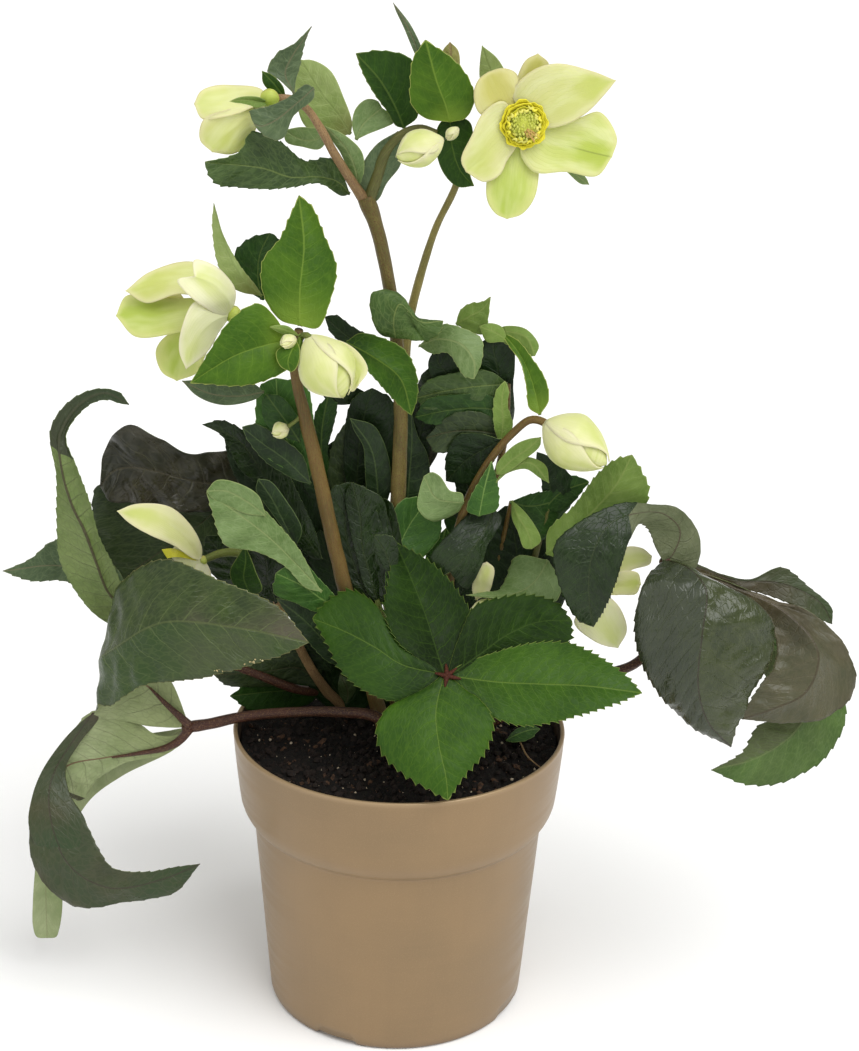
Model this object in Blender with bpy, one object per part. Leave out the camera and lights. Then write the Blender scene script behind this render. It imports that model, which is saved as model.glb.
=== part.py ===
# A hellebore (Christmas rose) in flower, growing in a 15 cm nursery pot.
#
# Frame: metres, +Z up. The origin is the centre of the pot's underside, on the
# surface that the pot stands on. The plant's showing side faces -Y.
#
# The plant was laid out on a front view sheet drawn in perspective. A place on
# the sheet is (u, v, d): u across and v down in sheet units, and d the place's
# distance in millimetres behind the pot's axis (negative is towards the front).
# at() turns such a place into a point in space.

import bpy
import bmesh
from math import cos, sin, pi, radians, sqrt
from mathutils import Vector

for old in list(bpy.data.objects):
    bpy.data.objects.remove(old, do_unlink=True)

# ---------------------------------------------------------------- dimensions
MM = 0.001
GAP = 0.3                    # clearance between neighbouring pieces, mm

# pot, millimetres
POT_HEIGHT = 134.2
POT_RIM_R = 75.0             # outside radius of the rim
POT_BAND_R = 72.0            # outside radius at the bottom of the upper band
POT_BAND_Z = 101.0
POT_WALL_R = 66.1            # outside radius of the tapered wall at the crease
POT_CREASE_Z = 92.2
POT_BASE_R = 58.9            # outside radius at the foot
POT_WALL_T = 1.4
POT_RIM_T = 1.9
POT_FLOOR_T = 1.6
POT_FOOT_H = 3.2             # the foot ring lifts the floor this far
POT_PAD_R = 16.0             # flat pad in the middle of the underside
POT_SEGMENTS = 48
NOTCH_W = 19.0               # drainage notches in the foot ring
NOTCH_ANGLES = (-27, 63, 153, 243)   # from the front, towards +X

# soil
SOIL_TOP_Z = 124.5
SOIL_CROWN = 2.5             # the soil stands a little higher in the middle
SOCKET_DEPTH = 14.0

BLADE_T = 0.9                # thickness of a leaf blade
SEPAL_T = 0.8

# the view sheet
EYE = Vector((0.0, -814.56, 543.76))
PITCH, YAW, ROLL = 0.3669, -0.0144, 0.0219
FOCAL = 2000.0
SHEET_MID = (429.5, 525.5)


def sheet_axes():
    fwd = Vector((-sin(YAW) * cos(PITCH), cos(YAW) * cos(PITCH), -sin(PITCH)))
    right = Vector((cos(YAW), sin(YAW), 0.0))
    up = right.cross(fwd)
    return (fwd,
            cos(ROLL) * right + sin(ROLL) * up,
            -sin(ROLL) * right + cos(ROLL) * up)


FWD, RIGHT, UP = sheet_axes()


def sight(u, v):
    return (FWD + (u - SHEET_MID[0]) / FOCAL * RIGHT
            - (v - SHEET_MID[1]) / FOCAL * UP)


def at(u, v, d):
    ray = sight(u, v)
    return EYE + ray * ((d - EYE.y) / ray.y)


def on_level(u, v, z):
    ray = sight(u, v)
    return EYE + ray * ((z - EYE.z) / ray.z)


class Plane:
    """The flat that a leaf lies in: a place on it and the way it faces.

    turn: degrees from the front towards +X; lift: degrees above the horizon."""

    def __init__(self, u, v, d, turn, lift):
        self.point = at(u, v, d)
        t, e = radians(turn), radians(lift)
        self.normal = Vector((sin(t) * cos(e), -cos(t) * cos(e), sin(e)))

    def at(self, u, v, off):
        ray = sight(u, v)
        near = self.point + self.normal * off
        t = (near - EYE).dot(self.normal) / ray.dot(self.normal)
        return EYE + ray * t


# ------------------------------------------------------------------- curves
def resample(points, n):
    """n + 1 places spread evenly along a smooth curve through the points."""
    pts = [Vector(p) for p in points]
    if len(pts) == 2:
        return [pts[0].lerp(pts[1], i / n) for i in range(n + 1)]
    ext = [2 * pts[0] - pts[1]] + pts + [2 * pts[-1] - pts[-2]]
    dense = []
    for k in range(1, len(ext) - 2):
        p0, p1, p2, p3 = ext[k - 1:k + 3]
        t0 = 0.0
        t1 = t0 + max((p1 - p0).length, 1e-6) ** 0.5
        t2 = t1 + max((p2 - p1).length, 1e-6) ** 0.5
        t3 = t2 + max((p3 - p2).length, 1e-6) ** 0.5
        for s in range(12):
            t = t1 + (t2 - t1) * s / 12
            a1 = p0 * ((t1 - t) / (t1 - t0)) + p1 * ((t - t0) / (t1 - t0))
            a2 = p1 * ((t2 - t) / (t2 - t1)) + p2 * ((t - t1) / (t2 - t1))
            a3 = p2 * ((t3 - t) / (t3 - t2)) + p3 * ((t - t2) / (t3 - t2))
            b1 = a1 * ((t2 - t) / (t2 - t0)) + a2 * ((t - t0) / (t2 - t0))
            b2 = a2 * ((t3 - t) / (t3 - t1)) + a3 * ((t - t1) / (t3 - t1))
            dense.append(b1 * ((t2 - t) / (t2 - t1)) + b2 * ((t - t1) / (t2 - t1)))
    dense.append(pts[-1])
    run = [0.0]
    for a, b in zip(dense, dense[1:]):
        run.append(run[-1] + (b - a).length)
    out, j = [], 0
    for i in range(n + 1):
        want = run[-1] * i / n
        while j < len(run) - 2 and run[j + 1] < want:
            j += 1
        span = run[j + 1] - run[j]
        out.append(dense[j].lerp(dense[j + 1], (want - run[j]) / span if span else 0))
    return out


# ---------------------------------------------------------------- materials
def material(name, colour, rough=0.5, metal=0.0):
    mat = bpy.data.materials.new(name)
    mat.use_nodes = True
    bsdf = mat.node_tree.nodes["Principled BSDF"]
    bsdf.inputs["Base Color"].default_value = (*colour, 1.0)
    bsdf.inputs["Roughness"].default_value = rough
    bsdf.inputs["Metallic"].default_value = metal
    mat.diffuse_color = (*colour, 1.0)
    return mat


FINISH = {
    "pot": material("pot_bronze_plastic", (0.30, 0.20, 0.12), 0.38, 0.35),
    "soil": material("peat_soil", (0.012, 0.008, 0.006), 0.95),
    "stem": material("stem_olive_brown", (0.16, 0.13, 0.045), 0.5),
    "petiole": material("petiole_purple", (0.10, 0.035, 0.035), 0.45),
    "young": material("young_leaf_green", (0.10, 0.24, 0.03), 0.42),
    "light": material("leaf_underside_green", (0.25, 0.36, 0.13), 0.55),
    "dark": material("old_leaf_dark_green", (0.035, 0.055, 0.03), 0.32),
    "sepal": material("sepal_pale_green", (0.66, 0.70, 0.33), 0.5),
    "bud": material("bud_cream_green", (0.68, 0.72, 0.38), 0.48),
    "stamen": material("stamen_yellow", (0.72, 0.68, 0.06), 0.5),
}


def add(name, mesh, finish, hidden=False):
    ob = bpy.data.objects.new(name, mesh)
    bpy.context.scene.collection.objects.link(ob)
    mesh.materials.append(FINISH[finish])
    if hidden:
        ob.hide_render = True
        ob.display_type = 'WIRE'
    return ob


def to_mesh(name, bm):
    bmesh.ops.recalc_face_normals(bm, faces=bm.faces[:])
    bmesh.ops.scale(bm, vec=(MM, MM, MM), verts=bm.verts[:])
    me = bpy.data.meshes.new(name)
    bm.to_mesh(me)
    bm.free()
    me.shade_smooth()
    return me


# ------------------------------------------------------------------- blades
def read(points, plane, base_off=0.0):
    out = []
    for p in points:
        if plane is None:
            out.append(at(*p))
        else:
            out.append(plane.at(p[0], p[1], p[2] if len(p) > 2 else base_off))
    return out


def edge_curve(mid_pts, edge, mid, plane, n, drop):
    """A blade's edge. Where a place gives no depth, it lies level with the
    midrib beside it, with drop millimetres more half way along."""
    full = [mid[0]] + list(edge) + [mid[-1]]
    count = len(full) - 1
    pts = []
    for k, p in enumerate(full):
        if len(p) == 3:
            val = p[2]
        else:
            # the midrib's own third number, at the same fraction of the way
            s = k / count * (len(mid) - 1)
            i = min(int(s), len(mid) - 2)
            val = mid[i][2] + (mid[i + 1][2] - mid[i][2]) * (s - i)
            val += drop * sin(pi * k / count)
        pts.append(at(p[0], p[1], val) if plane is None
                   else plane.at(p[0], p[1], val))
    return resample(pts, n)


def blade_grid(mid, a, b, plane, rows, drop_a, drop_b, cup, start, min_w):
    """Rows of places across a blade: edge, midrib, edge; a cupped blade has
    one more on each side, raised by the cup."""
    mid_pts = resample(read(mid, plane), rows)
    ea = edge_curve(mid_pts, a, mid, plane, rows, drop_a)
    eb = edge_curve(mid_pts, b, mid, plane, rows, drop_b)
    sides = [(x - y) for x, y in zip(ea, eb)]
    sides[0], sides[rows] = sides[1].copy(), sides[rows - 1].copy()
    grid = []
    for i in range(rows + 1):
        m = mid_pts[i]
        va, vb = ea[i] - m, eb[i] - m
        nxt = mid_pts[min(i + 1, rows)] - mid_pts[max(i - 1, 0)]
        side = sides[i].normalized()
        if va.length < min_w:
            va = side * min_w
        if vb.length < min_w:
            vb = -side * min_w
        if cup:
            nrm = side.cross(nxt).normalized()
            lift = cup * sin(pi * min(max(i / rows, 0.05), 0.95))
            grid.append([m + va, m + va * 0.5 + nrm * lift, m,
                         m + vb * 0.5 + nrm * lift, m + vb])
        else:
            grid.append([m + va, m, m + vb])
    if start:
        # draw the root back from the stem that carries it
        d = (grid[1][len(grid[0]) // 2] - grid[0][len(grid[0]) // 2])
        move = d.normalized() * min(start, d.length * 0.7)
        grid[0] = [p + move for p in grid[0]]
    return grid


def slab(name, grid, thick):
    """A closed sheet of even thickness over a grid of places."""
    rows, cols = len(grid), len(grid[0])
    bm = bmesh.new()
    top, bot = [], []
    for i in range(rows):
        rt, rb = [], []
        for j in range(cols):
            di = grid[min(i + 1, rows - 1)][j] - grid[max(i - 1, 0)][j]
            dj = grid[i][min(j + 1, cols - 1)] - grid[i][max(j - 1, 0)]
            n = di.cross(dj)
            if n.length < 1e-6:
                n = Vector((0, -1, 0))
            n.normalize()
            rt.append(bm.verts.new(grid[i][j] + n * thick / 2))
            rb.append(bm.verts.new(grid[i][j] - n * thick / 2))
        top.append(rt)
        bot.append(rb)
    for i in range(rows - 1):
        for j in range(cols - 1):
            bm.faces.new((top[i][j], top[i][j + 1], top[i + 1][j + 1], top[i + 1][j]))
            bm.faces.new((bot[i][j], bot[i + 1][j], bot[i + 1][j + 1], bot[i][j + 1]))
        bm.faces.new((top[i][0], top[i + 1][0], bot[i + 1][0], bot[i][0]))
        bm.faces.new((top[i][-1], bot[i][-1], bot[i + 1][-1], top[i + 1][-1]))
    for j in range(cols - 1):
        bm.faces.new((top[0][j], bot[0][j], bot[0][j + 1], top[0][j + 1]))
        bm.faces.new((top[-1][j], top[-1][j + 1], bot[-1][j + 1], bot[-1][j]))
    bmesh.ops.triangulate(bm, faces=bm.faces[:])
    return to_mesh(name, bm)


def blade(name, finish, mid, a, b, plane=None, rows=6, thick=BLADE_T,
          da=0.0, db=0.0, cup=0.0, start=0.0, hidden=False, min_w=0.6):
    grid = blade_grid(mid, a, b, plane, rows, da, db, cup, start, min_w)
    return add(name, slab(name, grid, thick), finish, hidden)


# -------------------------------------------------------------------- tubes
def tube_mesh(name, pts, radii, sides=8, steps=None):
    n = steps or (len(pts) - 1) * 3
    line = resample(pts, n)
    bm = bmesh.new()
    rings = []
    first = (line[1] - line[0]).normalized()
    side = first.cross(Vector((0, -1, 0.2)))
    side.normalize()
    for i, p in enumerate(line):
        t = (line[min(i + 1, n)] - line[max(i - 1, 0)]).normalized()
        side = (side - t * side.dot(t)).normalized()
        other = t.cross(side)
        s = i / n * (len(radii) - 1)
        k = min(int(s), len(radii) - 2)
        r = radii[k] + (radii[k + 1] - radii[k]) * (s - k)
        rings.append([bm.verts.new(p + side * r * cos(2 * pi * q / sides)
                                   + other * r * sin(2 * pi * q / sides))
                      for q in range(sides)])
    for r0, r1 in zip(rings, rings[1:]):
        for q in range(sides):
            w = (q + 1) % sides
            bm.faces.new((r0[q], r0[w], r1[w], r1[q]))
    bm.faces.new(rings[0][::-1])
    bm.faces.new(rings[-1])
    bmesh.ops.triangulate(bm, faces=bm.faces[:])
    return to_mesh(name, bm)


def tube(name, finish, pts, radii, sides=8, hidden=False, steps=None):
    return add(name, tube_mesh(name, pts, radii, sides, steps), finish, hidden)


def egg(name, finish, a, b, radius, sides=10, fat=0.45, hidden=False,
        flat=1.0, rings=7):
    """A closed bud or knob from a to b, fattest a fraction fat of the way."""
    a, b = Vector(a), Vector(b)
    axis = (b - a)
    length = axis.length
    axis.normalize()
    side = axis.cross(Vector((0.0, -1.0, 0.15))).normalized()
    other = axis.cross(side)
    bm = bmesh.new()
    start, end = bm.verts.new(a), bm.verts.new(b)
    loops = []
    for i in range(1, rings):
        t = i / rings
        w = t / (2 * fat) if t < fat else 0.5 + (t - fat) / (2 * (1 - fat))
        r = radius * sin(pi * w) ** 0.75
        p = a + axis * length * t
        loops.append([bm.verts.new(p + side * r * cos(2 * pi * q / sides)
                                   + other * r * flat * sin(2 * pi * q / sides))
                      for q in range(sides)])
    for q in range(sides):
        w = (q + 1) % sides
        bm.faces.new((start, loops[0][w], loops[0][q]))
        bm.faces.new((end, loops[-1][q], loops[-1][w]))
    for r0, r1 in zip(loops, loops[1:]):
        for q in range(sides):
            w = (q + 1) % sides
            bm.faces.new((r0[q], r0[w], r1[w], r1[q]))
    bmesh.ops.triangulate(bm, faces=bm.faces[:])
    return add(name, to_mesh(name, bm), finish, hidden)


def knot(place, r):
    """The small knot where leaflets meet on their stalk."""
    p = Vector(place)
    return egg("knot", "petiole", p - Vector((0, 0, r)), p + Vector((0, 0, r)), r,
               sides=8, fat=0.5, rings=5, hidden=True)


def grow(base, *others, cut=False, solver='EXACT'):
    """Join the others to the base as one growth, or cut them from it."""
    for k, other in enumerate(others):
        mod = base.modifiers.new("join_%d" % k, 'BOOLEAN')
        mod.operation = 'DIFFERENCE' if cut else 'UNION'
        mod.solver = solver
        mod.object = other
        other.hide_render = True
        other.display_type = 'WIRE'
    return base


# ---------------------------------------------------------------------- pot
def turned(name, profile, segments):
    """A closed turned ring: profile is a closed loop of (radius, z)."""
    bm = bmesh.new()
    rings = []
    for r, z in profile:
        if r < 1e-6:
            rings.append([bm.verts.new((0, 0, z))])
        else:
            rings.append([bm.verts.new((r * cos(2 * pi * q / segments),
                                        r * sin(2 * pi * q / segments), z))
                          for q in range(segments)])
    for r0, r1 in zip(rings, rings[1:]):
        for q in range(segments):
            w = (q + 1) % segments
            quad = [r0[q % len(r0)], r0[w % len(r0)],
                    r1[w % len(r1)], r1[q % len(r1)]]
            loop = []
            for x in quad:
                if x not in loop:
                    loop.append(x)
            bm.faces.new(loop)
    return to_mesh(name, bm)


wall_slope = (POT_WALL_R - POT_BASE_R) / POT_CREASE_Z


def wall_r(z):
    return POT_BASE_R + wall_slope * z


inner_floor_z = POT_FOOT_H + POT_FLOOR_T
pot_profile = [
    (0, 0), (POT_PAD_R - 1.0, 0), (POT_PAD_R, 0.6), (POT_PAD_R + 1.5, POT_FOOT_H),
    (POT_BASE_R - 8.0, POT_FOOT_H), (POT_BASE_R - 6.5, 0.0),
    (POT_BASE_R - 2.0, 0.0), (POT_BASE_R, 2.0), (POT_WALL_R, POT_CREASE_Z),
    (POT_WALL_R + 2.2, POT_CREASE_Z + 1.6), (POT_BAND_R - 1.6, POT_BAND_Z - 3.4),
    (POT_BAND_R, POT_BAND_Z + 2.0),
    (POT_RIM_R, POT_HEIGHT - 0.6), (POT_RIM_R - 0.6, POT_HEIGHT),
    (POT_RIM_R - 1.3, POT_HEIGHT),
    (POT_RIM_R - POT_RIM_T, POT_HEIGHT - 0.6),
    (POT_RIM_R - POT_RIM_T - 0.2, POT_HEIGHT - 3.0),
    (POT_BAND_R - POT_WALL_T, POT_BAND_Z + 2.6),
    (POT_BAND_R - POT_WALL_T - 2.6, POT_BAND_Z - 2.6),
    (POT_WALL_R - POT_WALL_T, POT_CREASE_Z - 0.8),
    (wall_r(inner_floor_z) - POT_WALL_T, inner_floor_z + 2.0),
    (wall_r(inner_floor_z) - POT_WALL_T - 2.0, inner_floor_z), (0, inner_floor_z),
]
pot = add("pot", turned("pot", pot_profile, POT_SEGMENTS), "pot")
pot.data.set_sharp_from_angle(angle=radians(40))

cutters = []
for k, ang in enumerate(NOTCH_ANGLES):
    bm = bmesh.new()
    bmesh.ops.create_cube(bm, size=1.0)
    bmesh.ops.scale(bm, vec=(NOTCH_W, 16.0, 2.7 + 2.0), verts=bm.verts[:])
    cutter = add("notch_cutter_%d" % k, to_mesh("notch", bm), "pot", hidden=True)
    a = radians(ang)
    cutter.location = (sin(a) * (POT_BASE_R - 1.0) * MM,
                       -cos(a) * (POT_BASE_R - 1.0) * MM, (2.7 - 2.0) / 2 * MM)
    cutter.rotation_euler = (0, 0, a)
    cutters.append(cutter)
grow(pot, *cutters, cut=True)

# --------------------------------------------------------------------- soil
soil_profile = [
    (0, inner_floor_z + GAP), (wall_r(inner_floor_z) - POT_WALL_T - 3.2, inner_floor_z + GAP),
    (wall_r(8) - POT_WALL_T - GAP - 0.5, 9.0),
    (POT_WALL_R - POT_WALL_T - GAP - 0.2, POT_CREASE_Z - 1.2),
    (POT_BAND_R - POT_WALL_T - 3.2, POT_BAND_Z - 2.0),
    (POT_BAND_R - POT_WALL_T - 0.7, POT_BAND_Z + 3.0),
    (POT_BAND_R - POT_WALL_T + 0.9, SOIL_TOP_Z - 1.5),
    (POT_BAND_R - POT_WALL_T - 0.3, SOIL_TOP_Z), (50, SOIL_TOP_Z + SOIL_CROWN * 0.5),
    (25, SOIL_TOP_Z + SOIL_CROWN), (0, SOIL_TOP_Z + SOIL_CROWN * 1.1),
]
soil = add("soil", turned("soil", soil_profile, 40), "soil")


def foot(u, v):
    """Where a place of the view sheet lies on the soil."""
    p = on_level(u, v, SOIL_TOP_Z + SOIL_CROWN)
    return (p.x, p.y)


def root(x, y):
    """The place in the soil, in its socket, that a stem grows from."""
    return Vector((x, y, SOIL_TOP_Z - SOCKET_DEPTH + 1.0))


def above(x, y, dz=3.0):
    return Vector((x, y, SOIL_TOP_Z + SOIL_CROWN + dz))


sockets = []


def socket(x, y, r):
    bm = bmesh.new()
    bmesh.ops.create_cone(bm, cap_ends=True, segments=10, radius1=r, radius2=r,
                          depth=40.0)
    ob = add("socket_%d" % len(sockets), to_mesh("socket", bm), "soil", hidden=True)
    ob.location = (x * MM, y * MM, (SOIL_TOP_Z - SOCKET_DEPTH + 20.0) * MM)
    sockets.append(ob)


# -------------------------------------------------------------------- stems
# tall stem: one leafless stalk that forks under the upper flowers
A_ROOT = foot(398, 733)
tall_main = [root(*A_ROOT), above(*A_ROOT), at(396, 560, 8), at(399, 480, 7),
             at(401, 415, 6), at(397, 345, 5), at(390, 290, 3), at(376, 225, 1),
             at(366, 199, 0)]
stem_tall = tube("stem_tall", "stem", tall_main,
                 [4.0, 3.7, 3.5, 3.4, 3.3, 3.0, 2.8, 2.7, 2.9], sides=9, steps=18)
fork_left = tube("fork_left", "stem",
                 [at(369, 207, 0.5), at(352, 182, -3), at(335, 155, -7),
                  at(319, 126, -11), at(305, 107, -14), at(291, 99, -15),
                  at(281, 98, -15)],
                 [2.6, 2.0, 1.9, 1.8, 1.8, 1.5, 1.4], hidden=True, steps=10)
fork_right = tube("fork_right", "stem",
                  [at(366, 205, 0), at(376, 180, 0), at(386, 152, 0),
                   at(402, 134, 0), at(420, 128, 0), at(437, 133, -1)],
                  [2.6, 2.6, 2.4, 1.9, 1.6, 1.3], hidden=True, steps=9)
grow(stem_tall, fork_left, fork_right)
socket(*A_ROOT, 4.9)

# thin stem that carries the big flower
B_ROOT = foot(413, 714)
stem_thin = tube("stem_thin", "stem",
                 [root(*B_ROOT), above(*B_ROOT), at(405, 500, 24), at(404, 400, 22),
                  at(408, 330, 19), at(414, 300, 17), at(435, 230, 13),
                  at(455, 188, 11), at(466, 152, 10), at(485, 130, 10),
                  at(505, 124, 9)],
                 [2.6, 2.5, 2.4, 2.3, 2.2, 2.2, 2.1, 2.1, 1.8, 1.5, 1.4],
                 sides=8, steps=20)
socket(*B_ROOT, 4.3)

# left stem, with the middle flowers
C_ROOT = foot(388, 752)
stem_left = tube("stem_left", "stem",
                 [root(*C_ROOT), above(*C_ROOT), at(374, 694, -8), at(348, 600, -9), at(330, 525, -17),
                  at(318, 470, -19), at(304, 412, -22), at(296, 375, -24),
                  at(297, 345, -26)],
                 [3.6, 3.5, 3.4, 3.3, 3.2, 3.0, 2.8, 2.6, 1.8], sides=8, steps=16)
socket(*C_ROOT, 5.1)

# right stem, with the bud on the right
D_ROOT = foot(446, 728)
stem_right = tube("stem_right", "stem",
                  [root(*D_ROOT), above(*D_ROOT), at(452, 560, 6), at(468, 500, 2),
                   at(490, 460, -3), at(512, 434, -6), at(530, 420, -8),
                   at(541, 424, -9)],
                  [2.6, 2.5, 2.3, 2.1, 2.0, 1.9, 1.8, 1.4], sides=8, steps=14)
socket(*D_ROOT, 4.2)

# short pale stem on the left, with the low flower
E_ROOT = foot(342, 714)
stem_low = tube("stem_low", "stem",
                [root(*E_ROOT), above(*E_ROOT), at(326, 690, 17), at(308, 663, 10), at(286, 620, 0),
                 at(262, 575, -8), at(245, 556, -12), at(228, 552, -14),
                 at(212, 557, -16)],
                [2.5, 2.5, 2.4, 2.2, 2.0, 1.7, 1.5, 1.3, 1.2], sides=8, steps=14)
socket(*E_ROOT, 4.1)

# --------------------------------------------------------------- front leaf
# a young leaf of five leaflets that faces up and forwards over the soil
front = Plane(447, 676, -46, -3, 42)
F_ROOT = foot(444, 762)
leaf_front = tube("leaf_front", "young",
                  [root(*F_ROOT), above(*F_ROOT), Vector((9, -28, 160)),
                   front.at(448, 677, -3.0), front.at(447, 674, 0.6)],
                  [1.9, 1.8, 1.7, 1.8, 1.6], sides=8, steps=8)
socket(*F_ROOT, 3.5)
grow(
    leaf_front,
    knot(front.at(447, 676, 0), 2.6),
    blade("front_top", "young", [(446, 679, 0), (438, 655, 1.6), (427, 619, 2.4), (412, 580, 2), (395.5, 542, 0)],
          [(429, 667), (398, 644), (384, 612), (389, 575)],
          [(450, 666), (470, 648), (474, 621), (459, 591), (429, 561)], front, da=-1.5, db=-1.5, hidden=True),
    blade("front_left", "young", [(450, 675, -0.4), (403, 665, 0), (376, 648, 0), (346, 632, -1), (312.5, 618.5, -3)],
          [(415, 655, -0.2), (386, 624), (372, 600), (348, 589), (325, 600)],
          [(428, 685), (403, 699), (376, 695), (343, 674), (327, 644)], front, da=-2, db=-3, hidden=True),
    blade("front_bottom", "young", [(445, 672, 0.2), (436, 711, 2), (439, 745, 2.5), (446, 777, 1), (448, 800, -2)],
          [(419, 694), (391, 704), (376, 727), (380, 750), (402, 773), (425, 787)],
          [(458, 690), (484, 704), (494, 724), (486, 750), (465, 775)], front, da=-2, db=-2, hidden=True),
    blade("front_right", "young", [(444, 675, -0.6), (497, 682, 0.6), (539, 684, 1), (587, 686, 0), (642, 693, -4)],
          [(470, 664, -1.6), (507, 648, -2.5), (543, 640, -3), (571, 643, -3), (600, 658, -3), (625, 674, -3.5)],
          [(474, 694), (495, 717), (520, 726), (552, 723), (582, 715), (616, 704)], front, rows=7, da=-2, db=-3, hidden=True),
    blade("front_upper_right", "young", [(446, 678, 0.5), (479, 655, 3), (507, 635, 4), (539, 622, 3), (572, 621, 1)],
          [(470, 648), (475, 626), (491, 603), (520, 596), (552, 605)],
          [(484, 667), (518, 655), (548, 644), (567, 634)], front, da=0, db=-1, hidden=True),
)

# ----------------------------------------------------- leaf at the lower left
L_ROOT = foot(413, 756)
leaf_low_left = tube("leaf_lower_left", "petiole",
                     [root(*L_ROOT), above(*L_ROOT, 2), at(396, 730, -22), at(374, 716, -22), at(340, 712, -17),
                      at(300, 712, -12), at(265, 714, -8), at(236, 718, -8), at(208, 724, -10),
                      at(187, 727, -12)],
                     [2.6, 2.6, 2.5, 2.4, 2.3, 2.2, 2.2, 2.1, 2.3, 2.0], sides=8, steps=16)
socket(*L_ROOT, 4.2)
grow(
    leaf_low_left,
    knot(at(189, 727, -12), 3.0),
    blade("low_left_top", "dark",
          [(190, 726, -12), (168, 706, -9), (149, 687, -7), (118, 670, -9), (99, 662, -20), (118, 646, -32),
           (165, 622, -42), (240, 628, -46), (308.8, 642.5, -44)],
          [(184, 712, -10), (176, 690, -6), (150, 650, -3), (118, 620, -8), (112, 600, -18), (128, 575, -28),
           (165, 559, -34), (220, 580, -40), (277, 606, -43)],
          [(186, 727, -12), (156, 727, -10), (119, 720, -11), (99, 718, -16), (98, 706, -24), (112, 706, -33),
           (140, 687, -42), (207, 677, -48), (287, 653, -46)], rows=15, hidden=True),
    blade("low_left_curl", "dark",
          [(192, 727, -12), (170, 746, -12), (140, 752, -11), (105, 758, -9), (67, 766, -8), (47, 790, -16),
           (52, 830, -26), (72, 868, -32), (110, 888, -34), (160, 880, -34), (200, 864, -32)],
          [(182, 733, -12), (160, 728, -10), (119, 722, -6), (85, 724, -4), (66, 742, -6), (40, 778, -14),
           (29, 830, -24), (38, 875, -30), (73, 906, -32), (130, 902, -33), (176, 891, -33)],
          [(184, 742, -12), (160, 756, -12), (125, 763, -11), (98, 780, -10), (82, 800, -10), (68, 798, -16),
           (86, 822, -25), (98, 848, -31), (114, 868, -33), (150, 871, -33), (180, 866, -32)], rows=17, hidden=True),
    blade("low_left_under", "light",
          [(189, 727, -11.5), (160, 742, -1), (112, 764, 6), (72, 790, 8), (50, 830, 8), (46, 880, 6), (47, 938, 2)],
          [(172, 730, -4), (112, 742, 5), (66, 768, 8), (40, 815, 8), (35, 870, 6), (33, 912, 4)],
          [(176, 748, -4), (122, 776, 5), (90, 800, 8), (70, 835, 8), (63, 885, 6), (61, 918, 3)], rows=10, hidden=True),
)

# ------------------------------------------------------- leaf at the far left
# a long leaflet that shows its pale underside, and a pointed one behind it
K_ROOT = foot(371, 698)
leaf_left = tube("leaf_left", "petiole",
                 [root(*K_ROOT), above(*K_ROOT, 2), at(300, 690, 18), at(240, 668, 12), at(185, 655, 7),
                  at(141, 636, 3)],
                 [2.4, 2.3, 2.2, 2.0, 1.9, 1.8], sides=8, steps=12)
socket(*K_ROOT, 4.6)
grow(
    leaf_left,
    knot(at(141, 636, 3), 2.6),
    blade("left_long", "light",
          [(141, 636, 3), (125, 612, -2), (107, 590, -8), (96, 562, -13), (84, 530, -18), (72, 505, -19), (62, 470, -18),
           (60, 435, -14), (80, 404, -9), (105, 393, -7), (129, 404.5, -8)],
          [(122, 630, -1), (98, 617, -6), (80, 598, -10), (60, 562, -13), (56.5, 520, -15), (56, 475, -15),
           (50, 430, -13), (68, 402, -9), (95, 389, -7), (119, 392, -7)],
          [(138, 626, 1), (127, 600, -5), (115, 568, -11), (99, 536, -17), (91, 505, -19), (76, 465, -20),
           (66, 436, -15), (88, 406, -9), (106, 400, -8), (122, 404, -8)], rows=14, hidden=True),
    blade("left_pointed", "dark",
          [(142, 635, 3), (130, 610, 4), (108, 585, 5), (62, 566, 4), (2.5, 571, 0)],
          [(130, 590, 6), (104, 556, 7), (56, 540, 5), (30, 559, 3)],
          [(132, 622, 3), (112, 604, 3), (66, 582, 3), (30, 581, 1)], rows=7, hidden=True),
)

# brown old leaf behind the left flowers
J_ROOT = foot(394, 692)
leaf_brown = tube("leaf_left_brown", "petiole",
                  [root(*J_ROOT), above(*J_ROOT, 2), Vector((-38, 32, 170)), at(262, 520, 26), at(236, 484, 20)],
                  [2.2, 2.1, 1.9, 1.7, 1.5], sides=8, steps=9)
socket(*J_ROOT, 3.9)
grow(
    leaf_brown,
    knot(at(237, 486, 20), 2.4),
    blade("brown_top", "dark",
          [(238, 486, 20), (212, 484, 14), (180, 478, 8), (140, 468, 4), (116, 470, 6), (100, 486, 9)],
          [(236, 448, 17), (212, 454, 10), (190, 455, 6), (160, 438, 4), (131, 425, 3), (106, 444, 6)],
          [(232, 505, 18), (205, 512, 12), (170, 508, 8), (136, 504, 6), (112, 500, 8)], rows=8, hidden=True),
    blade("brown_low", "dark",
          [(237, 487, 20), (205, 520, 22), (170, 545, 19), (135, 570, 17), (112, 594, 16)],
          [(222, 500, 22), (180, 505, 20), (130, 508, 18), (94, 492, 17), (96, 545, 17)],
          [(236, 520, 24), (215, 560, 22), (180, 590, 18), (145, 604, 17)], rows=7, hidden=True),
)

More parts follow.
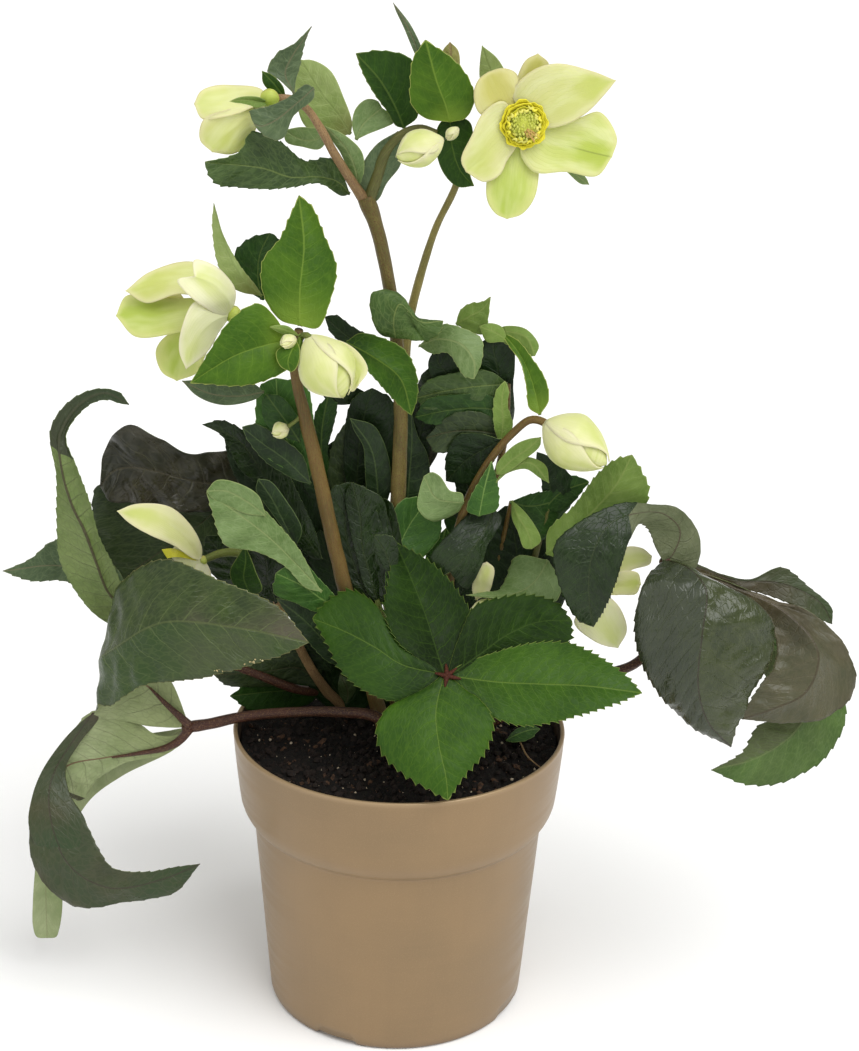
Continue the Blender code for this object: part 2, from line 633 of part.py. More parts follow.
# ---------------------------------------------------------- leaf at the right
R_ROOT = foot(466, 748)
leaf_right = tube("leaf_right", "petiole",
                  [root(*R_ROOT), above(*R_ROOT, 2), at(540, 698, -22), at(600, 676, -19), at(636, 663, -16),
                   at(660, 635, -9), at(668, 595, -7), at(666, 562, -12)],
                  [2.6, 2.5, 2.3, 2.2, 2.2, 2.1, 2.0, 2.2], sides=8, steps=14)
socket(*R_ROOT, 4.3)
grow(
    leaf_right,
    knot(at(666, 562, -11), 3.0),
    blade("right_one", "dark",
          [(665, 560, -12), (688, 568, -24), (706, 590, -35), (702, 635, -44), (698, 685, -46), (708, 722, -43),
           (731, 747, -38)],
          [(655, 566, -18), (641, 590, -28), (634, 622, -33), (640, 660, -36), (662, 698, -38), (695, 728, -38)],
          [(678, 562, -16), (712, 580, -26), (756, 601, -30), (776, 630, -31), (766, 668, -34), (741, 716, -36)],
          rows=10, cup=2.0, hidden=True),
    blade("right_two", "dark",
          [(668, 564, -10), (725, 584, -12), (785, 612, -20), (818, 652, -28), (806, 692, -32), (772, 709, -34),
           (742, 719, -34)],
          [(700, 572, -9), (760, 594, -12), (812, 613, -15), (846, 648, -18), (856, 685, -20), (833, 714, -25),
           (782, 723, -30)],
          [(690, 582, -12), (735, 606, -16), (775, 638, -22), (774, 664, -28), (756, 692, -32), (746, 708, -34)],
          rows=10, cup=2.0, hidden=True),
    blade("right_upper", "dark",
          [(664, 562, -10), (700, 568, -4), (735, 580, 2), (782, 584, 6), (820, 603, 6), (832, 624, 4)],
          [(690, 562, -5), (722, 574, 0), (750, 579, 4), (782, 567, 8), (810, 588, 8), (832, 608, 6)],
          [(690, 576, -6), (722, 590, -1), (755, 592, 2), (785, 602, 2), (812, 614, 2), (826, 622, 3)],
          rows=8, hidden=True),
    blade("right_green", "young",
          [(667, 563, -10.5), (718, 610, -3), (775, 650, 0), (812, 690, -4), (798, 728, -14), (758, 757, -22), (711, 770, -24)],
          [(705, 590, -3), (760, 625, 2), (820, 660, 2), (846, 706, -2), (832, 750, -12), (790, 780, -20), (748, 785, -23)],
          [(690, 604, -6), (735, 645, -3), (772, 685, -4), (790, 716, -10), (760, 724, -16), (742, 752, -21)],
          rows=11, hidden=True),
    blade("right_over", "light",
          [(664, 564, -13), (674, 552, -11), (680, 530, -8), (664, 514, -9), (638, 513, -14), (610, 524, -22),
           (592, 556, -29), (589, 596, -32), (593.5, 627, -30)],
          [(690, 574, -12), (700, 556, -8), (698, 532, -4), (680, 509, -4), (654, 504, -8), (620, 503, -14),
           (578, 522, -22), (554, 545, -27), (560, 588, -30), (578, 620, -30)],
          [(660, 556, -13), (654, 544, -13), (648, 530, -13), (640, 524, -16), (634, 532, -22),
           (626, 552, -26), (617, 580, -29), (605, 608, -30)],
          rows=15, hidden=True),
    solver='MANIFOLD',
)

# -------------------------------------------- dark leaves among the stems
G_ROOT = foot(425, 738)
leaf_mid_left = tube("leaf_middle_left", "dark",
                     [root(*G_ROOT), above(*G_ROOT, 2), at(410, 690, -8), at(388, 630, -10), at(378, 602, -10)],
                     [2.0, 1.9, 1.7, 1.5, 1.2], sides=8, steps=8)
socket(*G_ROOT, 3.6)
grow(
    leaf_mid_left,
    blade("mid_left_a", "dark",
          [(378, 604, -10), (370, 575, -6), (362, 545, -3), (360, 515, -1), (352, 482, 0)],
          [(366, 590, -8), (356, 555, -4), (349, 525, -2), (345, 495, 0)],
          [(384, 590, -5), (388, 560, -1), (388, 530, -1), (382, 498, -1)], rows=6, hidden=True),
)

leaf_point_left = blade("leaf_pointed_left", "dark",
                        [(322, 560, -8), (306, 536, -6), (287, 505, -4), (262, 472, -4), (238, 440, -8), (202.5, 424.5, -14)],
                        [(318, 540), (313, 525), (296, 488), (280, 458), (250, 434), (222, 420)],
                        [(312, 558), (302, 550), (289, 528), (264, 490), (240, 470), (222, 436)], rows=8)
leaf_mid_right = blade("leaf_middle_right", "dark",
                       [(494, 508, 6), (486, 528, -3), (470, 552, -10), (450, 572, -13)],
                       [(478, 508, 5), (450, 532, -5), (429, 560, -9.5), (436, 578, -12)],
                       [(502, 520, 2), (488, 545, -5), (480, 570, -9), (466, 590, -10)], rows=6)
leaf_arch = blade("leaf_arching", "light",
                  [(548, 560, 8), (536, 580, 2), (520, 592, -4), (498, 596, -8), (466, 595, -10)],
                  [(516, 556, 8), (506, 578, 4), (498, 590, -2), (484, 592, -7)],
                  [(562, 584, 4), (556, 601, -4), (534, 600, -8), (502, 599, -10)], rows=6)

# ------------------------------------------------ leaf group of the middle top
bract_crumpled = blade("bract_crumpled", "dark",
                       [(396, 338, -5), (394, 318, -9), (400, 304, -9), (420, 322, -8), (443, 321, -5)],
                       [(384, 336, -4), (373, 322, -8), (371, 293, -8), (400, 291, -5), (414, 316, -4)],
                       [(412, 340, -6), (430, 340, -7), (440, 332, -6)], rows=6, start=1.5)
bract_green_mid = blade("bract_green_middle", "young",
                        [(346, 342, -6), (372, 356, -10), (400, 378, -12), (411.5, 415, -11)],
                        [(360, 333, -6), (384, 338, -8), (405, 350, -10), (417, 374, -11), (417, 400, -11)],
                        [(351, 354, -8), (370, 374, -11), (388, 394, -12), (404, 410, -12)], rows=7)
bract_light_mid = blade("bract_light_middle", "light",
                        [(419, 346, 12), (440, 339, 6), (462, 345, 2), (474, 362, -2), (474, 379, -3)],
                        [(443, 324, 8), (463, 328, 6), (481, 338, 4), (482, 360, 0)],
                        [(432, 354, 8), (447, 353, 4), (457, 366, 0), (464, 376, -2)], rows=6)
bract_light_top = blade("bract_light_top", "light",
                        [(456, 324, 14), (470, 316, 12), (484, 308, 10), (490.5, 297, 8)],
                        [(460, 310, 14), (471, 303, 12), (481, 302, 10)],
                        [(470, 332, 14), (484, 334, 13), (488, 320, 10)], rows=5)
leaf_dark_mid = blade("leaf_dark_middle", "dark",
                      [(512, 366, 16), (490, 378, 13), (460, 388, 11), (430, 398, 13), (410, 412, 18)],
                      [(500, 344, 18), (478, 350, 16), (448, 358, 15), (424, 372, 16)],
                      [(514, 420, 14), (498, 440, 10), (462, 434, 9), (430, 424, 13)], rows=7)
leaf_curled = blade("leaf_curled_right", "light",
                    [(496, 330, 14), (512, 332, 10), (527, 338, 6), (535, 356, 4)],
                    [(505, 326, 12), (526, 329, 8), (539, 346, 5)],
                    [(506, 344, 12), (519, 346, 8), (530, 356, 5)], rows=5, hidden=True)
leaf_narrow = blade("leaf_narrow_right", "young",
                    [(540, 415, -4), (535, 392, 0), (526, 366, 4), (514, 346, 8), (500, 331, 13)],
                    [(549, 400, -3), (546, 380, 0), (531, 356, 4), (519, 341, 8)],
                    [(529, 408, -3), (526, 386, 0), (520, 362, 4), (510, 348, 8)], rows=6)
grow(leaf_narrow, leaf_curled)
bract_bud_right = blade("bract_under_right_bud", "light",
                        [(497, 474, -7), (512, 460, -9), (530, 447, -12), (541, 437, -13)],
                        [(496, 466, -7), (513, 446, -9), (528, 439, -11)],
                        [(504, 474, -8), (524, 460, -11), (540, 446, -13)], rows=5)
bract_pale_curl = blade("bract_pale_curled", "light",
                        [(464, 503, -5), (452, 502, -6), (436, 498, -6), (424, 476, -5)],
                        [(462, 493, -5), (450, 491, -6), (440, 476, -6), (432, 472, -5)],
                        [(456, 512, 0), (434, 521, -4), (418, 508, -6), (420, 488, -6)], rows=5)
leaf_star = blade("leaf_small_star", "young",
                  [(510, 502, 6), (530, 506, 9), (556, 500, 13), (586, 484, 17)],
                  [(530, 494, 9), (556, 489, 13), (574, 484, 16)],
                  [(524, 528, 8), (540, 541, 11), (556, 524, 13), (574, 502, 16)], rows=5, hidden=True)
bract_yellow_mid = blade("bract_yellow_middle", "light",
                         [(512, 501, 6), (518, 516, -2), (528, 532, -4), (532, 549, -5)],
                         [(521, 508, 1), (534, 524, -3), (541, 541, -5)],
                         [(512, 518, 0), (518, 532, -3), (524, 548, -5)], rows=5)
grow(bract_yellow_mid, leaf_star)
leaf_light_right = blade("leaf_light_right", "light",
                         [(546, 554, 2), (568, 534, 2), (596, 508, -2), (618, 482, -6), (632, 455, -8)],
                         [(548, 530, 4), (573, 506, 4), (595, 476, 0), (614, 460, -5)],
                         [(566, 560, 2), (612, 540, 0), (644, 510, -4), (649, 488, -6), (640, 468, -8)], rows=6)
bract_fold_left = blade("bract_folded_left", "light",
                        [(322, 592, -24), (298, 566, -26), (272, 540, -30), (240, 515, -34), (206.5, 492, -36)],
                        [(316, 582, -24), (300, 550, -26), (268, 513, -29), (242, 486, -32), (222, 481, -34)],
                        [(306, 588, -26), (284, 566, -29), (256, 552, -33), (226, 546, -36), (212, 512, -37)], rows=7)
bract_small_left = blade("bract_pointed_small", "young",
                         [(252, 596, -24), (244, 578, -26), (246, 560, -28), (245, 545, -28)],
                         [(236, 588, -25), (230, 572, -26), (238, 556, -28)],
                         [(262, 590, -26), (256, 572, -28), (250, 556, -29)], rows=5)
leaf_behind_low = blade("leaf_behind_lower_left", "dark",
                        [(318, 690, 36), (298, 690, 30), (266, 692, 20), (230, 696, 10)],
                        [(308, 674, 36), (286, 670, 28), (250, 682, 16)],
                        [(312, 702, 34), (290, 709, 26), (252, 711, 14)], rows=5)

# -------------------------------------------------------- bracts, middle left
bract_top_big = blade("bract_large_upright", "young",
                      [(300, 326, -29), (300, 290, -26), (304, 245, -20), (299, 195.5, -12)],
                      [(280, 320, -28), (263, 295, -25), (262, 262, -22), (280, 238, -18), (290, 215, -15)],
                      [(318, 328, -28), (331, 300, -25), (337, 268, -21), (326, 238, -17), (312, 206, -14)],
                      rows=7, start=2.0)
bract_left_big = blade("bract_large_left", "young",
                       [(288, 340, -31), (266, 345, -35), (236, 355, -40), (210, 370, -43), (190.5, 383, -44)],
                       [(276, 318, -31), (258, 303, -34), (232, 318, -39), (210, 350, -42)],
                       [(290, 366, -35), (262, 382, -39), (236, 386, -43), (208, 384, -44)], rows=7, start=1.5)
bract_narrow_up = blade("bract_narrow_upright", "light",
                        [(262, 296, -10), (244, 280, -11), (228, 252, -10), (213.8, 203, -6)],
                        [(236, 290, -11), (219, 268, -11), (212, 226, -8)],
                        [(256, 286, -9), (239, 264, -9), (222, 232, -8)], rows=6)
bract_dark_back = blade("bract_dark_crumpled", "dark",
                        [(262, 300, 2), (258, 276, 3), (260, 254, 4), (270, 233, 5)],
                        [(240, 284, 2), (234, 254, 3), (250, 238, 4)],
                        [(280, 296, 1), (284, 262, 3), (278, 238, 4)], rows=5)
bract_under_left = blade("bract_under_left", "dark",
                         [(264, 392, -16), (240, 396, -20), (212, 394, -24), (182, 381, -26)],
                         [(254, 384, -17), (225, 384, -22), (200, 380, -25)],
                         [(256, 399, -17), (222, 405, -21), (197, 396, -25)], rows=5)
# ---------------------------------------------------------- bracts at the top
bract_ul_dark = blade("bract_top_left_pointed", "dark",
                      [(294, 94, -9), (285, 74, -8), (292, 56, -6), (304, 38, -4), (311.5, 26.5, -3)],
                      [(279, 80, -10), (267, 72, -9), (276, 54, -8), (293, 44, -6)],
                      [(296, 82, -6), (300, 66, -4), (303, 50, -3), (307, 36, -3)], rows=6, start=1.5)
bract_ul_light = blade("bract_top_left_light", "light",
                       [(351, 134, 6), (338, 114, 8), (322, 94, 10), (301, 60, 12)],
                       [(330, 138, 7), (305, 126, 9), (296, 100, 11), (293, 74, 12)],
                       [(352, 122, 6), (344, 98, 8), (330, 70, 10), (312, 60, 12)], rows=6)
bract_ul_ear = blade("bract_grey_ear", "dark",
                     [(314, 88, -22), (296, 104, -24), (276, 120, -26), (262, 126, -27), (254, 124, -27)],
                     [(306, 84, -22), (290, 96, -23), (268, 106, -25), (250, 111, -26)],
                     [(314, 98, -23), (294, 116, -25), (284, 138, -26), (274, 140, -27), (260, 132, -27)], rows=6)
bract_ul_serr = blade("bract_large_toothed", "dark",
                      [(350, 194, 3.5), (338, 182, 2), (319, 177, -3), (290, 177, -11), (262, 168, -18), (205, 162, -26)],
                      [(344, 178, 3), (331, 158, 1), (306, 160, -6), (278, 140, -14), (252, 132, -22), (240, 152, -25)],
                      [(342, 196, 2.5), (320, 184, -4), (291, 188, -11), (252, 189, -18), (222, 187, -23), (208, 174, -26)],
                      rows=8)
bract_uc_round = blade("bract_rounded_upper", "light",
                       [(356, 140, 3), (362, 126, 6), (372, 116, 8), (382, 108, 9)],
                       [(352, 124, 5), (356, 108, 7), (367, 99, 9), (378, 101, 9)],
                       [(370, 133, 4), (386, 127, 6), (394, 122, 8), (388, 112, 9)], rows=5)
bract_uc_dark = blade("bract_upper_dark", "young",
                      [(404, 128, 6), (396, 108, 5), (380, 80, 5), (356, 53.5, 4)],
                      [(396, 126, 6), (387, 112, 6), (374, 94, 5), (362, 72, 4)],
                      [(418, 116, 6), (412, 90, 6), (412, 60, 6), (384, 50.5, 5)], rows=6)
bract_uc_green = blade("bract_upper_bright", "young",
                       [(450, 122, -5), (446, 106, -7), (437, 82, -8), (425.5, 40, -7)],
                       [(424, 118, -6), (411, 104, -6), (410, 80, -6), (413, 58, -6)],
                       [(466, 118, -5), (475, 100, -5), (469, 78, -5), (452, 58, -6)], rows=6)
bract_uc_low = blade("bract_upper_lower", "young",
                     [(449, 108, -6.4), (452, 145, -3), (460, 170, -2), (474, 186, -3)],
                     [(441, 142, -4), (440, 160, -2), (449, 182, -1), (460, 187, -2)],
                     [(462, 136, -4), (466, 148, -3), (461, 162, -2), (466, 175, -3)], rows=5, hidden=True)
grow(bract_uc_green, bract_uc_low)
bract_uc_tip = blade("bract_upper_narrow", "young",
                     [(420, 64, 12), (415, 44, 13), (406, 24, 14), (393, 2.5, 15)],
                     [(414, 52, 12), (403, 26, 14), (396, 11, 15)],
                     [(423, 54, 12), (412, 27, 14), (401, 12, 15)], rows=5)

# ------------------------------------------------------------------ flowers
# the open flower: six sepals round a ring of nectaries and stamens
bloom = Plane(524, 124, -6, 6, 6)


def disc(name, finish, plane, u, v, off0, off1, r0, r1, sides=14, hidden=False):
    a, b = plane.at(u, v, off0), plane.at(u, v, off1)
    axis = (b - a).normalized()
    side = axis.cross(Vector((0, 0, 1))).normalized()
    other = axis.cross(side)
    bm = bmesh.new()
    rings = []
    for p, r in ((a, r0), (a.lerp(b, 0.55), r1), (b, r1 * 0.8)):
        rings.append([bm.verts.new(p + side * r * cos(2 * pi * q / sides)
                                   + other * r * sin(2 * pi * q / sides))
                      for q in range(sides)])
    for x, y in zip(rings, rings[1:]):
        for q in range(sides):
            w = (q + 1) % sides
            bm.faces.new((x[q], x[w], y[w], y[q]))
    bm.faces.new(rings[0][::-1])
    bm.faces.new(rings[-1])
    bmesh.ops.triangulate(bm, faces=bm.faces[:])
    return add(name, to_mesh(name, bm), finish, hidden)


flower_centre = disc("flower_centre", "stamen", bloom, 523, 124, 1.4, 8.0, 3.6, 8.6)


def sepal(name, mid, a, b, plane, **kw):
    kw.setdefault("thick", SEPAL_T)
    return blade(name, "sepal", mid, a, b, plane, **kw)


sepal("sepal_bottom", [(518, 138, -1.6), (514, 160, -0.4), (511, 190, 1.4), (507, 219, 0)],
      [(506, 156), (488, 182), (489, 203), (497, 216)],
      [(526, 156, -1.8), (535, 178, -1.2), (532, 198, 0), (520, 214)], bloom)
sepal("sepal_lower_left", [(513, 129, 0), (498, 142, 2.6), (484, 158, 3.6), (468, 173, 4)],
      [(499, 115, 2), (481, 112, 4), (471, 138, 5), (461.5, 163, 5)],
      [(507, 142, 1), (506, 160, 3), (498, 177, 4), (484, 181, 4)], bloom)
sepal("sepal_upper_left", [(514, 119, -0.8), (504, 102, 1), (494, 86, 3), (488, 73, 4)],
      [(498, 114, 0.4), (480, 108, 2), (475, 92, 4), (479, 79, 4)],
      [(511, 100, -0.4), (512, 86, 1), (513, 73, 3), (501, 68, 4)], bloom)
sepal("sepal_top_small", [(521, 112, -1.6), (525, 92, -1.4), (530, 74, -1), (537, 54, 0)],
      [(515, 98), (518, 76), (525, 61)],
      [(530, 96), (538, 76), (547, 62)], bloom, rows=5)
sepal("sepal_upper_right", [(531, 116, 0.0), (556, 102, 2.4), (586, 90, 3.6), (615.5, 81, 4)],
      [(527, 96, 1.4), (540, 70, 3.4), (572, 65, 4), (600, 74, 4)],
      [(549, 112, 1.4), (566, 122, 3), (588, 111, 4), (610, 90, 4)], bloom)
sepal("sepal_lower_right", [(530, 131, -1.2), (554, 141, -1.0), (582, 152, -0.4), (606, 160, 0)],
      [(549, 126, -1.2), (578, 120, -1.8), (600, 112, -1), (616, 142, 0)],
      [(525, 152, 0.6), (537, 171, 1.6), (566, 173, 1.2), (596, 175, 0)], bloom, rows=7)


def closed_flower(name, base, knob, petals):
    """A nodding flower seen from the side: sepals grown on one base."""
    body = egg(name, "sepal", base, knob, 3.4, sides=10, rings=5)
    return grow(body, *petals)


# upper left flower, nodding to the left
closed_flower("flower_upper_left", at(278, 98, -17), at(260, 99, -18), [
    sepal("ul_1", [(266, 99, -18), (246, 96, -21), (222, 100, -24), (194, 104, -25)],
          [(262, 90, -16), (240, 85, -17), (215, 86, -20), (200, 92, -23)],
          [(262, 104, -20), (245, 110, -26), (222, 118, -28), (202, 119, -27)], None, hidden=True),
    sepal("ul_2", [(266, 100, -17), (248, 116, -22), (228, 132, -25), (212, 152, -24)],
          [(250, 104, -20), (226, 110, -27), (203, 120, -28), (200, 140, -26)],
          [(262, 112, -14), (256, 132, -15), (246, 145, -17), (232, 154, -21)], None, hidden=True),
    sepal("ul_3", [(266, 99, -17), (248, 98, -9), (226, 108, -3), (208, 122, -2)],
          [(262, 92, -14), (240, 92, -8), (218, 100, -3)],
          [(262, 112, -12), (246, 124, -6), (222, 134, -3)], None, hidden=True, rows=5),
])

# middle left flower, opening to the left
closed_flower("flower_middle_left", at(240, 316, -19), at(224, 312, -20), [
    sepal("ml_front", [(231, 314, -20), (228, 300, -27), (214, 284, -32), (194, 276, -34)],
          [(234, 304, -20), (234, 286, -22), (218, 268, -26), (194, 260, -30)],
          [(220, 316, -26), (206, 308, -33), (190, 297, -36), (177, 280, -35)], None, hidden=True),
    sepal("ml_white", [(230, 314, -21), (212, 322, -30), (196, 338, -33), (186, 369, -32)],
          [(218, 308, -26), (196, 302, -34), (184, 320, -36), (179, 350, -34)],
          [(226, 322, -21), (216, 338, -27), (204, 355, -30)], None, hidden=True),
    sepal("ml_upper", [(231, 312, -18), (206, 286, -16), (168, 279, -18), (125.5, 291, -20)],
          [(226, 290, -12), (196, 262, -12), (150, 272, -15)],
          [(215, 302, -20), (182, 294, -22), (146, 303, -21)], None, hidden=True),
    sepal("ml_left", [(230, 315, -19), (190, 310, -20), (150, 316, -20), (116, 316, -18)],
          [(206, 300, -16), (160, 298, -14), (126, 296, -15)],
          [(208, 324, -22), (176, 333, -24), (136, 337, -22)], None, hidden=True),
    sepal("ml_low", [(231, 316, -18), (206, 332, -14), (184, 352, -12), (177, 381, -14)],
          [(208, 322, -13), (170, 333, -9), (156, 350, -10), (162, 372, -12)],
          [(222, 328, -16), (208, 350, -15), (198, 372, -15)], None, hidden=True),
])

# low left flower, seen from the side
closed_flower("flower_low_left", at(207, 560, -17), at(196, 562, -18), [
    sepal("ll_up", [(201, 561, -18), (184, 538, -19), (160, 520, -21), (117, 511, -22)],
          [(202, 548, -18), (190, 524, -18), (168, 506, -19), (136, 504, -21)],
          [(192, 558, -20), (174, 546, -22), (150, 535, -23), (128, 522, -22)], None, hidden=True),
    sepal("ll_down", [(199, 561, -18), (202, 568, -19), (207, 577, -19), (212.5, 588, -19)],
          [(206, 563, -18), (210, 572, -18), (212, 580, -18)],
          [(195, 566, -19), (197, 574, -20), (205, 584, -19)], None, hidden=True, rows=4),
])

# right flower, half hidden behind the leaves
closed_flower("flower_right", at(592, 580, -4), at(601, 592, -7), [
    sepal("rf_a", [(596, 586, -5), (610, 575, -4), (628, 560, -4), (652, 556, -4)],
          [(604, 572, -3), (624, 548, -3), (642, 548, -3)],
          [(612, 582, -5), (632, 570, -5), (650, 564, -4)], None, hidden=True, rows=5),
    sepal("rf_b", [(597, 587, -6), (610, 588, -8), (626, 586, -9), (641, 584, -9)],
          [(606, 578, -7), (618, 571, -9), (638, 573, -9)],
          [(606, 594, -8), (622, 595, -10), (636, 594, -10)], None, hidden=True, rows=5),
    sepal("rf_c", [(597, 588, -7), (604, 606, -13), (611, 626, -17), (618, 648, -18)],
          [(606, 594, -9), (620, 608, -14), (627, 630, -17)],
          [(592, 598, -10), (574, 622, -17), (592, 640, -19), (606, 646, -19)], None, hidden=True),
])

# --------------------------------------------------------------------- buds
egg("bud_upper", "bud", at(443, 139, -15), at(396, 158, -22), 7.6, sides=12, fat=0.5)
egg("bud_middle", "bud", at(308, 336, -34), at(345, 398, -41), 11.6, sides=12, fat=0.5)
egg("bud_right", "bud", at(545, 424, -12), at(604, 462, -16), 11.2, sides=12, fat=0.42)
egg("bud_small_left", "bud", at(288, 427, -20), at(272, 434, -23), 3.4, sides=8, rings=5)
bract_small_hub = blade("bract_small_hub", "young",
                        [(297, 341, -33), (292, 350, -38), (288, 362, -40), (291, 372, -40)],
                        [(284, 346, -36), (276, 352, -38), (280, 366, -40)],
                        [(300, 350, -38), (299, 362, -41), (295, 370, -41)], rows=4, hidden=True)
bud_tiny = egg("bud_tiny_hub", "bud", at(295, 338, -33.5), at(281, 345, -40), 2.8, sides=8, rings=5)
grow(bud_tiny, bract_small_hub)

# -------------------------------------------------- leaves at the plant's back
def back_leaf(name, rx, ry, hub, spread, size, finish="dark", solver='EXACT'):
    """A leaf of five leaflets that hangs out from the plant's far side."""
    top = Vector(hub)
    stalk = tube(name, "petiole",
                 [root(rx, ry), above(rx, ry, 2), Vector((rx, ry, SOIL_TOP_Z)).lerp(top, 0.55) + Vector((0, 0, 8)), top],
                 [2.3, 2.2, 2.0, 1.8], sides=8, steps=9)
    socket(rx, ry, 4.0)
    parts = []
    for k, (ang, length, width, droop) in enumerate(spread):
        a = radians(ang)
        out = Vector((sin(a), cos(a), 0.0))
        side = Vector((cos(a), -sin(a), 0.0))
        grid = []
        rows = 5
        for i in range(rows + 1):
            t = i / rows
            run = length * size * t
            m = top + out * run * (1 - 0.18 * t * t) + Vector((0, 0, 6 * sin(pi * t) - droop * size * t * t))
            w = max(width * size * sin(pi * min(t * 0.92 + 0.06, 0.985)) ** 0.8, 0.7)
            sag = Vector((0, 0, w * 0.25))
            grid.append([m + side * w - sag, m, m - side * w - sag])
        parts.append(add(name + "_%d" % k, slab(name, grid, BLADE_T), finish, hidden=True))
    return grow(stalk, knot(top, 2.8), *parts, solver=solver)


FAN = [(-78, 0.80, 0.20, 0.30), (-36, 0.95, 0.24, 0.45), (4, 1.0, 0.25, 0.55),
       (44, 0.95, 0.24, 0.45), (84, 0.80, 0.20, 0.32)]
back_leaf("leaf_back_left", -32, 48, (-48, 78, 196), [(a - 28, l, w, d) for a, l, w, d in FAN], 64)
back_leaf("leaf_back_right", 18, 40, (50, 72, 190),
          [(a + 24, l, w, d) for a, l, w, d in FAN], 62, solver='MANIFOLD')

grow(soil, *sockets, cut=True)
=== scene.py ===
import random
from math import cos, sin, pi, radians, sqrt, exp

import bpy
import numpy as np
from mathutils import Matrix, Vector


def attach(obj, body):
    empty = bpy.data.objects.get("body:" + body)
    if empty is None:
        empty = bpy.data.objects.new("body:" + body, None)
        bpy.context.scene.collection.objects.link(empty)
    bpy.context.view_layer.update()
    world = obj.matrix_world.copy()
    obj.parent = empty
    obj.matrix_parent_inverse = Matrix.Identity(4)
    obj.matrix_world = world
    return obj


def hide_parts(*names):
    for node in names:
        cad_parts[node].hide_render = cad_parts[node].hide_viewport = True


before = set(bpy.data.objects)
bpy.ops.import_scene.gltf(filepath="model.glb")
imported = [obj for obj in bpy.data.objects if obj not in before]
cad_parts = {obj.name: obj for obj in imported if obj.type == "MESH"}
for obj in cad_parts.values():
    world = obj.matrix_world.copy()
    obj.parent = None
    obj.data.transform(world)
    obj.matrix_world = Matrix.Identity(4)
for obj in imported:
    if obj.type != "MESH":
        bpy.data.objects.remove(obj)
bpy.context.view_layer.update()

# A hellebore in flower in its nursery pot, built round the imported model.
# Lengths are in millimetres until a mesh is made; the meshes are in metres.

EYE = np.array((0.0, -814.56, 543.76))
PITCH, YAW, ROLL = 0.3669, -0.0144, 0.0219
FOCAL = 2000.0
SHEET = (859, 1051)
MIDDLE = (429.5, 525.5)
SOIL_Z = 127.0


def unit(v):
    return v / max(np.linalg.norm(v), 1e-9)


FWD = np.array((-sin(YAW) * cos(PITCH), cos(YAW) * cos(PITCH), -sin(PITCH)))
RIGHT0 = np.array((cos(YAW), sin(YAW), 0.0))
UP0 = np.cross(RIGHT0, FWD)
RIGHT = cos(ROLL) * RIGHT0 + sin(ROLL) * UP0
UP = -sin(ROLL) * RIGHT0 + cos(ROLL) * UP0


def sight(u, v):
    return FWD + (u - MIDDLE[0]) / FOCAL * RIGHT - (v - MIDDLE[1]) / FOCAL * UP


def at(u, v, d):
    """The place seen at (u, v) on the view sheet, d mm behind the pot's axis."""
    ray = sight(u, v)
    return EYE + ray * ((d - EYE[1]) / ray[1])


def on_level(u, v, z):
    ray = sight(u, v)
    return EYE + ray * ((z - EYE[2]) / ray[2])


class Plane:
    def __init__(self, u, v, d, turn, lift):
        self.point = at(u, v, d)
        t, e = radians(turn), radians(lift)
        self.normal = np.array((sin(t) * cos(e), -cos(t) * cos(e), sin(e)))

    def at(self, u, v, off):
        ray = sight(u, v)
        near = self.point + self.normal * off
        return EYE + ray * (np.dot(near - EYE, self.normal) / np.dot(ray, self.normal))


def resample(points, n):
    """n + 1 places spread evenly along a smooth curve through the points."""
    pts = [np.array(p, float) for p in points]
    if len(pts) == 2:
        return np.array([pts[0] + (pts[1] - pts[0]) * i / n for i in range(n + 1)])
    ext = [2 * pts[0] - pts[1]] + pts + [2 * pts[-1] - pts[-2]]
    dense = []
    for k in range(1, len(ext) - 2):
        p0, p1, p2, p3 = ext[k - 1:k + 3]
        t1 = max(np.linalg.norm(p1 - p0), 1e-6) ** 0.5
        t2 = t1 + max(np.linalg.norm(p2 - p1), 1e-6) ** 0.5
        t3 = t2 + max(np.linalg.norm(p3 - p2), 1e-6) ** 0.5
        for t in t1 + (t2 - t1) * np.arange(20) / 20:
            a1 = p0 * ((t1 - t) / t1) + p1 * (t / t1)
            a2 = p1 * ((t2 - t) / (t2 - t1)) + p2 * ((t - t1) / (t2 - t1))
            a3 = p2 * ((t3 - t) / (t3 - t2)) + p3 * ((t - t2) / (t3 - t2))
            b1 = a1 * ((t2 - t) / t2) + a2 * (t / t2)
            b2 = a2 * ((t3 - t) / (t3 - t1)) + a3 * ((t - t1) / (t3 - t1))
            dense.append(b1 * ((t2 - t) / (t2 - t1)) + b2 * ((t - t1) / (t2 - t1)))
    dense.append(pts[-1])
    dense = np.array(dense)
    run = np.concatenate([[0], np.cumsum(np.linalg.norm(np.diff(dense, axis=0), axis=1))])
    want = np.linspace(0, run[-1], n + 1)
    return np.stack([np.interp(want, run, dense[:, k]) for k in range(3)], axis=1)


def length_of(line):
    return float(np.linalg.norm(np.diff(line, axis=0), axis=1).sum())


def ripples(x, y, seed, scale, count=7):
    """Smooth random unevenness, about -1 to 1, over two coordinates in mm."""
    rng = random.Random(seed)
    out = np.zeros(np.broadcast(x, y).shape)
    for _ in range(count):
        a, f, p = rng.uniform(0, 2 * pi), rng.uniform(0.6, 1.6) / scale, rng.uniform(0, 2 * pi)
        out = out + np.sin(2 * pi * f * (x * cos(a) + y * sin(a)) + p)
    return out / count ** 0.5


# ------------------------------------------------------------------ materials
def c(r, g, b):
    """A colour by its 0 to 255 screen values."""
    return tuple(((x / 255 + 0.055) / 1.055) ** 2.4 if x > 10 else x / 255 / 12.92
                 for x in (r, g, b)) + (1.0,)


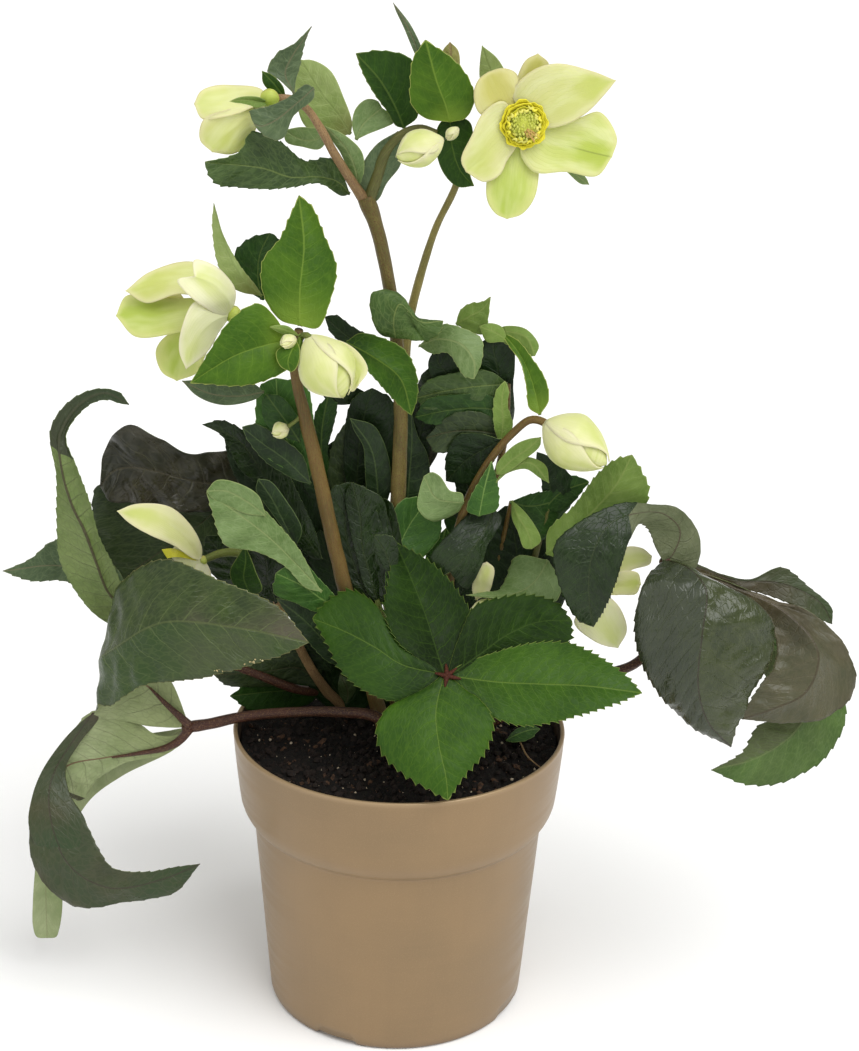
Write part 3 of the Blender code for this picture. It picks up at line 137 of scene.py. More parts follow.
class Nodes:
    """A small writer of material nodes."""

    def __init__(self, name, rough=0.5, spec=0.5, metal=0.0, coat=0.0, sheen=0.0,
                 sss=0.0, sss_scale=0.001, sss_radius=(1, 1, 0.5)):
        self.mat = bpy.data.materials.new(name)
        self.mat.use_nodes = True
        self.tree = self.mat.node_tree
        self.bsdf = self.tree.nodes["Principled BSDF"]
        put = self.bsdf.inputs
        put["Roughness"].default_value = rough
        put["Specular IOR Level"].default_value = spec
        put["Metallic"].default_value = metal
        put["Coat Weight"].default_value = coat
        put["Coat Roughness"].default_value = 0.25
        put["Sheen Weight"].default_value = sheen
        if sss:
            put["Subsurface Weight"].default_value = sss
            put["Subsurface Scale"].default_value = sss_scale
            put["Subsurface Radius"].default_value = sss_radius

    def new(self, kind, **props):
        node = self.tree.nodes.new(kind)
        for k, v in props.items():
            setattr(node, k, v)
        return node

    def plug(self, socket, value):
        if isinstance(value, bpy.types.NodeSocket):
            self.tree.links.new(value, socket)
        elif value is not None:
            socket.default_value = value

    def math(self, op, a, b=None, cc=None, clamp=False):
        node = self.new("ShaderNodeMath", operation=op, use_clamp=clamp)
        for s, v in zip(node.inputs, (a, b, cc)):
            self.plug(s, v)
        return node.outputs[0]

    def span(self, value, a, b, lo=0.0, hi=1.0, smooth=True):
        node = self.new("ShaderNodeMapRange",
                        interpolation_type='SMOOTHSTEP' if smooth else 'LINEAR')
        for s, v in zip(node.inputs, (value, a, b, lo, hi)):
            self.plug(s, v)
        return node.outputs[0]

    def mix(self, fac, a, b, blend='MIX'):
        node = self.new("ShaderNodeMix", data_type='RGBA', blend_type=blend)
        node.clamp_factor = True
        self.plug(node.inputs[0], fac)
        self.plug(node.inputs[6], a)
        self.plug(node.inputs[7], b)
        return node.outputs[2]

    def attr(self, name):
        node = self.new("ShaderNodeAttribute", attribute_name=name)
        split = self.new("ShaderNodeSeparateXYZ")
        self.tree.links.new(node.outputs["Vector"], split.inputs[0])
        return split.outputs[0], split.outputs[1], split.outputs[2]

    def place(self):
        return self.new("ShaderNodeTexCoord").outputs["Object"]

    def vec(self, x, y, z=0.0):
        node = self.new("ShaderNodeCombineXYZ")
        for s, v in zip(node.inputs, (x, y, z)):
            self.plug(s, v)
        return node.outputs[0]

    def noise(self, vector, scale, detail=3.0, rough=0.55):
        node = self.new("ShaderNodeTexNoise")
        self.plug(node.inputs["Vector"], vector)
        node.inputs["Scale"].default_value = scale
        node.inputs["Detail"].default_value = detail
        node.inputs["Roughness"].default_value = rough
        return node.outputs[0]

    def cells(self, vector, scale, feature='DISTANCE_TO_EDGE', rand=1.0):
        node = self.new("ShaderNodeTexVoronoi", feature=feature)
        self.plug(node.inputs["Vector"], vector)
        node.inputs["Scale"].default_value = scale
        node.inputs["Randomness"].default_value = rand
        return node.outputs["Distance"]

    def colour(self, value):
        self.plug(self.bsdf.inputs["Base Color"], value)

    def rough(self, value):
        self.plug(self.bsdf.inputs["Roughness"], value)

    def bump(self, height, strength, distance=0.001):
        node = self.new("ShaderNodeBump")
        node.inputs["Strength"].default_value = strength
        node.inputs["Distance"].default_value = distance
        self.plug(node.inputs["Height"], height)
        self.plug(self.bsdf.inputs["Normal"], node.outputs[0])


K1, K2 = 0.62, 0.016       # how side veins lean and curve towards the tip


def vein_phase(s, aw, right, pitch):
    return (s - aw * K1 - aw * aw * K2) / pitch + 0.5 * right


def leaf_look(name, base, shade, light, vein, rib, rough=0.4, spec=0.5, coat=0.0,
              pitch=7.0, vein_w=0.55, vein_amt=0.6, rib_w=0.7, net=0.25, net_size=2.2,
              relief=0.5, grain=0.14, edge=None, edge_amt=0.0, root=None, root_reach=0.3,
              tip=None, blotch=0.5, spots=None, sunk=True, fine=0.05, rib_amt=0.8, edge_w=0.42, patch=None, patch_amt=0.6, half_tint=None):
    """A blade's surface: green that varies, side veins that leave the midrib and
    lean to the tip, a net of small veins, a paler margin and a tinted root."""
    n = Nodes(name, rough=rough, spec=spec, coat=coat)
    s, w, t = n.attr("lf")
    f, rnd, half = n.attr("lg")
    where = n.place()
    aw = n.math('ABSOLUTE', w)
    at_ = n.math('ABSOLUTE', t)
    right = n.math('GREATER_THAN', w, 0.0)
    wob = n.math('MULTIPLY', n.math('SUBTRACT', n.noise(where, 120.0, 2.0), 0.5), 3.0)
    s0 = n.math('SUBTRACT', n.math('SUBTRACT', n.math('ADD', s, wob), n.math('MULTIPLY', aw, K1)),
                n.math('MULTIPLY', n.math('MULTIPLY', aw, aw), K2))
    ph = n.math('ADD', n.math('DIVIDE', s0, pitch), n.math('MULTIPLY', right, 0.5))
    gap = n.math('MULTIPLY', n.math('PINGPONG', ph, 0.5), pitch)
    width = n.math('MULTIPLY', n.math('SUBTRACT', 1.15, at_), vein_w)
    side = n.span(gap, n.math('MULTIPLY', width, 0.25), width, 1.0, 0.0)
    side = n.math('MULTIPLY', side, n.span(at_, 0.80, 0.97, 1.0, 0.15))
    ribm = n.span(aw, rib_w * 0.45, rib_w, 1.0, 0.0)
    grid = n.vec(n.math('MULTIPLY', s0, 0.8), aw, n.math('MULTIPLY', rnd, 20.0))
    cell = n.cells(grid, 1.0 / net_size)
    netm = n.span(cell, 0.02, 0.14, 1.0, 0.0)
    big = n.noise(where, 55.0, 3.0)
    small = n.noise(where, 420.0, 3.0, 0.65)
    col = n.mix(n.span(big, 0.35, 0.68), base, shade)
    col = n.mix(n.math('MULTIPLY', n.span(small, 0.45, 0.75), blotch * 0.5), col, light)
    # lighter beside the veins, deeper in the middle of each field between them
    col = n.mix(n.math('MULTIPLY', n.span(gap, 0.0, pitch * 0.5, 0.0, 1.0), 0.28), col, shade)
    if patch is not None:
        wide = n.noise(where, 21.0, 2.5, 0.5)
        col = n.mix(n.math('MULTIPLY', n.span(wide, 0.42, 0.6), patch_amt), col, patch)
    if half_tint is not None:
        tint, amount, way = half_tint
        part = n.span(n.math('ADD', n.math('MULTIPLY', w, way), wob), -1.0, 1.5)
        col = n.mix(n.math('MULTIPLY', part, amount), col, tint)
    if root is not None:
        col = n.mix(n.span(f, 0.0, root_reach, 0.85, 0.0), col, root)
    if tip is not None:
        col = n.mix(n.span(f, 0.55, 1.0, 0.0, 0.8), col, tip)
    col = n.mix(n.math('MULTIPLY', netm, net), col, vein)
    col = n.mix(n.math('MULTIPLY', side, vein_amt), col, vein)
    if edge is not None:
        line = n.math('MULTIPLY', n.span(n.math('MULTIPLY', n.math('SUBTRACT', 1.0, at_), half),
                                         edge_w * 0.2, edge_w, 1.0, 0.0), edge_amt)
        col = n.mix(line, col, edge)
    if spots is not None:
        dots = n.math('MULTIPLY', n.span(n.cells(where, 330.0, 'F1'), 0.10, 0.17, 1.0, 0.0),
                      n.span(n.noise(where, 90.0), 0.55, 0.66))
        col = n.mix(dots, col, spots)
    col = n.mix(n.math('MULTIPLY', ribm, rib_amt), col, rib)
    n.colour(col)
    n.rough(n.math('ADD', n.math('ADD', n.span(small, 0.3, 0.7, rough - 0.07, rough + 0.09),
                                 n.span(big, 0.35, 0.65, -0.06, 0.06)), n.math('MULTIPLY', side, 0.08)))
    sign = -1.0 if sunk else 0.8
    h = n.math('MULTIPLY', side, 0.9 * sign)
    h = n.math('ADD', h, n.math('MULTIPLY', netm, 0.35 * sign))
    h = n.math('ADD', h, n.math('MULTIPLY', ribm, 1.2 * sign))
    h = n.math('ADD', h, n.math('MULTIPLY', small, grain))
    h = n.math('ADD', h, n.math('MULTIPLY', n.noise(where, 1500.0, 2.0), fine))
    n.bump(h, relief, 0.0006)
    return n.mat


def sepal_look(name, base, flush, margin, pink, pink_amt=0.5, flush_reach=(0.0, 0.75),
               rough=0.5, sss=0.25, fold=None, pale=None):
    n = Nodes(name, rough=rough, spec=0.35, sss=sss, sss_scale=0.0025, sss_radius=(0.9, 1.0, 0.45))
    s, w, t = n.attr("lf")
    f, rnd, half = n.attr("lg")
    where = n.place()
    at_ = n.math('ABSOLUTE', t)
    aw = n.math('ABSOLUTE', w)
    big = n.noise(where, 90.0, 2.0)
    small = n.noise(where, 700.0, 3.0)
    # fine lengthwise veins that fan from the base
    fan = n.math('ADD', n.math('MULTIPLY', t, 9.0), n.math('MULTIPLY', n.noise(where, 160.0, 2.0), 1.6))
    vein = n.span(n.math('PINGPONG', fan, 0.5), 0.02, 0.16, 1.0, 0.0)
    vein = n.math('MULTIPLY', vein, n.span(f, 0.0, 0.9, 0.5, 0.12))
    mid = n.math('MULTIPLY', n.span(f, flush_reach[0], flush_reach[1], 0.15, 1.0),
                 n.span(n.math('ADD', at_, n.math('MULTIPLY', n.math('SUBTRACT', big, 0.5), 1.2)), 0.2, 0.95, 1.0, 0.15))
    col = n.mix(n.span(big, 0.3, 0.7, 0.0, 0.45), base, margin)
    col = n.mix(mid, col, flush)
    if pale is not None:
        soft = n.noise(n.vec(n.math('MULTIPLY', s, 0.05), n.math('MULTIPLY', w, 0.16), n.math('MULTIPLY', rnd, 30.0)), 1.0, 2.0)
        col = n.mix(n.math('MULTIPLY', n.span(soft, 0.36, 0.7), 0.55), col, pale)
    # A darker green line along the middle of the sepal: painted shade of a crease.
    if fold is not None:
        line = n.math('MULTIPLY', n.span(aw, 0.12, 0.55, 1.0, 0.0), n.span(f, 0.42, 0.7))
        col = n.mix(n.math('MULTIPLY', line, 0.7), col, fold)
    rim = n.span(n.math('MULTIPLY', n.math('SUBTRACT', 1.0, at_), half), 0.0, 3.2, 1.0, 0.0)
    col = n.mix(n.math('MULTIPLY', rim, 0.8), col, margin)
    rim2 = n.math('MULTIPLY', n.span(n.math('MULTIPLY', n.math('SUBTRACT', 1.0, at_), half), 0.0, 0.9, 1.0, 0.0),
                  n.span(big, 0.3, 0.6, 0.2, 1.0))
    col = n.mix(n.math('MULTIPLY', rim2, pink_amt), col, pink)
    col = n.mix(n.math('MULTIPLY', vein, 0.45), col, flush)
    n.colour(col)
    n.rough(n.span(small, 0.3, 0.7, rough - 0.06, rough + 0.08))
    h = n.math('ADD', n.math('MULTIPLY', vein, -0.8), n.math('MULTIPLY', small, 0.3))
    n.bump(h, 0.35, 0.0005)
    return n.mat


def stalk_look(name, base, other, speck, streak, rough=0.45, speck_amt=0.7):
    n = Nodes(name, rough=rough, spec=0.28)
    s, w, t = n.attr("lf")
    where = n.place()
    longs = n.vec(n.math('MULTIPLY', s, 0.06), n.math('MULTIPLY', w, 1.6), 0.0)
    grain = n.noise(longs, 2.2, 4.0, 0.6)
    big = n.noise(where, 40.0, 3.0)
    fine = n.noise(n.vec(n.math('MULTIPLY', s, 0.5), w, 3.0), 2.6, 3.0, 0.7)
    dots = n.span(fine, 0.52, 0.6)
    col = n.mix(n.span(big, 0.36, 0.64), base, other)
    col = n.mix(n.math('MULTIPLY', n.span(grain, 0.45, 0.7), 0.6), col, streak)
    col = n.mix(n.math('MULTIPLY', dots, speck_amt), col, speck)
    n.colour(col)
    n.rough(n.span(grain, 0.3, 0.7, rough - 0.08, rough + 0.1))
    h = n.math('ADD', n.math('MULTIPLY', grain, 1.0), n.math('MULTIPLY', fine, 0.5))
    n.bump(h, 0.35, 0.0006)
    return n.mat


# ------------------------------------------------------------------ meshes
PIECES = []


def finish_piece(name, verts, faces, mats, node=(), face_mat=None,
                 attrs=None, smooth=True, sharp=None):
    """A mesh piece from millimetre vertices, riding on the plant's one body."""
    me = bpy.data.meshes.new(name)
    me.from_pydata([tuple(v) for v in np.asarray(verts) * 0.001], [], faces)
    for key, values in (attrs or {}).items():
        layer = me.attributes.new(key, 'FLOAT_VECTOR', 'POINT')
        layer.data.foreach_set("vector", np.asarray(values, np.float32).ravel())
    for m in mats:
        me.materials.append(m)
    if face_mat is not None:
        me.polygons.foreach_set("material_index", np.asarray(face_mat, np.int32))
    if smooth:
        me.shade_smooth()
    if sharp:
        me.set_sharp_from_angle(angle=radians(sharp))
    me.update()
    ob = bpy.data.objects.new(name, me)
    bpy.context.scene.collection.objects.link(ob)
    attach(ob, "root")
    node = (node,) if isinstance(node, str) else tuple(node)
    if node:
        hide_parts(*node)
    PIECES.append(ob)
    return ob


def read(points, plane):
    return [at(*p) if plane is None else plane.at(p[0], p[1], p[2] if len(p) > 2 else 0.0)
            for p in points]


def edge_curve(mid, edge, plane, n, drop):
    full = [mid[0]] + list(edge) + [mid[-1]]
    count = len(full) - 1
    pts = []
    for k, p in enumerate(full):
        if len(p) == 3:
            val = p[2]
        else:
            s = k / count * (len(mid) - 1)
            i = min(int(s), len(mid) - 2)
            val = mid[i][2] + (mid[i + 1][2] - mid[i][2]) * (s - i)
            val += drop * sin(pi * k / count)
        pts.append(at(p[0], p[1], val) if plane is None else plane.at(p[0], p[1], val))
    return resample(pts, n)


T_FULL = (0.0, 0.045, 0.12, 0.22, 0.34, 0.47, 0.60, 0.72, 0.83, 0.925, 1.0)
T_SMALL = (0.0, 0.07, 0.2, 0.38, 0.58, 0.78, 0.92, 1.0)


def blade(name, node, looks, mid, a, b, plane=None, da=0.0, db=0.0, cup=0.0,
          teeth=None, wave=None, pucker=0.0, crumple=0.0, thick=0.42, rib=0.5,
          shows=1, ref=0.5, seed=1, slot="old_leaf_dark_green", step=0.95, pitch=7.0,
          base_w=0.55, flip_at=None, flip_from=None, bow=0.0, tooth_from=0.12):
    """A closed leaf blade between two edges, with teeth, waves and sunken veins.

    looks: (upper surface, underside). shows: 1 if the upper surface faces the
    front at the fraction ref of the way along, -1 if the underside does."""
    rng = random.Random(seed * 7 + 3)
    mid_raw = resample(read(mid, plane), 40)
    span_mm = length_of(mid_raw)
    if teeth:
        count = max(3, int(round(span_mm / teeth[0])))
        per = max(4, int(round(teeth[0] / step)))
        n = count * per
    else:
        n = max(14, int(round(span_mm / step)))
        per = n
    M = resample(read(mid, plane), n)
    A = edge_curve(mid, a, plane, n, da)
    B = edge_curve(mid, b, plane, n, db)
    i = np.arange(n + 1)
    f = i / n
    VA, VB = A - M, B - M
    # the blade keeps a little width where it leaves its stalk
    side = A - B
    side[0], side[-1] = side[1], side[-2]
    side = side / np.maximum(np.linalg.norm(side, axis=1, keepdims=True), 1e-6)
    la, lb = np.linalg.norm(VA, axis=1), np.linalg.norm(VB, axis=1)
    root_w = base_w * np.clip(1 - f / 0.06, 0, 1) + 0.12
    for V, l, sg in ((VA, la, 1.0), (VB, lb, -1.0)):
        thin = l < root_w
        V[thin] = side[thin] * sg * root_w[thin, None]
    la, lb = np.linalg.norm(VA, axis=1), np.linalg.norm(VB, axis=1)
    along = np.gradient(M, axis=0)
    along /= np.maximum(np.linalg.norm(along, axis=1, keepdims=True), 1e-6)
    nrm = np.cross(side, along)
    nrm /= np.maximum(np.linalg.norm(nrm, axis=1, keepdims=True), 1e-6)
    ts = T_FULL if max(la.max(), lb.max()) > 9 else T_SMALL
    T = np.array([-x for x in ts[:0:-1]] + list(ts))
    C = len(T)
    run = np.concatenate([[0], np.cumsum(np.linalg.norm(np.diff(M, axis=0), axis=1))])
    S = np.repeat(run[:, None], C, axis=1)
    right = (T > 0)
    L = np.where(right[None, :], la[:, None], lb[:, None])
    W = T[None, :] * L
    P = M[:, None, :] + np.abs(T)[None, :, None] * np.where(
        right[None, :, None], VA[:, None, :], VB[:, None, :])
    aw = np.abs(W)
    at_ = np.abs(T)[None, :] * np.ones((n + 1, 1))
    # out of plane: cupping, side-vein quilting, waves and crumpling
    ends = np.clip(np.sin(pi * np.clip(f, 0.02, 0.98)), 0, 1)[:, None]
    lift = cup * np.sin(pi * at_) * ends
    lift = lift + bow * (1 - at_ ** 2) * ends
    ph = vein_phase(S, aw, right[None, :] * 1.0, pitch)
    quilt = 0.5 - 0.5 * np.cos(2 * pi * ph)
    room = np.clip(L / 10.0, 0.15, 1.0)
    lift = lift + pucker * (quilt - 0.4) * np.sin(pi * np.clip(at_, 0, 1) ** 0.8) * room * ends ** 0.5
    lift = lift - rib * 0.35 * np.exp(-(aw / 0.9) ** 2) * (1 - 0.7 * f[:, None])
    if crumple:
        lift = lift + crumple * room * ripples(S, W + 60 * seed, seed, 17.0) * np.clip(at_ * 2.2, 0.15, 1)
        lift = lift + crumple * 0.16 * room * ripples(S, W, seed + 5, 6.5) * np.clip(at_ * 2, 0.1, 1)
    if wave:
        amp, turns, phase = wave
        for sgn, col in ((1, T > 0), (-1, T < 0)):
            wv = amp * np.sin(2 * pi * turns * f + phase + (0.9 if sgn < 0 else 0.0))[:, None]
            lift = lift + wv * (at_ ** 2.5) * room * ends * col[None, :]
    P = P + nrm[:, None, :] * lift[:, :, None]
    # teeth
    if teeth:
        amp = teeth[1]
        u = (i % per) / per
        k = i // per
        size = np.array([rng.uniform(0.6, 1.25) for _ in range(n // per + 2)])
        out = (u ** 1.6 - 0.38) * amp * size[k]
        fade = np.clip((f - tooth_from) / 0.12, 0, 1) * np.clip((1.0 - f) / 0.04, 0, 1)
        out = out * fade
        fwd = u * amp * 0.75 * size[k] * fade
        for j in range(C):
            wgt = 1.0 if abs(T[j]) > 0.999 else (0.35 if abs(T[j]) > 0.9 else 0.0)
            if wgt:
                V = VA if T[j] > 0 else VB
                ln = np.maximum(np.linalg.norm(V, axis=1, keepdims=True), 1e-6)
                reach = np.minimum(out, 3.0) * np.clip(ln[:, 0] / 4.0, 0, 1)
                P[:, j] += V / ln * (reach * wgt)[:, None] + along * (fwd * wgt)[:, None]
    # the two faces
    dn = np.cross(np.gradient(P, axis=1), np.gradient(P, axis=0))
    ln = np.linalg.norm(dn, axis=2, keepdims=True)
    dn = np.where(ln > 1e-7, dn / np.maximum(ln, 1e-7), nrm[:, None, :])
    # smooth the normals so that teeth don't fold the underside
    for j in (0, 1, C - 2, C - 1):
        dn[:, j] = dn[:, 2 if j < 2 else C - 3]
    row = int(round(ref * n))
    lo, hi = max(0, row - max(1, n // 6)), min(n, row + max(1, n // 6)) + 1
    toward = ((EYE - P[lo:hi]) * dn[lo:hi]).sum(axis=2)
    up = 1.0 if (toward > 0).mean() >= 0.5 else -1.0
    up *= shows
    keel = rib * np.exp(-(aw / 0.8) ** 2) * (1.0 - 0.75 * f[:, None]) * np.clip(L / 2.5, 0.2, 1)
    half_t = thick / 2 * (1 - 0.45 * at_ ** 6)
    top = P + dn * (up * half_t)[:, :, None]
    bot = P - dn * (up * (half_t + keel))[:, :, None]
    R = n + 1
    verts = np.concatenate([top.reshape(-1, 3), bot.reshape(-1, 3)])
    ids = np.arange(R * C).reshape(R, C)
    faces, fm = [], []
    for r in range(n):
        for q in range(C - 1):
            w0, w1, w2, w3 = ids[r, q], ids[r, q + 1], ids[r + 1, q + 1], ids[r + 1, q]
            o = R * C
            if up > 0:
                faces.append((int(w0), int(w1), int(w2), int(w3)))
                faces.append((int(w0 + o), int(w3 + o), int(w2 + o), int(w1 + o)))
            else:
                faces.append((int(w0), int(w3), int(w2), int(w1)))
                faces.append((int(w0 + o), int(w1 + o), int(w2 + o), int(w3 + o)))
            swap = ((flip_at is not None and f[r] < flip_at)
                    or (flip_from is not None and f[r] >= flip_from))
            fm += [1, 0] if swap else [0, 1]
    o = R * C
    loop = ([(r, 0) for r in range(R)] + [(n, q) for q in range(1, C)]
            + [(r, C - 1) for r in range(n - 1, -1, -1)] + [(0, q) for q in range(C - 2, 0, -1)])
    for x, y in zip(loop, loop[1:] + loop[:1]):
        v0, v1 = int(ids[x]), int(ids[y])
        faces.append((v0, v1, v1 + o, v0 + o) if up > 0 else (v1, v0, v0 + o, v1 + o))
        fm.append(1)
    rnd = rng.random()
    lf = np.stack([S, W, np.repeat(T[None, :], R, 0)], axis=2).reshape(-1, 3)
    lg = np.stack([np.repeat(f[:, None], C, 1), np.full((R, C), rnd), L], axis=2).reshape(-1, 3)
    return finish_piece(name, verts, faces, looks, node, fm,
                        {"lf": np.concatenate([lf, lf]), "lg": np.concatenate([lg, lg])})


def stalk(name, node, look, pts, radii, sides=18, step=1.6,
          seed=1, uneven=0.05, swell=(), ribs=0.02):
    """A stalk along a curve: slightly uneven, with swollen places (fraction,
    extra radius, reach) and closed ends."""
    line = resample(pts, max(8, int(length_of(resample(pts, 30)) / step)))
    n = len(line) - 1
    f = np.arange(n + 1) / n
    run = np.concatenate([[0], np.cumsum(np.linalg.norm(np.diff(line, axis=0), axis=1))])
    r = np.interp(f * (len(radii) - 1), range(len(radii)), radii)
    for where, extra, reach in swell:
        r = r + extra * np.exp(-((f - where) / reach) ** 2)
    rings, attr = [], []
    side = unit(np.cross(unit(line[1] - line[0]), np.array((0, -1, 0.2))))
    ang = 2 * pi * np.arange(sides) / sides
    for i in range(n + 1):
        t = unit(line[min(i + 1, n)] - line[max(i - 1, 0)])
        side = unit(side - t * np.dot(side, t))
        other = np.cross(t, side)
        rr = r[i] * (1 + uneven * ripples(np.full(sides, run[i]), 12 * np.cos(ang), seed, 16.0) / 2
                     + ribs * np.cos(ang * 5 + run[i] * 0.02))
        rings.append(line[i] + side * (rr * np.cos(ang))[:, None] + other * (rr * np.sin(ang))[:, None])
        attr += [(run[i], x * r[i], 0.0) for x in ang]
    verts = np.concatenate(rings + [line[:1], line[-1:]])
    attr += [(0, 0, 0), (run[-1], 0, 0)]
    faces = []
    for i in range(n):
        for q in range(sides):
            w = (q + 1) % sides
            faces.append((i * sides + q, i * sides + w, (i + 1) * sides + w, (i + 1) * sides + q))
    a, b = (n + 1) * sides, (n + 1) * sides + 1
    for q in range(sides):
        w = (q + 1) % sides
        faces.append((a, w, q))
        faces.append((b, n * sides + q, n * sides + w))
    return finish_piece(name, verts, faces, [look], node,
                        attrs={"lf": attr, "lg": [(0.5, 0.3, 3.0)] * len(attr)})


def profile_r(t, radius, fat, power=0.75):
    w = np.where(t < fat, t / (2 * fat), 0.5 + (t - fat) / (2 * (1 - fat)))
    return radius * np.sin(pi * np.clip(w, 0, 1)) ** power


def axes_of(a, b):
    axis = unit(b - a)
    side = unit(np.cross(axis, np.array((0.0, -1.0, 0.15))))
    return axis, side, np.cross(axis, side)


def pod(name, node, look, a, b, radius, fat=0.45, sides=28, rings=22,
        flat=1.0, lumps=0.03, seed=1, power=0.75):
    """A closed rounded body from a to b, slightly uneven."""
    a, b = np.array(a, float), np.array(b, float)
    axis, side, other = axes_of(a, b)
    ln = np.linalg.norm(b - a)
    verts, attr = [a], [(0, 0, 0)]
    ang = 2 * pi * np.arange(sides) / sides
    for i in range(1, rings):
        t = i / rings
        r = float(profile_r(np.array(t), radius, fat, power))
        rr = r * (1 + lumps * ripples(8 * np.cos(ang), 8 * np.sin(ang) + 9 * t, seed, 9.0))
        verts += list(a + axis * ln * t + side * (rr * np.cos(ang))[:, None]
                      + other * (rr * flat * np.sin(ang))[:, None])
        attr += [(ln * t, x * r, (x / pi) - 1) for x in ang]
    verts.append(b)
    attr.append((ln, 0, 0))
    faces = []
    for q in range(sides):
        w = (q + 1) % sides
        faces.append((0, 1 + w, 1 + q))
        k = 1 + (rings - 2) * sides
        faces.append((len(verts) - 1, k + q, k + w))
    for i in range(rings - 2):
        for q in range(sides):
            w = (q + 1) % sides
            x = 1 + i * sides
            faces.append((x + q, x + w, x + sides + w, x + sides + q))
    g = [(p[0] / max(ln, 1e-6), 0.4, radius) for p in attr]
    return finish_piece(name, np.array(verts), faces, [look], node,
                        attrs={"lf": attr, "lg": g})


def petal_shell(name, node, look, a, b, radius, fat, turn, spread, lift=0.35, u0=0.0, u1=1.0,
                thick=0.5, rows=26, cols=16, flare=0.0, seed=1,
                point=0.55, power=0.75, edge_lift=0.5, curl=0.0):
    """One overlapping sepal of a bud: a patch of the bud's own surface."""
    a, b = np.array(a, float), np.array(b, float)
    axis, side, other = axes_of(a, b)
    ln = np.linalg.norm(b - a)
    u = np.linspace(u0, u1, rows + 1)
    v = np.linspace(-1, 1, cols + 1)
    U, V = np.meshgrid(u, v, indexing='ij')
    x = (U - u0) / (u1 - u0)
    wide = np.clip(np.sin(pi * (0.10 + 0.90 * x) ** point), 0.0, 1) ** 0.6
    wide = np.maximum(wide, 0.04)
    th = radians(turn) + V * radians(spread) * wide
    r = profile_r(np.clip(U, 0.004, 0.996), radius, fat, power)
    r = r + lift + edge_lift * np.abs(V) ** 4 * np.sin(pi * np.clip(x, 0, 1)) + flare * x ** 3
    r = r * (1 + 0.02 * ripples(U * 20, V * 8, seed, 9.0))
    P = (a + axis * (ln * U)[:, :, None] + side * (r * np.cos(th))[:, :, None]
         + other * (r * np.sin(th))[:, :, None])
    if curl:
        P = P + axis * (curl * x ** 4)[:, :, None]
    return sheet_piece(name, node, [look], P, thick, V, x, r, outward=a + (b - a) * 0.5)


def sheet_piece(name, node, looks, P, thick, T, F, HALF, outward=None):
    """A closed sheet of even thickness over a grid of places."""
    dn = np.cross(np.gradient(P, axis=1), np.gradient(P, axis=0))
    dn /= np.maximum(np.linalg.norm(dn, axis=2, keepdims=True), 1e-7)
    if outward is not None:
        if ((P - outward) * dn).sum() < 0:
            dn, flip = -dn, True
        else:
            flip = False
    else:
        flip = False
    R, C = P.shape[:2]
    edge = (1 - 0.5 * np.abs(T) ** 6)
    top = P + dn * (thick / 2 * edge)[:, :, None]
    bot = P - dn * (thick / 2 * edge)[:, :, None]
    verts = np.concatenate([top.reshape(-1, 3), bot.reshape(-1, 3)])
    ids = np.arange(R * C).reshape(R, C)
    o = R * C
    faces, fm = [], []
    two = len(looks) > 1
    for r in range(R - 1):
        for q in range(C - 1):
            w = [int(ids[r, q]), int(ids[r, q + 1]), int(ids[r + 1, q + 1]), int(ids[r + 1, q])]
            if flip:
                w = w[::-1]
            faces.append(tuple(w))
            faces.append(tuple(x + o for x in w[::-1]))
            fm += [0, 1 if two else 0]
    loop = ([(r, 0) for r in range(R)] + [(R - 1, q) for q in range(1, C)]
            + [(r, C - 1) for r in range(R - 2, -1, -1)] + [(0, q) for q in range(C - 2, 0, -1)])
    for x, y in zip(loop, loop[1:] + loop[:1]):
        v0, v1 = int(ids[x]), int(ids[y])
        faces.append((v1, v0, v0 + o, v1 + o) if flip else (v0, v1, v1 + o, v0 + o))
        fm.append(0)
    run = np.concatenate([np.zeros((1, C)), np.cumsum(np.linalg.norm(np.diff(P, axis=0), axis=2), axis=0)])
    lf = np.stack([run, T * HALF, T], axis=2).reshape(-1, 3)
    lg = np.stack([F, np.full((R, C), 0.4), HALF * np.ones((R, C))], axis=2).reshape(-1, 3)
    return finish_piece(name, verts, faces, looks, node, fm,
                        {"lf": np.concatenate([lf, lf]), "lg": np.concatenate([lg, lg])})


FRONT_TOP = leaf_look("front_leaf_green", c(52, 84, 12), c(38, 68, 9), c(70, 102, 22), c(86, 116, 34),
                      c(100, 122, 46), rough=0.5, pitch=6.2, vein_w=0.3, vein_amt=0.32, net=0.12,
                      rib_w=0.3, rib_amt=0.5, relief=0.36, edge=c(140, 152, 74), edge_amt=0.45, tip=c(46, 78, 12),
                      root=c(24, 46, 9), root_reach=0.35, spec=0.16)
# A copy of the front leaf's green with darker colours: painted shade on the leaflet that turns away from the light.
FRONT_HALF_SHADED = leaf_look("front_leaf_green_painted_half_shade", c(38, 66, 10), c(27, 52, 7), c(56, 86, 18), c(72, 100, 30),
                      c(86, 108, 40), rough=0.5, pitch=6.2, vein_w=0.3, vein_amt=0.32, net=0.12,
                      rib_w=0.34, rib_amt=0.55, relief=0.34, edge=c(128, 142, 70), edge_amt=0.42, tip=c(44, 74, 12),
                      root=c(20, 38, 8), root_reach=0.45, spec=0.16)
# A copy of the front leaf's green, darker still: painted shade on the upper leaflets, darkest towards the hub.
FRONT_SHADED = leaf_look("front_leaf_green_painted_shade", c(32, 56, 9), c(20, 40, 6), c(46, 72, 15), c(60, 86, 26),
                       c(56, 78, 24), rough=0.55, pitch=6.2, vein_w=0.32, vein_amt=0.36, net=0.12,
                       rib_w=0.32, relief=0.36, edge=c(112, 130, 58), edge_amt=0.4, spec=0.1, root=c(12, 24, 5), root_reach=0.8, rib_amt=0.4)
YOUNG_UNDER = leaf_look("young_leaf_underside", c(110, 138, 72), c(90, 120, 56), c(138, 160, 98),
                        c(152, 170, 112), c(160, 172, 122), rough=0.6, spec=0.35, pitch=6.2, vein_w=0.5,
                        vein_amt=0.6, net=0.3, relief=0.5, sunk=False)
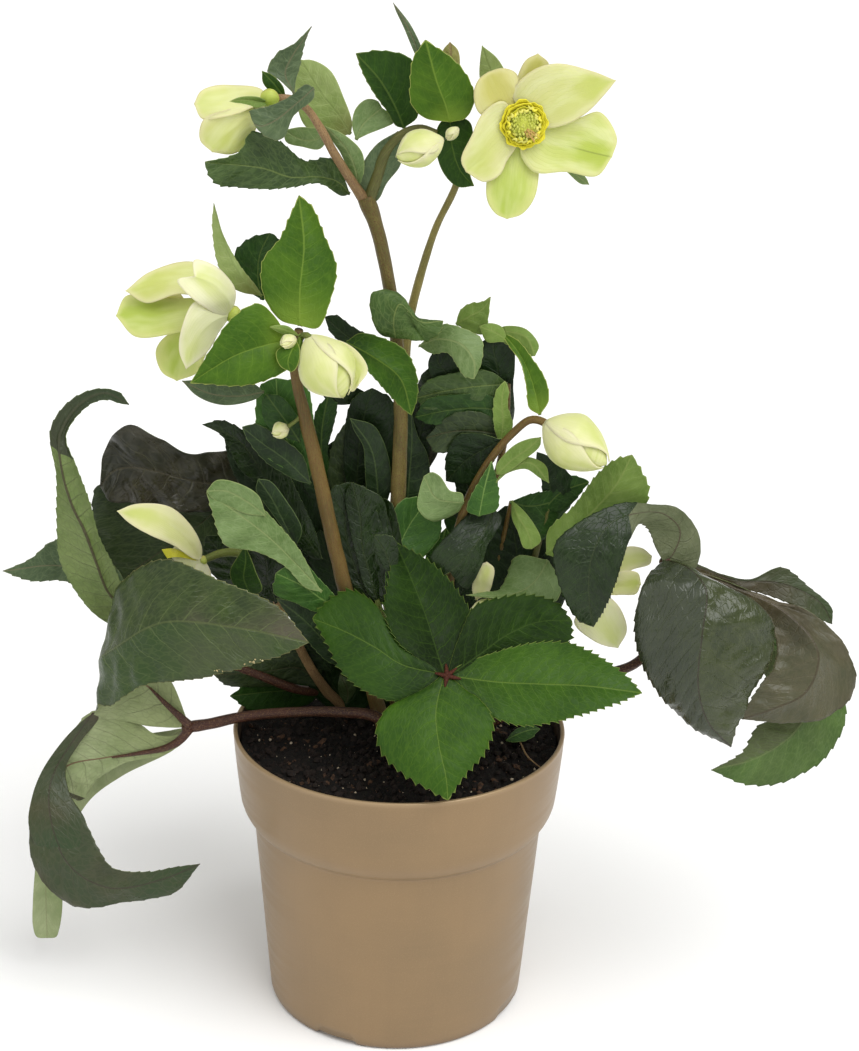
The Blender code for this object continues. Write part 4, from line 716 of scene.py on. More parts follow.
BRACT_TOP = leaf_look("bract_bright_green", c(68, 100, 18), c(50, 82, 13), c(86, 120, 30), c(100, 130, 42),
                      c(118, 142, 54), rough=0.5, pitch=5.2, vein_w=0.3, vein_amt=0.28, net=0.1,
                      rib_w=0.4, rib_amt=0.45, relief=0.3, edge=c(176, 182, 98), edge_amt=0.7, root=c(112, 138, 44),
                      root_reach=0.35, spec=0.16)
# A copy of the bract green with darker colours: painted shade on bracts and bract parts that lie in shade.
BRACT_SHADED = leaf_look("bract_green_painted_shade", c(40, 70, 14), c(28, 54, 11), c(58, 90, 24), c(72, 102, 34),
                       c(90, 114, 46), rough=0.5, pitch=5.2, vein_w=0.3, vein_amt=0.26, net=0.1,
                       rib_w=0.4, relief=0.3, edge=c(128, 140, 70), edge_amt=0.5, spec=0.16, rib_amt=0.4)
BRACT_UNDER = leaf_look("bract_underside", c(124, 146, 80), c(102, 126, 62), c(150, 168, 108), c(142, 160, 98),
                        c(132, 132, 86), rough=0.62, spec=0.3, pitch=5.2, vein_w=0.45, vein_amt=0.5,
                        net=0.25, relief=0.4, sunk=False)
OLD_TOP = leaf_look("old_leaf_grey_green", c(46, 58, 34), c(32, 46, 23), c(66, 78, 52), c(70, 84, 50),
                    c(62, 62, 42), rough=0.4, spec=0.3, pitch=8.0, vein_w=0.4, vein_amt=0.22, net=0.14,
                    net_size=2.6, relief=0.4, blotch=0.7, edge=c(86, 98, 54),
                    edge_amt=0.4, tip=c(42, 58, 30), rib_w=0.5, rib_amt=0.5, patch=c(66, 62, 48), patch_amt=0.55)
LOW_TOP = leaf_look("low_leaf_grey_brown_green", c(50, 66, 24), c(33, 48, 16), c(76, 86, 46), c(94, 108, 60),
                    c(82, 92, 48), rough=0.36, spec=0.3, pitch=11.0, vein_w=0.5, vein_amt=0.42, net=0.14,
                    net_size=2.8, relief=0.4, blotch=0.7, edge=c(126, 122, 74),
                    edge_amt=0.55, rib_w=0.6, rib_amt=0.5, patch=c(84, 76, 64), patch_amt=0.8,
                    half_tint=(c(42, 66, 22), 0.65, -1.0))
# The bluish grey half_tint over one half of this leaf is a painted sheen, the look of the gloss on that half.
RIGHT_TOP = leaf_look("right_leaf_glossy", c(54, 62, 30), c(38, 48, 21), c(78, 84, 50), c(68, 76, 42),
                      c(44, 38, 24), rough=0.24, spec=0.44, pitch=9.0, vein_w=0.4, vein_amt=0.2, net=0.16,
                      net_size=2.8, relief=0.5, blotch=0.8, edge=c(92, 80, 60), edge_amt=0.5, rib_w=0.5,
                      rib_amt=0.8, patch=c(62, 68, 44), patch_amt=0.5, half_tint=(c(45, 52, 42), 0.6, 1.0))
OLD_BROWN = leaf_look("old_leaf_brown_green", c(72, 65, 43), c(52, 50, 31), c(88, 82, 66), c(82, 80, 60),
                      c(52, 42, 32), rough=0.38, spec=0.34, pitch=8.0, vein_w=0.45, vein_amt=0.22, net=0.18,
                      net_size=2.8, relief=0.45, blotch=0.8, edge=c(84, 84, 56),
                      edge_amt=0.4, rib_w=0.5, rib_amt=0.6, patch=c(44, 60, 32), patch_amt=0.75, tip=c(38, 60, 28))
RIGHT_BROWN = leaf_look("right_leaf_brown", c(86, 78, 58), c(64, 60, 42), c(106, 99, 80), c(96, 88, 66),
                        c(64, 52, 38), rough=0.36, spec=0.32, pitch=8.0, vein_w=0.45, vein_amt=0.22, net=0.16,
                        net_size=2.8, relief=0.45, blotch=0.7, edge=c(84, 84, 56),
                        edge_amt=0.4, rib_w=0.5, rib_amt=0.6, patch=c(66, 72, 46), patch_amt=0.5)
UPPER_BROWN = leaf_look("right_leaf_brown_and_green", c(76, 67, 44), c(56, 51, 31), c(88, 82, 66), c(76, 74, 54),
                        c(54, 46, 36), rough=0.38, spec=0.34, pitch=8.0, vein_w=0.45, vein_amt=0.2, net=0.14,
                        net_size=2.8, relief=0.45, blotch=0.7, rib_w=0.5, rib_amt=0.5,
                        tip=c(46, 66, 28), half_tint=(c(48, 66, 32), 0.6, 1.0))
OLD_BLACK = leaf_look("old_leaf_nearly_black", c(52, 49, 34), c(34, 36, 23), c(74, 71, 54), c(80, 78, 56),
                      c(66, 62, 44), rough=0.34, spec=0.42, pitch=11.0, vein_w=0.6, vein_amt=0.4, net=0.12,
                      net_size=4.2, relief=0.45, blotch=0.5, patch=c(42, 54, 26), patch_amt=0.7)
TONGUE_UNDER = leaf_look("low_tongue_underside", c(150, 160, 118), c(124, 138, 92), c(172, 180, 142), c(128, 136, 98),
                         c(126, 124, 88), rough=0.58, spec=0.3, pitch=8.0, vein_w=0.42, vein_amt=0.3, net=0.16,
                         net_size=2.4, rib_w=0.4, rib_amt=0.4, relief=0.4, sunk=False, root=c(140, 150, 100))
CRUMPLED = leaf_look("bract_crumpled_olive", c(68, 94, 36), c(50, 74, 26), c(104, 126, 76), c(112, 130, 74),
                     c(104, 118, 62), rough=0.48, spec=0.24, pitch=5.4, vein_w=0.35, vein_amt=0.3, net=0.2,
                     relief=0.4, edge=c(126, 134, 76), edge_amt=0.5, rib_w=0.42, patch=c(58, 78, 44), patch_amt=0.6)
DEEP_TOP = leaf_look("leaf_deep_glossy", c(28, 45, 14), c(17, 31, 9), c(46, 66, 28), c(54, 74, 32),
                     c(50, 60, 26), rough=0.3, spec=0.29, pitch=6.5, vein_w=0.4, vein_amt=0.26, net=0.15,
                     net_size=2.2, relief=0.45, blotch=0.5, rib_w=0.4, rib_amt=0.4)
DARK_GREEN = leaf_look("leaf_dark_green", c(36, 66, 20), c(25, 48, 14), c(58, 90, 34), c(72, 100, 42),
                       c(78, 98, 44), rough=0.46, spec=0.22, pitch=6.5, vein_w=0.32, vein_amt=0.32, net=0.15,
                       relief=0.35, rib_w=0.42, rib_amt=0.6)
OLD_UNDER = leaf_look("old_leaf_underside", c(108, 124, 70), c(88, 106, 54), c(132, 146, 96), c(80, 88, 56),
                      c(58, 44, 34), rough=0.55, spec=0.3, pitch=8.0, vein_w=0.45, vein_amt=0.5, net=0.2,
                      net_size=2.4, rib_w=0.5, relief=0.6, sunk=False, root=c(118, 132, 80))
LOW_UNDER = leaf_look("low_leaf_underside", c(150, 160, 118), c(124, 138, 92), c(172, 180, 142), c(108, 112, 82),
                      c(104, 66, 54), rough=0.58, spec=0.3, pitch=8.0, vein_w=0.42, vein_amt=0.5, net=0.16,
                      net_size=2.4, rib_w=0.62, relief=0.6, sunk=False, root=c(140, 150, 100))
ARCH_UNDER = leaf_look("arch_leaf_underside", c(94, 100, 70), c(74, 82, 52), c(116, 120, 92), c(78, 82, 56),
                       c(70, 56, 44), rough=0.5, spec=0.3, pitch=8.0, vein_w=0.45, vein_amt=0.45, net=0.2,
                       net_size=2.4, rib_w=0.5, relief=0.6, sunk=False)
FRESH_UNDER = leaf_look("right_leaf_green_side", c(80, 106, 46), c(60, 86, 32), c(104, 126, 68), c(106, 128, 72),
                        c(112, 124, 78), rough=0.45, spec=0.28, pitch=7.0, vein_w=0.35, vein_amt=0.3, net=0.15,
                        relief=0.4, rib_w=0.4, rib_amt=0.35, patch=c(62, 76, 40), patch_amt=0.5,
                        half_tint=(c(84, 82, 60), 0.55, -1.0))
LIGHT_TOP = leaf_look("leaf_light_green", c(112, 136, 62), c(92, 118, 48), c(138, 158, 92), c(134, 154, 88),
                      c(128, 142, 76), rough=0.5, pitch=6.0, vein_w=0.32, vein_amt=0.3, net=0.12,
                      relief=0.3, edge=c(150, 160, 96), edge_amt=0.45, spec=0.2, rib_w=0.42, rib_amt=0.5)
PALE_TOP = leaf_look("leaf_pale_green", c(142, 158, 96), c(118, 138, 72), c(166, 178, 126), c(156, 170, 112),
                     c(120, 136, 76), rough=0.5, pitch=6.0, vein_w=0.32, vein_amt=0.3, net=0.12,
                     relief=0.3, edge=c(168, 172, 118), edge_amt=0.4, spec=0.2, rib_w=0.5, rib_amt=0.5,
                     root=c(112, 112, 60), root_reach=0.4)
GREY_TOP = leaf_look("leaf_grey_light_green", c(106, 128, 76), c(84, 108, 54), c(144, 160, 116), c(130, 148, 96),
                     c(122, 136, 84), rough=0.5, pitch=5.6, vein_w=0.35, vein_amt=0.3, net=0.2,
                     relief=0.4, edge=c(150, 160, 100), edge_amt=0.6, spec=0.3, rib_w=0.45)
GREY_DARK = leaf_look("leaf_grey_dark", c(78, 96, 62), c(54, 72, 42), c(112, 126, 96), c(106, 122, 82),
                      c(96, 96, 68), rough=0.45, spec=0.32, pitch=5.4, vein_w=0.35, vein_amt=0.3, net=0.2,
                      relief=0.4, edge=c(120, 124, 84), edge_amt=0.5, rib_w=0.42)
OLIVE = leaf_look("old_leaf_olive", c(50, 64, 33), c(36, 50, 25), c(70, 84, 47), c(76, 90, 50), c(62, 64, 38),
                  rough=0.46, spec=0.3, pitch=8.0, vein_w=0.4, vein_amt=0.3, net=0.25, net_size=2.8, relief=0.45, rib_w=0.45)
GLOSS_GREEN = leaf_look("leaf_glossy_blue_green", c(58, 80, 34), c(40, 60, 24), c(92, 112, 64), c(98, 118, 66),
                        c(104, 120, 62), rough=0.4, spec=0.28, pitch=6.0, vein_w=0.4, vein_amt=0.32, net=0.2,
                        relief=0.4, rib_w=0.45, rib_amt=0.6)
GREY_DARK_PAIR, GREEN_OLD_PAIR = (GREY_DARK, OLD_UNDER), (OLIVE, OLD_UNDER)
GLOSS_GREEN_PAIR, LIGHT_SHADED_PAIR = (GLOSS_GREEN, BRACT_UNDER), (LIGHT_TOP, BRACT_SHADED)
FRONT_PAIR, FRONT_SHADED_PAIR = (FRONT_TOP, YOUNG_UNDER), (FRONT_SHADED, YOUNG_UNDER)
BRACT_PAIR, BRACT_SHADED_PAIR = (BRACT_TOP, BRACT_UNDER), (BRACT_SHADED, BRACT_UNDER)
OLD_PAIR, BROWN_PAIR, BLACK_PAIR = (OLD_TOP, OLD_UNDER), (OLD_BROWN, OLD_UNDER), (OLD_BLACK, OLD_UNDER)
GLOSS_PAIR, GREEN_PAIR = (DEEP_TOP, OLD_UNDER), (DARK_GREEN, YOUNG_UNDER)
LIGHT_PAIR, GREY_PAIR = (LIGHT_TOP, BRACT_UNDER), (GREY_TOP, BRACT_UNDER)

SEPAL = sepal_look("sepal_pale_green", c(204, 205, 144), c(190, 199, 110), c(216, 212, 166), c(206, 186, 148), 0.2,
                   flush_reach=(0.25, 0.9), pale=c(216, 216, 168))
SEPAL_WARM = sepal_look("sepal_warm_green", c(192, 186, 112), c(184, 180, 96), c(206, 200, 144), c(150, 134, 88), 0.4,
                        flush_reach=(0.2, 0.9), pale=c(206, 204, 150))
SEPAL_PINK = sepal_look("sepal_pink_edged", c(194, 196, 128), c(182, 190, 100), c(206, 203, 152), c(188, 170, 126), 0.35,
                        flush_reach=(0.25, 0.9), pale=c(212, 215, 164))
SEPAL_GREEN = sepal_look("sepal_green_flushed", c(186, 195, 112), c(162, 179, 74), c(196, 199, 130), c(184, 186, 122), 0.15,
                         flush_reach=(0.15, 0.8), pale=c(202, 208, 144))
# The lower right sepal carries a painted crease shadow along its middle.
SEPAL_CREASE_SHADED = sepal_look("sepal_green_painted_crease_shade", c(192, 200, 120), c(168, 183, 78), c(203, 204, 140), c(190, 190, 126), 0.15,
                        flush_reach=(0.15, 0.8), pale=c(216, 219, 170), fold=c(132, 144, 62))
SEPAL_WHITE = sepal_look("sepal_nearly_white", c(213, 215, 168), c(198, 205, 134), c(220, 217, 182), c(204, 190, 148), 0.35,
                         flush_reach=(0.2, 0.85), pale=c(222, 222, 186))
BUD = sepal_look("bud_cream", c(214, 216, 154), c(198, 206, 124), c(221, 218, 172), c(206, 192, 142), 0.3,
                 flush_reach=(0.0, 0.55), pale=c(220, 220, 166))
PISTIL = sepal_look("pistil_green", c(162, 180, 66), c(136, 160, 44), c(184, 192, 96), c(200, 150, 110), 0.5)
STEM = stalk_look("stem_olive", c(108, 96, 46), c(84, 78, 34), c(84, 46, 32), c(132, 118, 64), speck_amt=0.85)
STEM_THIN = stalk_look("stem_thin_tan_green", c(134, 124, 66), c(108, 102, 50), c(96, 74, 44), c(156, 146, 88), speck_amt=0.5)
STEM_OLIVE = stalk_look("stem_olive_green", c(96, 96, 46), c(76, 80, 36), c(74, 54, 38), c(118, 118, 66), speck_amt=0.5)
STEM_BROWN = stalk_look("stem_brown", c(102, 84, 38), c(82, 70, 30), c(92, 50, 26), c(126, 104, 54), speck_amt=0.8)
STEM_GREEN = stalk_look("stem_green", c(112, 124, 54), c(90, 104, 42), c(92, 70, 46), c(136, 142, 76), speck_amt=0.5)
STEM_TAN = stalk_look("stem_tan", c(146, 118, 82), c(118, 96, 62), c(96, 60, 48), c(164, 138, 98))
PETIOLE = stalk_look("petiole_purple", c(62, 34, 28), c(44, 24, 20), c(134, 104, 68), c(82, 48, 38), rough=0.42,
                     speck_amt=0.5)

# the flats that the front leaf and the open flower lie in
front = Plane(447, 676, -46, -3, 42)
bloom = Plane(524, 124, -6, 6, 6)

# -------------------------------------------------------------------- blades

# the young front leaf
blade("front_left_blade", "leaf_front", (FRONT_HALF_SHADED, YOUNG_UNDER),
      [(450, 675, -0.4), (403, 665, 0), (376, 648, 0), (346, 632, -1), (312.5, 618.5, -3)],
      [(423, 660, 0.2), (392, 630), (374, 602), (350, 589), (326, 603)],
      [(438, 687), (414, 701), (391, 702), (370, 695), (343, 674), (327, 644)], front, da=-2, db=-3, step=0.52, teeth=(3.1, 1.6), pucker=0.4, cup=1.2, wave=(1.0, 2.2, 1.3), seed=2, pitch=6.2, slot="young_leaf_green")
blade("front_right_blade", "leaf_front", FRONT_PAIR,
      [(444, 675, 0.4), (497, 682, 1.4), (539, 684, 1.4), (587, 686, 0), (642, 693, -4)],
      [(462, 664, 2), (507, 648, 4), (543, 641, 4.2), (571, 643, 3), (600, 657, 0.5), (625, 674, -2)],
      [(457, 687), (474, 702), (491, 717), (520, 726), (552, 723), (582, 715), (616, 704)], front, da=-2, db=-3, step=0.52, teeth=(3.1, 1.6), pucker=0.4, cup=1.2, wave=(1.0, 2.4, 0.2), seed=4, pitch=6.2, slot="young_leaf_green", base_w=2.4)
blade("front_bottom_blade", "leaf_front", FRONT_PAIR,
      [(445, 672, 0.2), (436, 711, 2), (439, 745, 2.5), (446, 777, 1), (448, 800, -2)],
      [(428, 686), (404, 697), (388, 706), (376, 727), (380, 750), (402, 773), (425, 787)],
      [(462, 686), (482, 700), (494, 722), (486, 750), (465, 775)], front, da=-2, db=-2, step=0.52, teeth=(3.1, 1.6), pucker=0.45, cup=1.2, wave=(1.0, 2.0, 2.1), seed=3, pitch=6.2, slot="young_leaf_green", base_w=2.6)
blade("front_upper_right_blade", "leaf_front", FRONT_SHADED_PAIR,
      [(446, 678, 0.5), (479, 655, 3), (507, 635, 4), (539, 622, 3), (572, 621, 1)],
      [(452, 656, 1.0), (461, 630, 2.0), (474, 606, 2.6), (498, 597, 3), (530, 595, 2), (557, 603, 1)],
      [(482, 674, 0.2), (518, 664, 0.6), (548, 654, 1), (570, 641, 1)], front, da=0, db=-1, step=0.52, teeth=(3.1, 1.6), pucker=0.35, cup=1.0, wave=(0.8, 2.0, 1.0), seed=5, pitch=6.2, slot="young_leaf_green", base_w=2.2)
blade("front_top_blade", "leaf_front", FRONT_SHADED_PAIR,
      [(446, 679, 0), (438, 655, 1.6), (427, 619, 2.4), (412, 580, 2), (395.5, 542, 0)],
      [(429, 667), (398, 644), (384, 612), (389, 575)],
      [(450, 666), (470, 648), (474, 621), (459, 591), (429, 561)], front, da=-1.5, db=-1.5, step=0.52, teeth=(3.1, 1.6), pucker=0.35, cup=1.2, wave=(0.8, 2.0, 0.3), seed=1, pitch=6.2, slot="young_leaf_green", base_w=2.6)

# the old leaf at the lower left
blade("low_left_top_blade", "leaf_lower_left", (LOW_TOP, LOW_UNDER),
      [(190, 726, -12), (168, 706, -9), (149, 687, -7), (118, 670, -9), (99, 662, -20), (118, 646, -32), (165, 622, -42), (240, 628, -46), (308.8, 642.5, -44)],
      [(184, 712, -10), (176, 690, -6), (150, 650, -3), (118, 620, -8), (112, 600, -18), (128, 575, -28), (165, 559, -34), (220, 580, -40), (277, 606, -43)],
      [(186, 727, -12), (156, 727, -10), (119, 720, -11), (99, 718, -16), (98, 706, -24), (112, 706, -33), (140, 687, -42), (207, 677, -48), (287, 653, -46)], teeth=(4.4, 0.9), pucker=0.5, crumple=0.7, ref=0.8, seed=11, pitch=8.0)
blade("low_left_curl_blade", "leaf_lower_left", (OLD_BROWN, LOW_UNDER),
      [(192, 727, -12), (170, 746, -12), (140, 752, -11), (105, 758, -9), (67, 766, -8), (47, 790, -16), (52, 830, -26), (72, 868, -32), (110, 888, -34), (160, 880, -34), (200, 864, -32)],
      [(182, 733, -12), (163, 736, -10), (140, 725, -9), (119, 714, -9), (92, 711, -7), (66, 742, -6), (40, 778, -14), (29, 830, -24), (38, 875, -30), (73, 906, -32), (130, 902, -33), (176, 891, -33)],
      [(184, 742, -12), (160, 756, -12), (125, 763, -11), (98, 780, -10), (82, 800, -10), (68, 798, -16), (86, 822, -25), (98, 848, -31), (114, 868, -33), (150, 871, -33), (180, 866, -32)], teeth=(5.0, 0.5), pucker=0.4, crumple=0.8, ref=0.8, flip_at=0.42, seed=12, pitch=8.0)
blade("low_left_under_blade", "leaf_lower_left", (OLD_TOP, TONGUE_UNDER),
      [(189, 727, -11.5), (160, 742, -1), (112, 764, 6), (72, 790, 8), (50, 830, 8), (46, 880, 6), (47, 938, 2)],
      [(172, 730, -4), (112, 742, 5), (66, 768, 8), (40, 815, 8), (35, 870, 6), (33, 900, 5), (33, 926, 3), (37, 937, 2.5)],
      [(176, 748, -4), (122, 776, 5), (90, 800, 8), (70, 835, 8), (63, 885, 6), (62, 912, 4), (59, 930, 3), (56, 937, 2.5)], shows=-1, ref=0.8, pucker=0.3, seed=13, pitch=8.0, slot="leaf_underside_green")

# leaves at the far left
blade("left_long_blade", "leaf_left", OLD_PAIR,
      [(141, 636, 3), (125, 612, -2), (107, 590, -8), (96, 562, -13), (84, 530, -18), (72, 505, -19), (62, 470, -18), (60, 435, -14), (80, 404, -9), (105, 393, -7), (129, 404.5, -8)],
      [(122, 630, -1), (98, 617, -6), (80, 598, -10), (60, 562, -13), (56.5, 520, -15), (56, 475, -15), (50, 430, -13), (68, 402, -9), (95, 389, -7), (119, 392, -7)],
      [(138, 626, 1), (127, 600, -5), (115, 568, -11), (99, 536, -17), (91, 505, -19), (76, 465, -20), (66, 436, -15), (88, 406, -9), (106, 400, -8), (122, 404, -8)], shows=-1, ref=0.35, flip_from=0.68, pucker=0.45, cup=1.6, teeth=(4.5, 0.6), seed=21, pitch=8.0, slot="leaf_underside_green")
blade("left_pointed_blade", "leaf_left", GREY_DARK_PAIR,
      [(142, 635, 3), (130, 610, 4), (108, 585, 5), (62, 566, 4), (2.5, 571, 0)],
      [(130, 590, 6), (104, 556, 7), (56, 540, 5), (30, 559, 3)],
      [(132, 622, 3), (112, 604, 3), (66, 582, 3), (30, 581, 1)], teeth=(4.5, 0.7), pucker=0.4, crumple=0.6, seed=22, pitch=8.0)
blade("brown_top_blade", "leaf_left_brown", BLACK_PAIR,
      [(238, 486, 20), (212, 484, 14), (180, 478, 8), (140, 468, 4), (116, 470, 6), (100, 486, 9)],
      [(236, 448, 17), (212, 454, 10), (190, 455, 6), (160, 438, 4), (131, 425, 3), (106, 444, 6)],
      [(232, 505, 18), (205, 512, 12), (170, 508, 8), (136, 504, 6), (112, 500, 8)], pucker=0.9, crumple=1.8, wave=(2.4, 2.2, 0.5), seed=23, pitch=8.5)
blade("brown_low_blade", "leaf_left_brown", GREEN_OLD_PAIR,
      [(237, 487, 20), (205, 520, 22), (170, 545, 19), (135, 570, 17), (112, 594, 16)],
      [(222, 498, 22), (180, 497, 20), (130, 492, 18), (98, 485, 17), (95, 545, 17)],
      [(236, 520, 24), (215, 560, 22), (180, 590, 18), (145, 604, 17)], pucker=0.8, crumple=0.8, teeth=(4.6, 0.8), seed=24, pitch=8.0)

# the old leaf at the right
blade("right_one_blade", "leaf_right", (RIGHT_TOP, OLD_UNDER),
      [(665, 560, -12), (688, 568, -24), (706, 590, -35), (702, 635, -44), (698, 685, -46), (708, 722, -43), (731, 747, -38)],
      [(655, 566, -18), (641, 590, -28), (634, 622, -33), (640, 660, -36), (662, 698, -38), (695, 728, -38)],
      [(678, 562, -16), (712, 580, -26), (756, 601, -30), (776, 630, -31), (766, 668, -34), (741, 716, -36)], cup=2.0, teeth=(4.4, 0.9), pucker=1.5, crumple=1.1, seed=31, pitch=9.0)
blade("right_two_blade", "leaf_right", (RIGHT_BROWN, OLD_UNDER),
      [(668, 564, -10), (725, 584, -12), (785, 612, -20), (818, 652, -28), (806, 692, -32), (772, 709, -34), (742, 719, -34)],
      [(700, 572, -9), (760, 594, -12), (812, 613, -15), (846, 648, -18), (856, 685, -20), (833, 714, -25), (782, 723, -30)],
      [(690, 582, -12), (735, 606, -16), (775, 638, -22), (774, 664, -28), (756, 692, -32), (746, 708, -34)], cup=2.0, teeth=(4.4, 0.6), pucker=0.6, crumple=0.8, seed=32, pitch=8.0)
blade("right_upper_blade", "leaf_right", (UPPER_BROWN, OLD_UNDER),
      [(664, 562, -10), (700, 568, -4), (735, 580, 2), (782, 584, 6), (820, 603, 6), (832, 624, 4)],
      [(690, 562, -5), (722, 574, 0), (750, 579, 4), (782, 567, 8), (810, 588, 8), (832, 608, 6)],
      [(690, 576, -6), (722, 590, -1), (755, 592, 2), (785, 602, 2), (812, 614, 2), (826, 622, 3)], teeth=(4.4, 0.6), pucker=0.5, crumple=0.8, seed=33, pitch=8.0)
blade("right_green_blade", "leaf_right", (OLIVE, FRESH_UNDER),
      [(667, 563, -10.5), (718, 610, -3), (775, 650, 0), (812, 690, -4), (798, 728, -14), (758, 757, -22), (711, 770, -24)],
      [(705, 590, -3), (760, 625, 2), (820, 660, 2), (846, 706, -2), (832, 750, -12), (790, 780, -20), (748, 785, -23)],
      [(690, 604, -6), (735, 645, -3), (772, 685, -4), (790, 716, -10), (760, 724, -16), (742, 752, -21)], shows=-1, ref=0.7, teeth=(4.6, 1.1), pucker=0.6, crumple=0.5, seed=34, pitch=8.0, slot="young_leaf_green")
blade("right_over_blade", "leaf_right", (DEEP_TOP, ARCH_UNDER),
      [(664, 564, -13), (674, 552, -11), (680, 530, -8), (664, 514, -9), (638, 513, -14), (610, 524, -22), (592, 556, -29), (589, 596, -32), (593.5, 627, -30)],
      [(690, 574, -12), (700, 556, -8), (698, 532, -4), (680, 509, -4), (654, 504, -8), (620, 503, -14), (578, 522, -22), (554, 545, -27), (560, 588, -30), (578, 620, -30)],
      [(660, 556, -13), (654, 544, -13), (648, 530, -13), (640, 524, -16), (634, 532, -22), (626, 552, -26), (617, 580, -29), (605, 608, -30)], teeth=(3.4, 0.9), pucker=0.2, crumple=0.5, ref=0.8, flip_at=0.43, seed=35, pitch=7.5, slot="leaf_underside_green")

# leaves among the stalks
blade("mid_left_a_blade", "leaf_middle_left", GLOSS_PAIR,
      [(378, 604, -10), (370, 575, -6), (362, 545, -3), (360, 515, -1), (352, 482, 0)],
      [(366, 590, -8), (356, 555, -4), (349, 525, -2), (345, 495, 0)],
      [(384, 590, -5), (388, 560, -1), (388, 530, -1), (382, 498, -1)], pucker=0.35, crumple=0.7, wave=(1.2, 1.5, 0.4), seed=41, pitch=7.0)
blade("leaf_pointed_left_blade", "leaf_pointed_left", GLOSS_PAIR,
      [(322, 560, -8), (306, 536, -6), (287, 505, -4), (262, 472, -4), (238, 440, -8), (202.5, 424.5, -14)],
      [(318, 540), (313, 525), (296, 488), (280, 458), (250, 434), (222, 420)],
      [(312, 558), (302, 550), (289, 528), (264, 490), (240, 470), (222, 436)], pucker=0.25, crumple=0.5, teeth=(4.5, 0.6), seed=42, pitch=7.0)
blade("leaf_middle_right_blade", "leaf_middle_right", GLOSS_PAIR,
      [(494, 508, 6), (486, 528, -3), (470, 552, -10), (450, 572, -13)],
      [(478, 508, 5), (450, 532, -5), (429, 560, -9.5), (436, 578, -12)],
      [(502, 520, 2), (488, 545, -5), (480, 570, -9), (466, 590, -10)], pucker=0.25, crumple=0.5, teeth=(4.2, 0.6), seed=43, pitch=6.5)
blade("leaf_arching_blade", "leaf_arching", GREY_PAIR,
      [(548, 560, 8), (536, 580, 2), (520, 592, -4), (498, 596, -8), (466, 595, -10)],
      [(516, 556, 8), (506, 578, 4), (498, 590, -2), (484, 592, -7)],
      [(562, 584, 4), (556, 601, -4), (534, 600, -8), (502, 599, -10)], teeth=(4.0, 0.7), pucker=0.4, crumple=0.4, seed=44, pitch=6.0, slot="leaf_underside_green")
blade("bract_crumpled_blade", "bract_crumpled", (CRUMPLED, BRACT_UNDER),
      [(396, 338, -5), (394, 318, -9), (400, 304, -9), (420, 322, -8), (443, 321, -5)],
      [(384, 336, -4), (373, 322, -8), (371, 293, -8), (400, 291, -5), (414, 316, -4)],
      [(412, 340, -6), (430, 340, -7), (440, 332, -6)], teeth=(3.6, 0.8), pucker=0.6, crumple=0.9, wave=(1.6, 2.0, 0.3), seed=45, pitch=5.5)
blade("bract_green_middle_blade", "bract_green_middle", (FRONT_TOP, BRACT_UNDER),
      [(346, 342, -6), (372, 356, -10), (400, 378, -12), (411.5, 415, -11)],
      [(360, 333, -6), (384, 338, -8), (405, 350, -10), (417, 374, -11), (417, 400, -11)],
      [(351, 354, -8), (370, 374, -11), (388, 394, -12), (404, 410, -12)], teeth=(3.8, 0.7), pucker=0.4, cup=1.0, seed=46, pitch=5.5, slot="young_leaf_green")
blade("bract_light_middle_blade", "bract_light_middle", GREY_PAIR,
      [(419, 346, 12), (440, 339, 6), (462, 345, 2), (474, 362, -2), (474, 379, -3)],
      [(443, 324, 8), (463, 328, 6), (481, 338, 4), (482, 360, 0)],
      [(432, 354, 8), (447, 353, 4), (457, 366, 0), (464, 376, -2)], teeth=(3.6, 0.6), pucker=0.5, crumple=0.8, wave=(1.4, 1.8, 1.0), seed=47, pitch=5.5, slot="leaf_underside_green")
blade("bract_light_top_blade", "bract_light_top", LIGHT_PAIR,
      [(456, 324, 14), (470, 316, 12), (484, 308, 10), (490.5, 297, 8)],
      [(460, 310, 14), (471, 303, 12), (481, 302, 10)],
      [(470, 332, 14), (484, 334, 13), (488, 320, 10)], teeth=(3.6, 0.6), pucker=0.4, crumple=0.5, seed=48, pitch=5.0, slot="leaf_underside_green")
blade("leaf_dark_middle_blade", "leaf_dark_middle", GLOSS_PAIR,
      [(512, 366, 16), (490, 378, 13), (460, 388, 11), (430, 398, 13), (410, 412, 18)],
      [(500, 344, 18), (478, 350, 16), (448, 358, 15), (424, 372, 16)],
      [(514, 420, 14), (498, 440, 10), (462, 434, 9), (430, 424, 13)], teeth=(4.2, 0.8), pucker=0.9, crumple=1.0, wave=(1.5, 2.0, 0.8), seed=49, pitch=6.5)
blade("leaf_curled_right_blade", "leaf_narrow_right", LIGHT_PAIR,
      [(496, 330, 14), (512, 332, 10), (527, 338, 6), (535, 356, 4)],
      [(505, 326, 12), (526, 329, 8), (539, 346, 5)],
      [(506, 344, 12), (519, 346, 8), (530, 356, 5)], pucker=0.3, crumple=0.4, seed=50, pitch=5.0, slot="leaf_underside_green")
blade("leaf_narrow_right_blade", "leaf_narrow_right", BRACT_PAIR,
      [(540, 415, -4), (535, 392, 0), (526, 366, 4), (514, 346, 8), (500, 331, 13)],
      [(549, 400, -3), (546, 380, 0), (531, 356, 4), (519, 341, 8)],
      [(529, 408, -3), (526, 386, 0), (520, 362, 4), (510, 348, 8)], pucker=0.4, crumple=0.4, teeth=(3.8, 0.6), seed=51, pitch=5.5, slot="young_leaf_green")
blade("bract_under_right_bud_blade", "bract_under_right_bud", LIGHT_PAIR,
      [(497, 474, -7), (512, 460, -9), (530, 447, -12), (541, 437, -13)],
      [(496, 466, -7), (513, 446, -9), (528, 439, -11)],
      [(504, 474, -8), (524, 460, -11), (540, 446, -13)], pucker=0.3, seed=52, pitch=5.0, slot="leaf_underside_green")
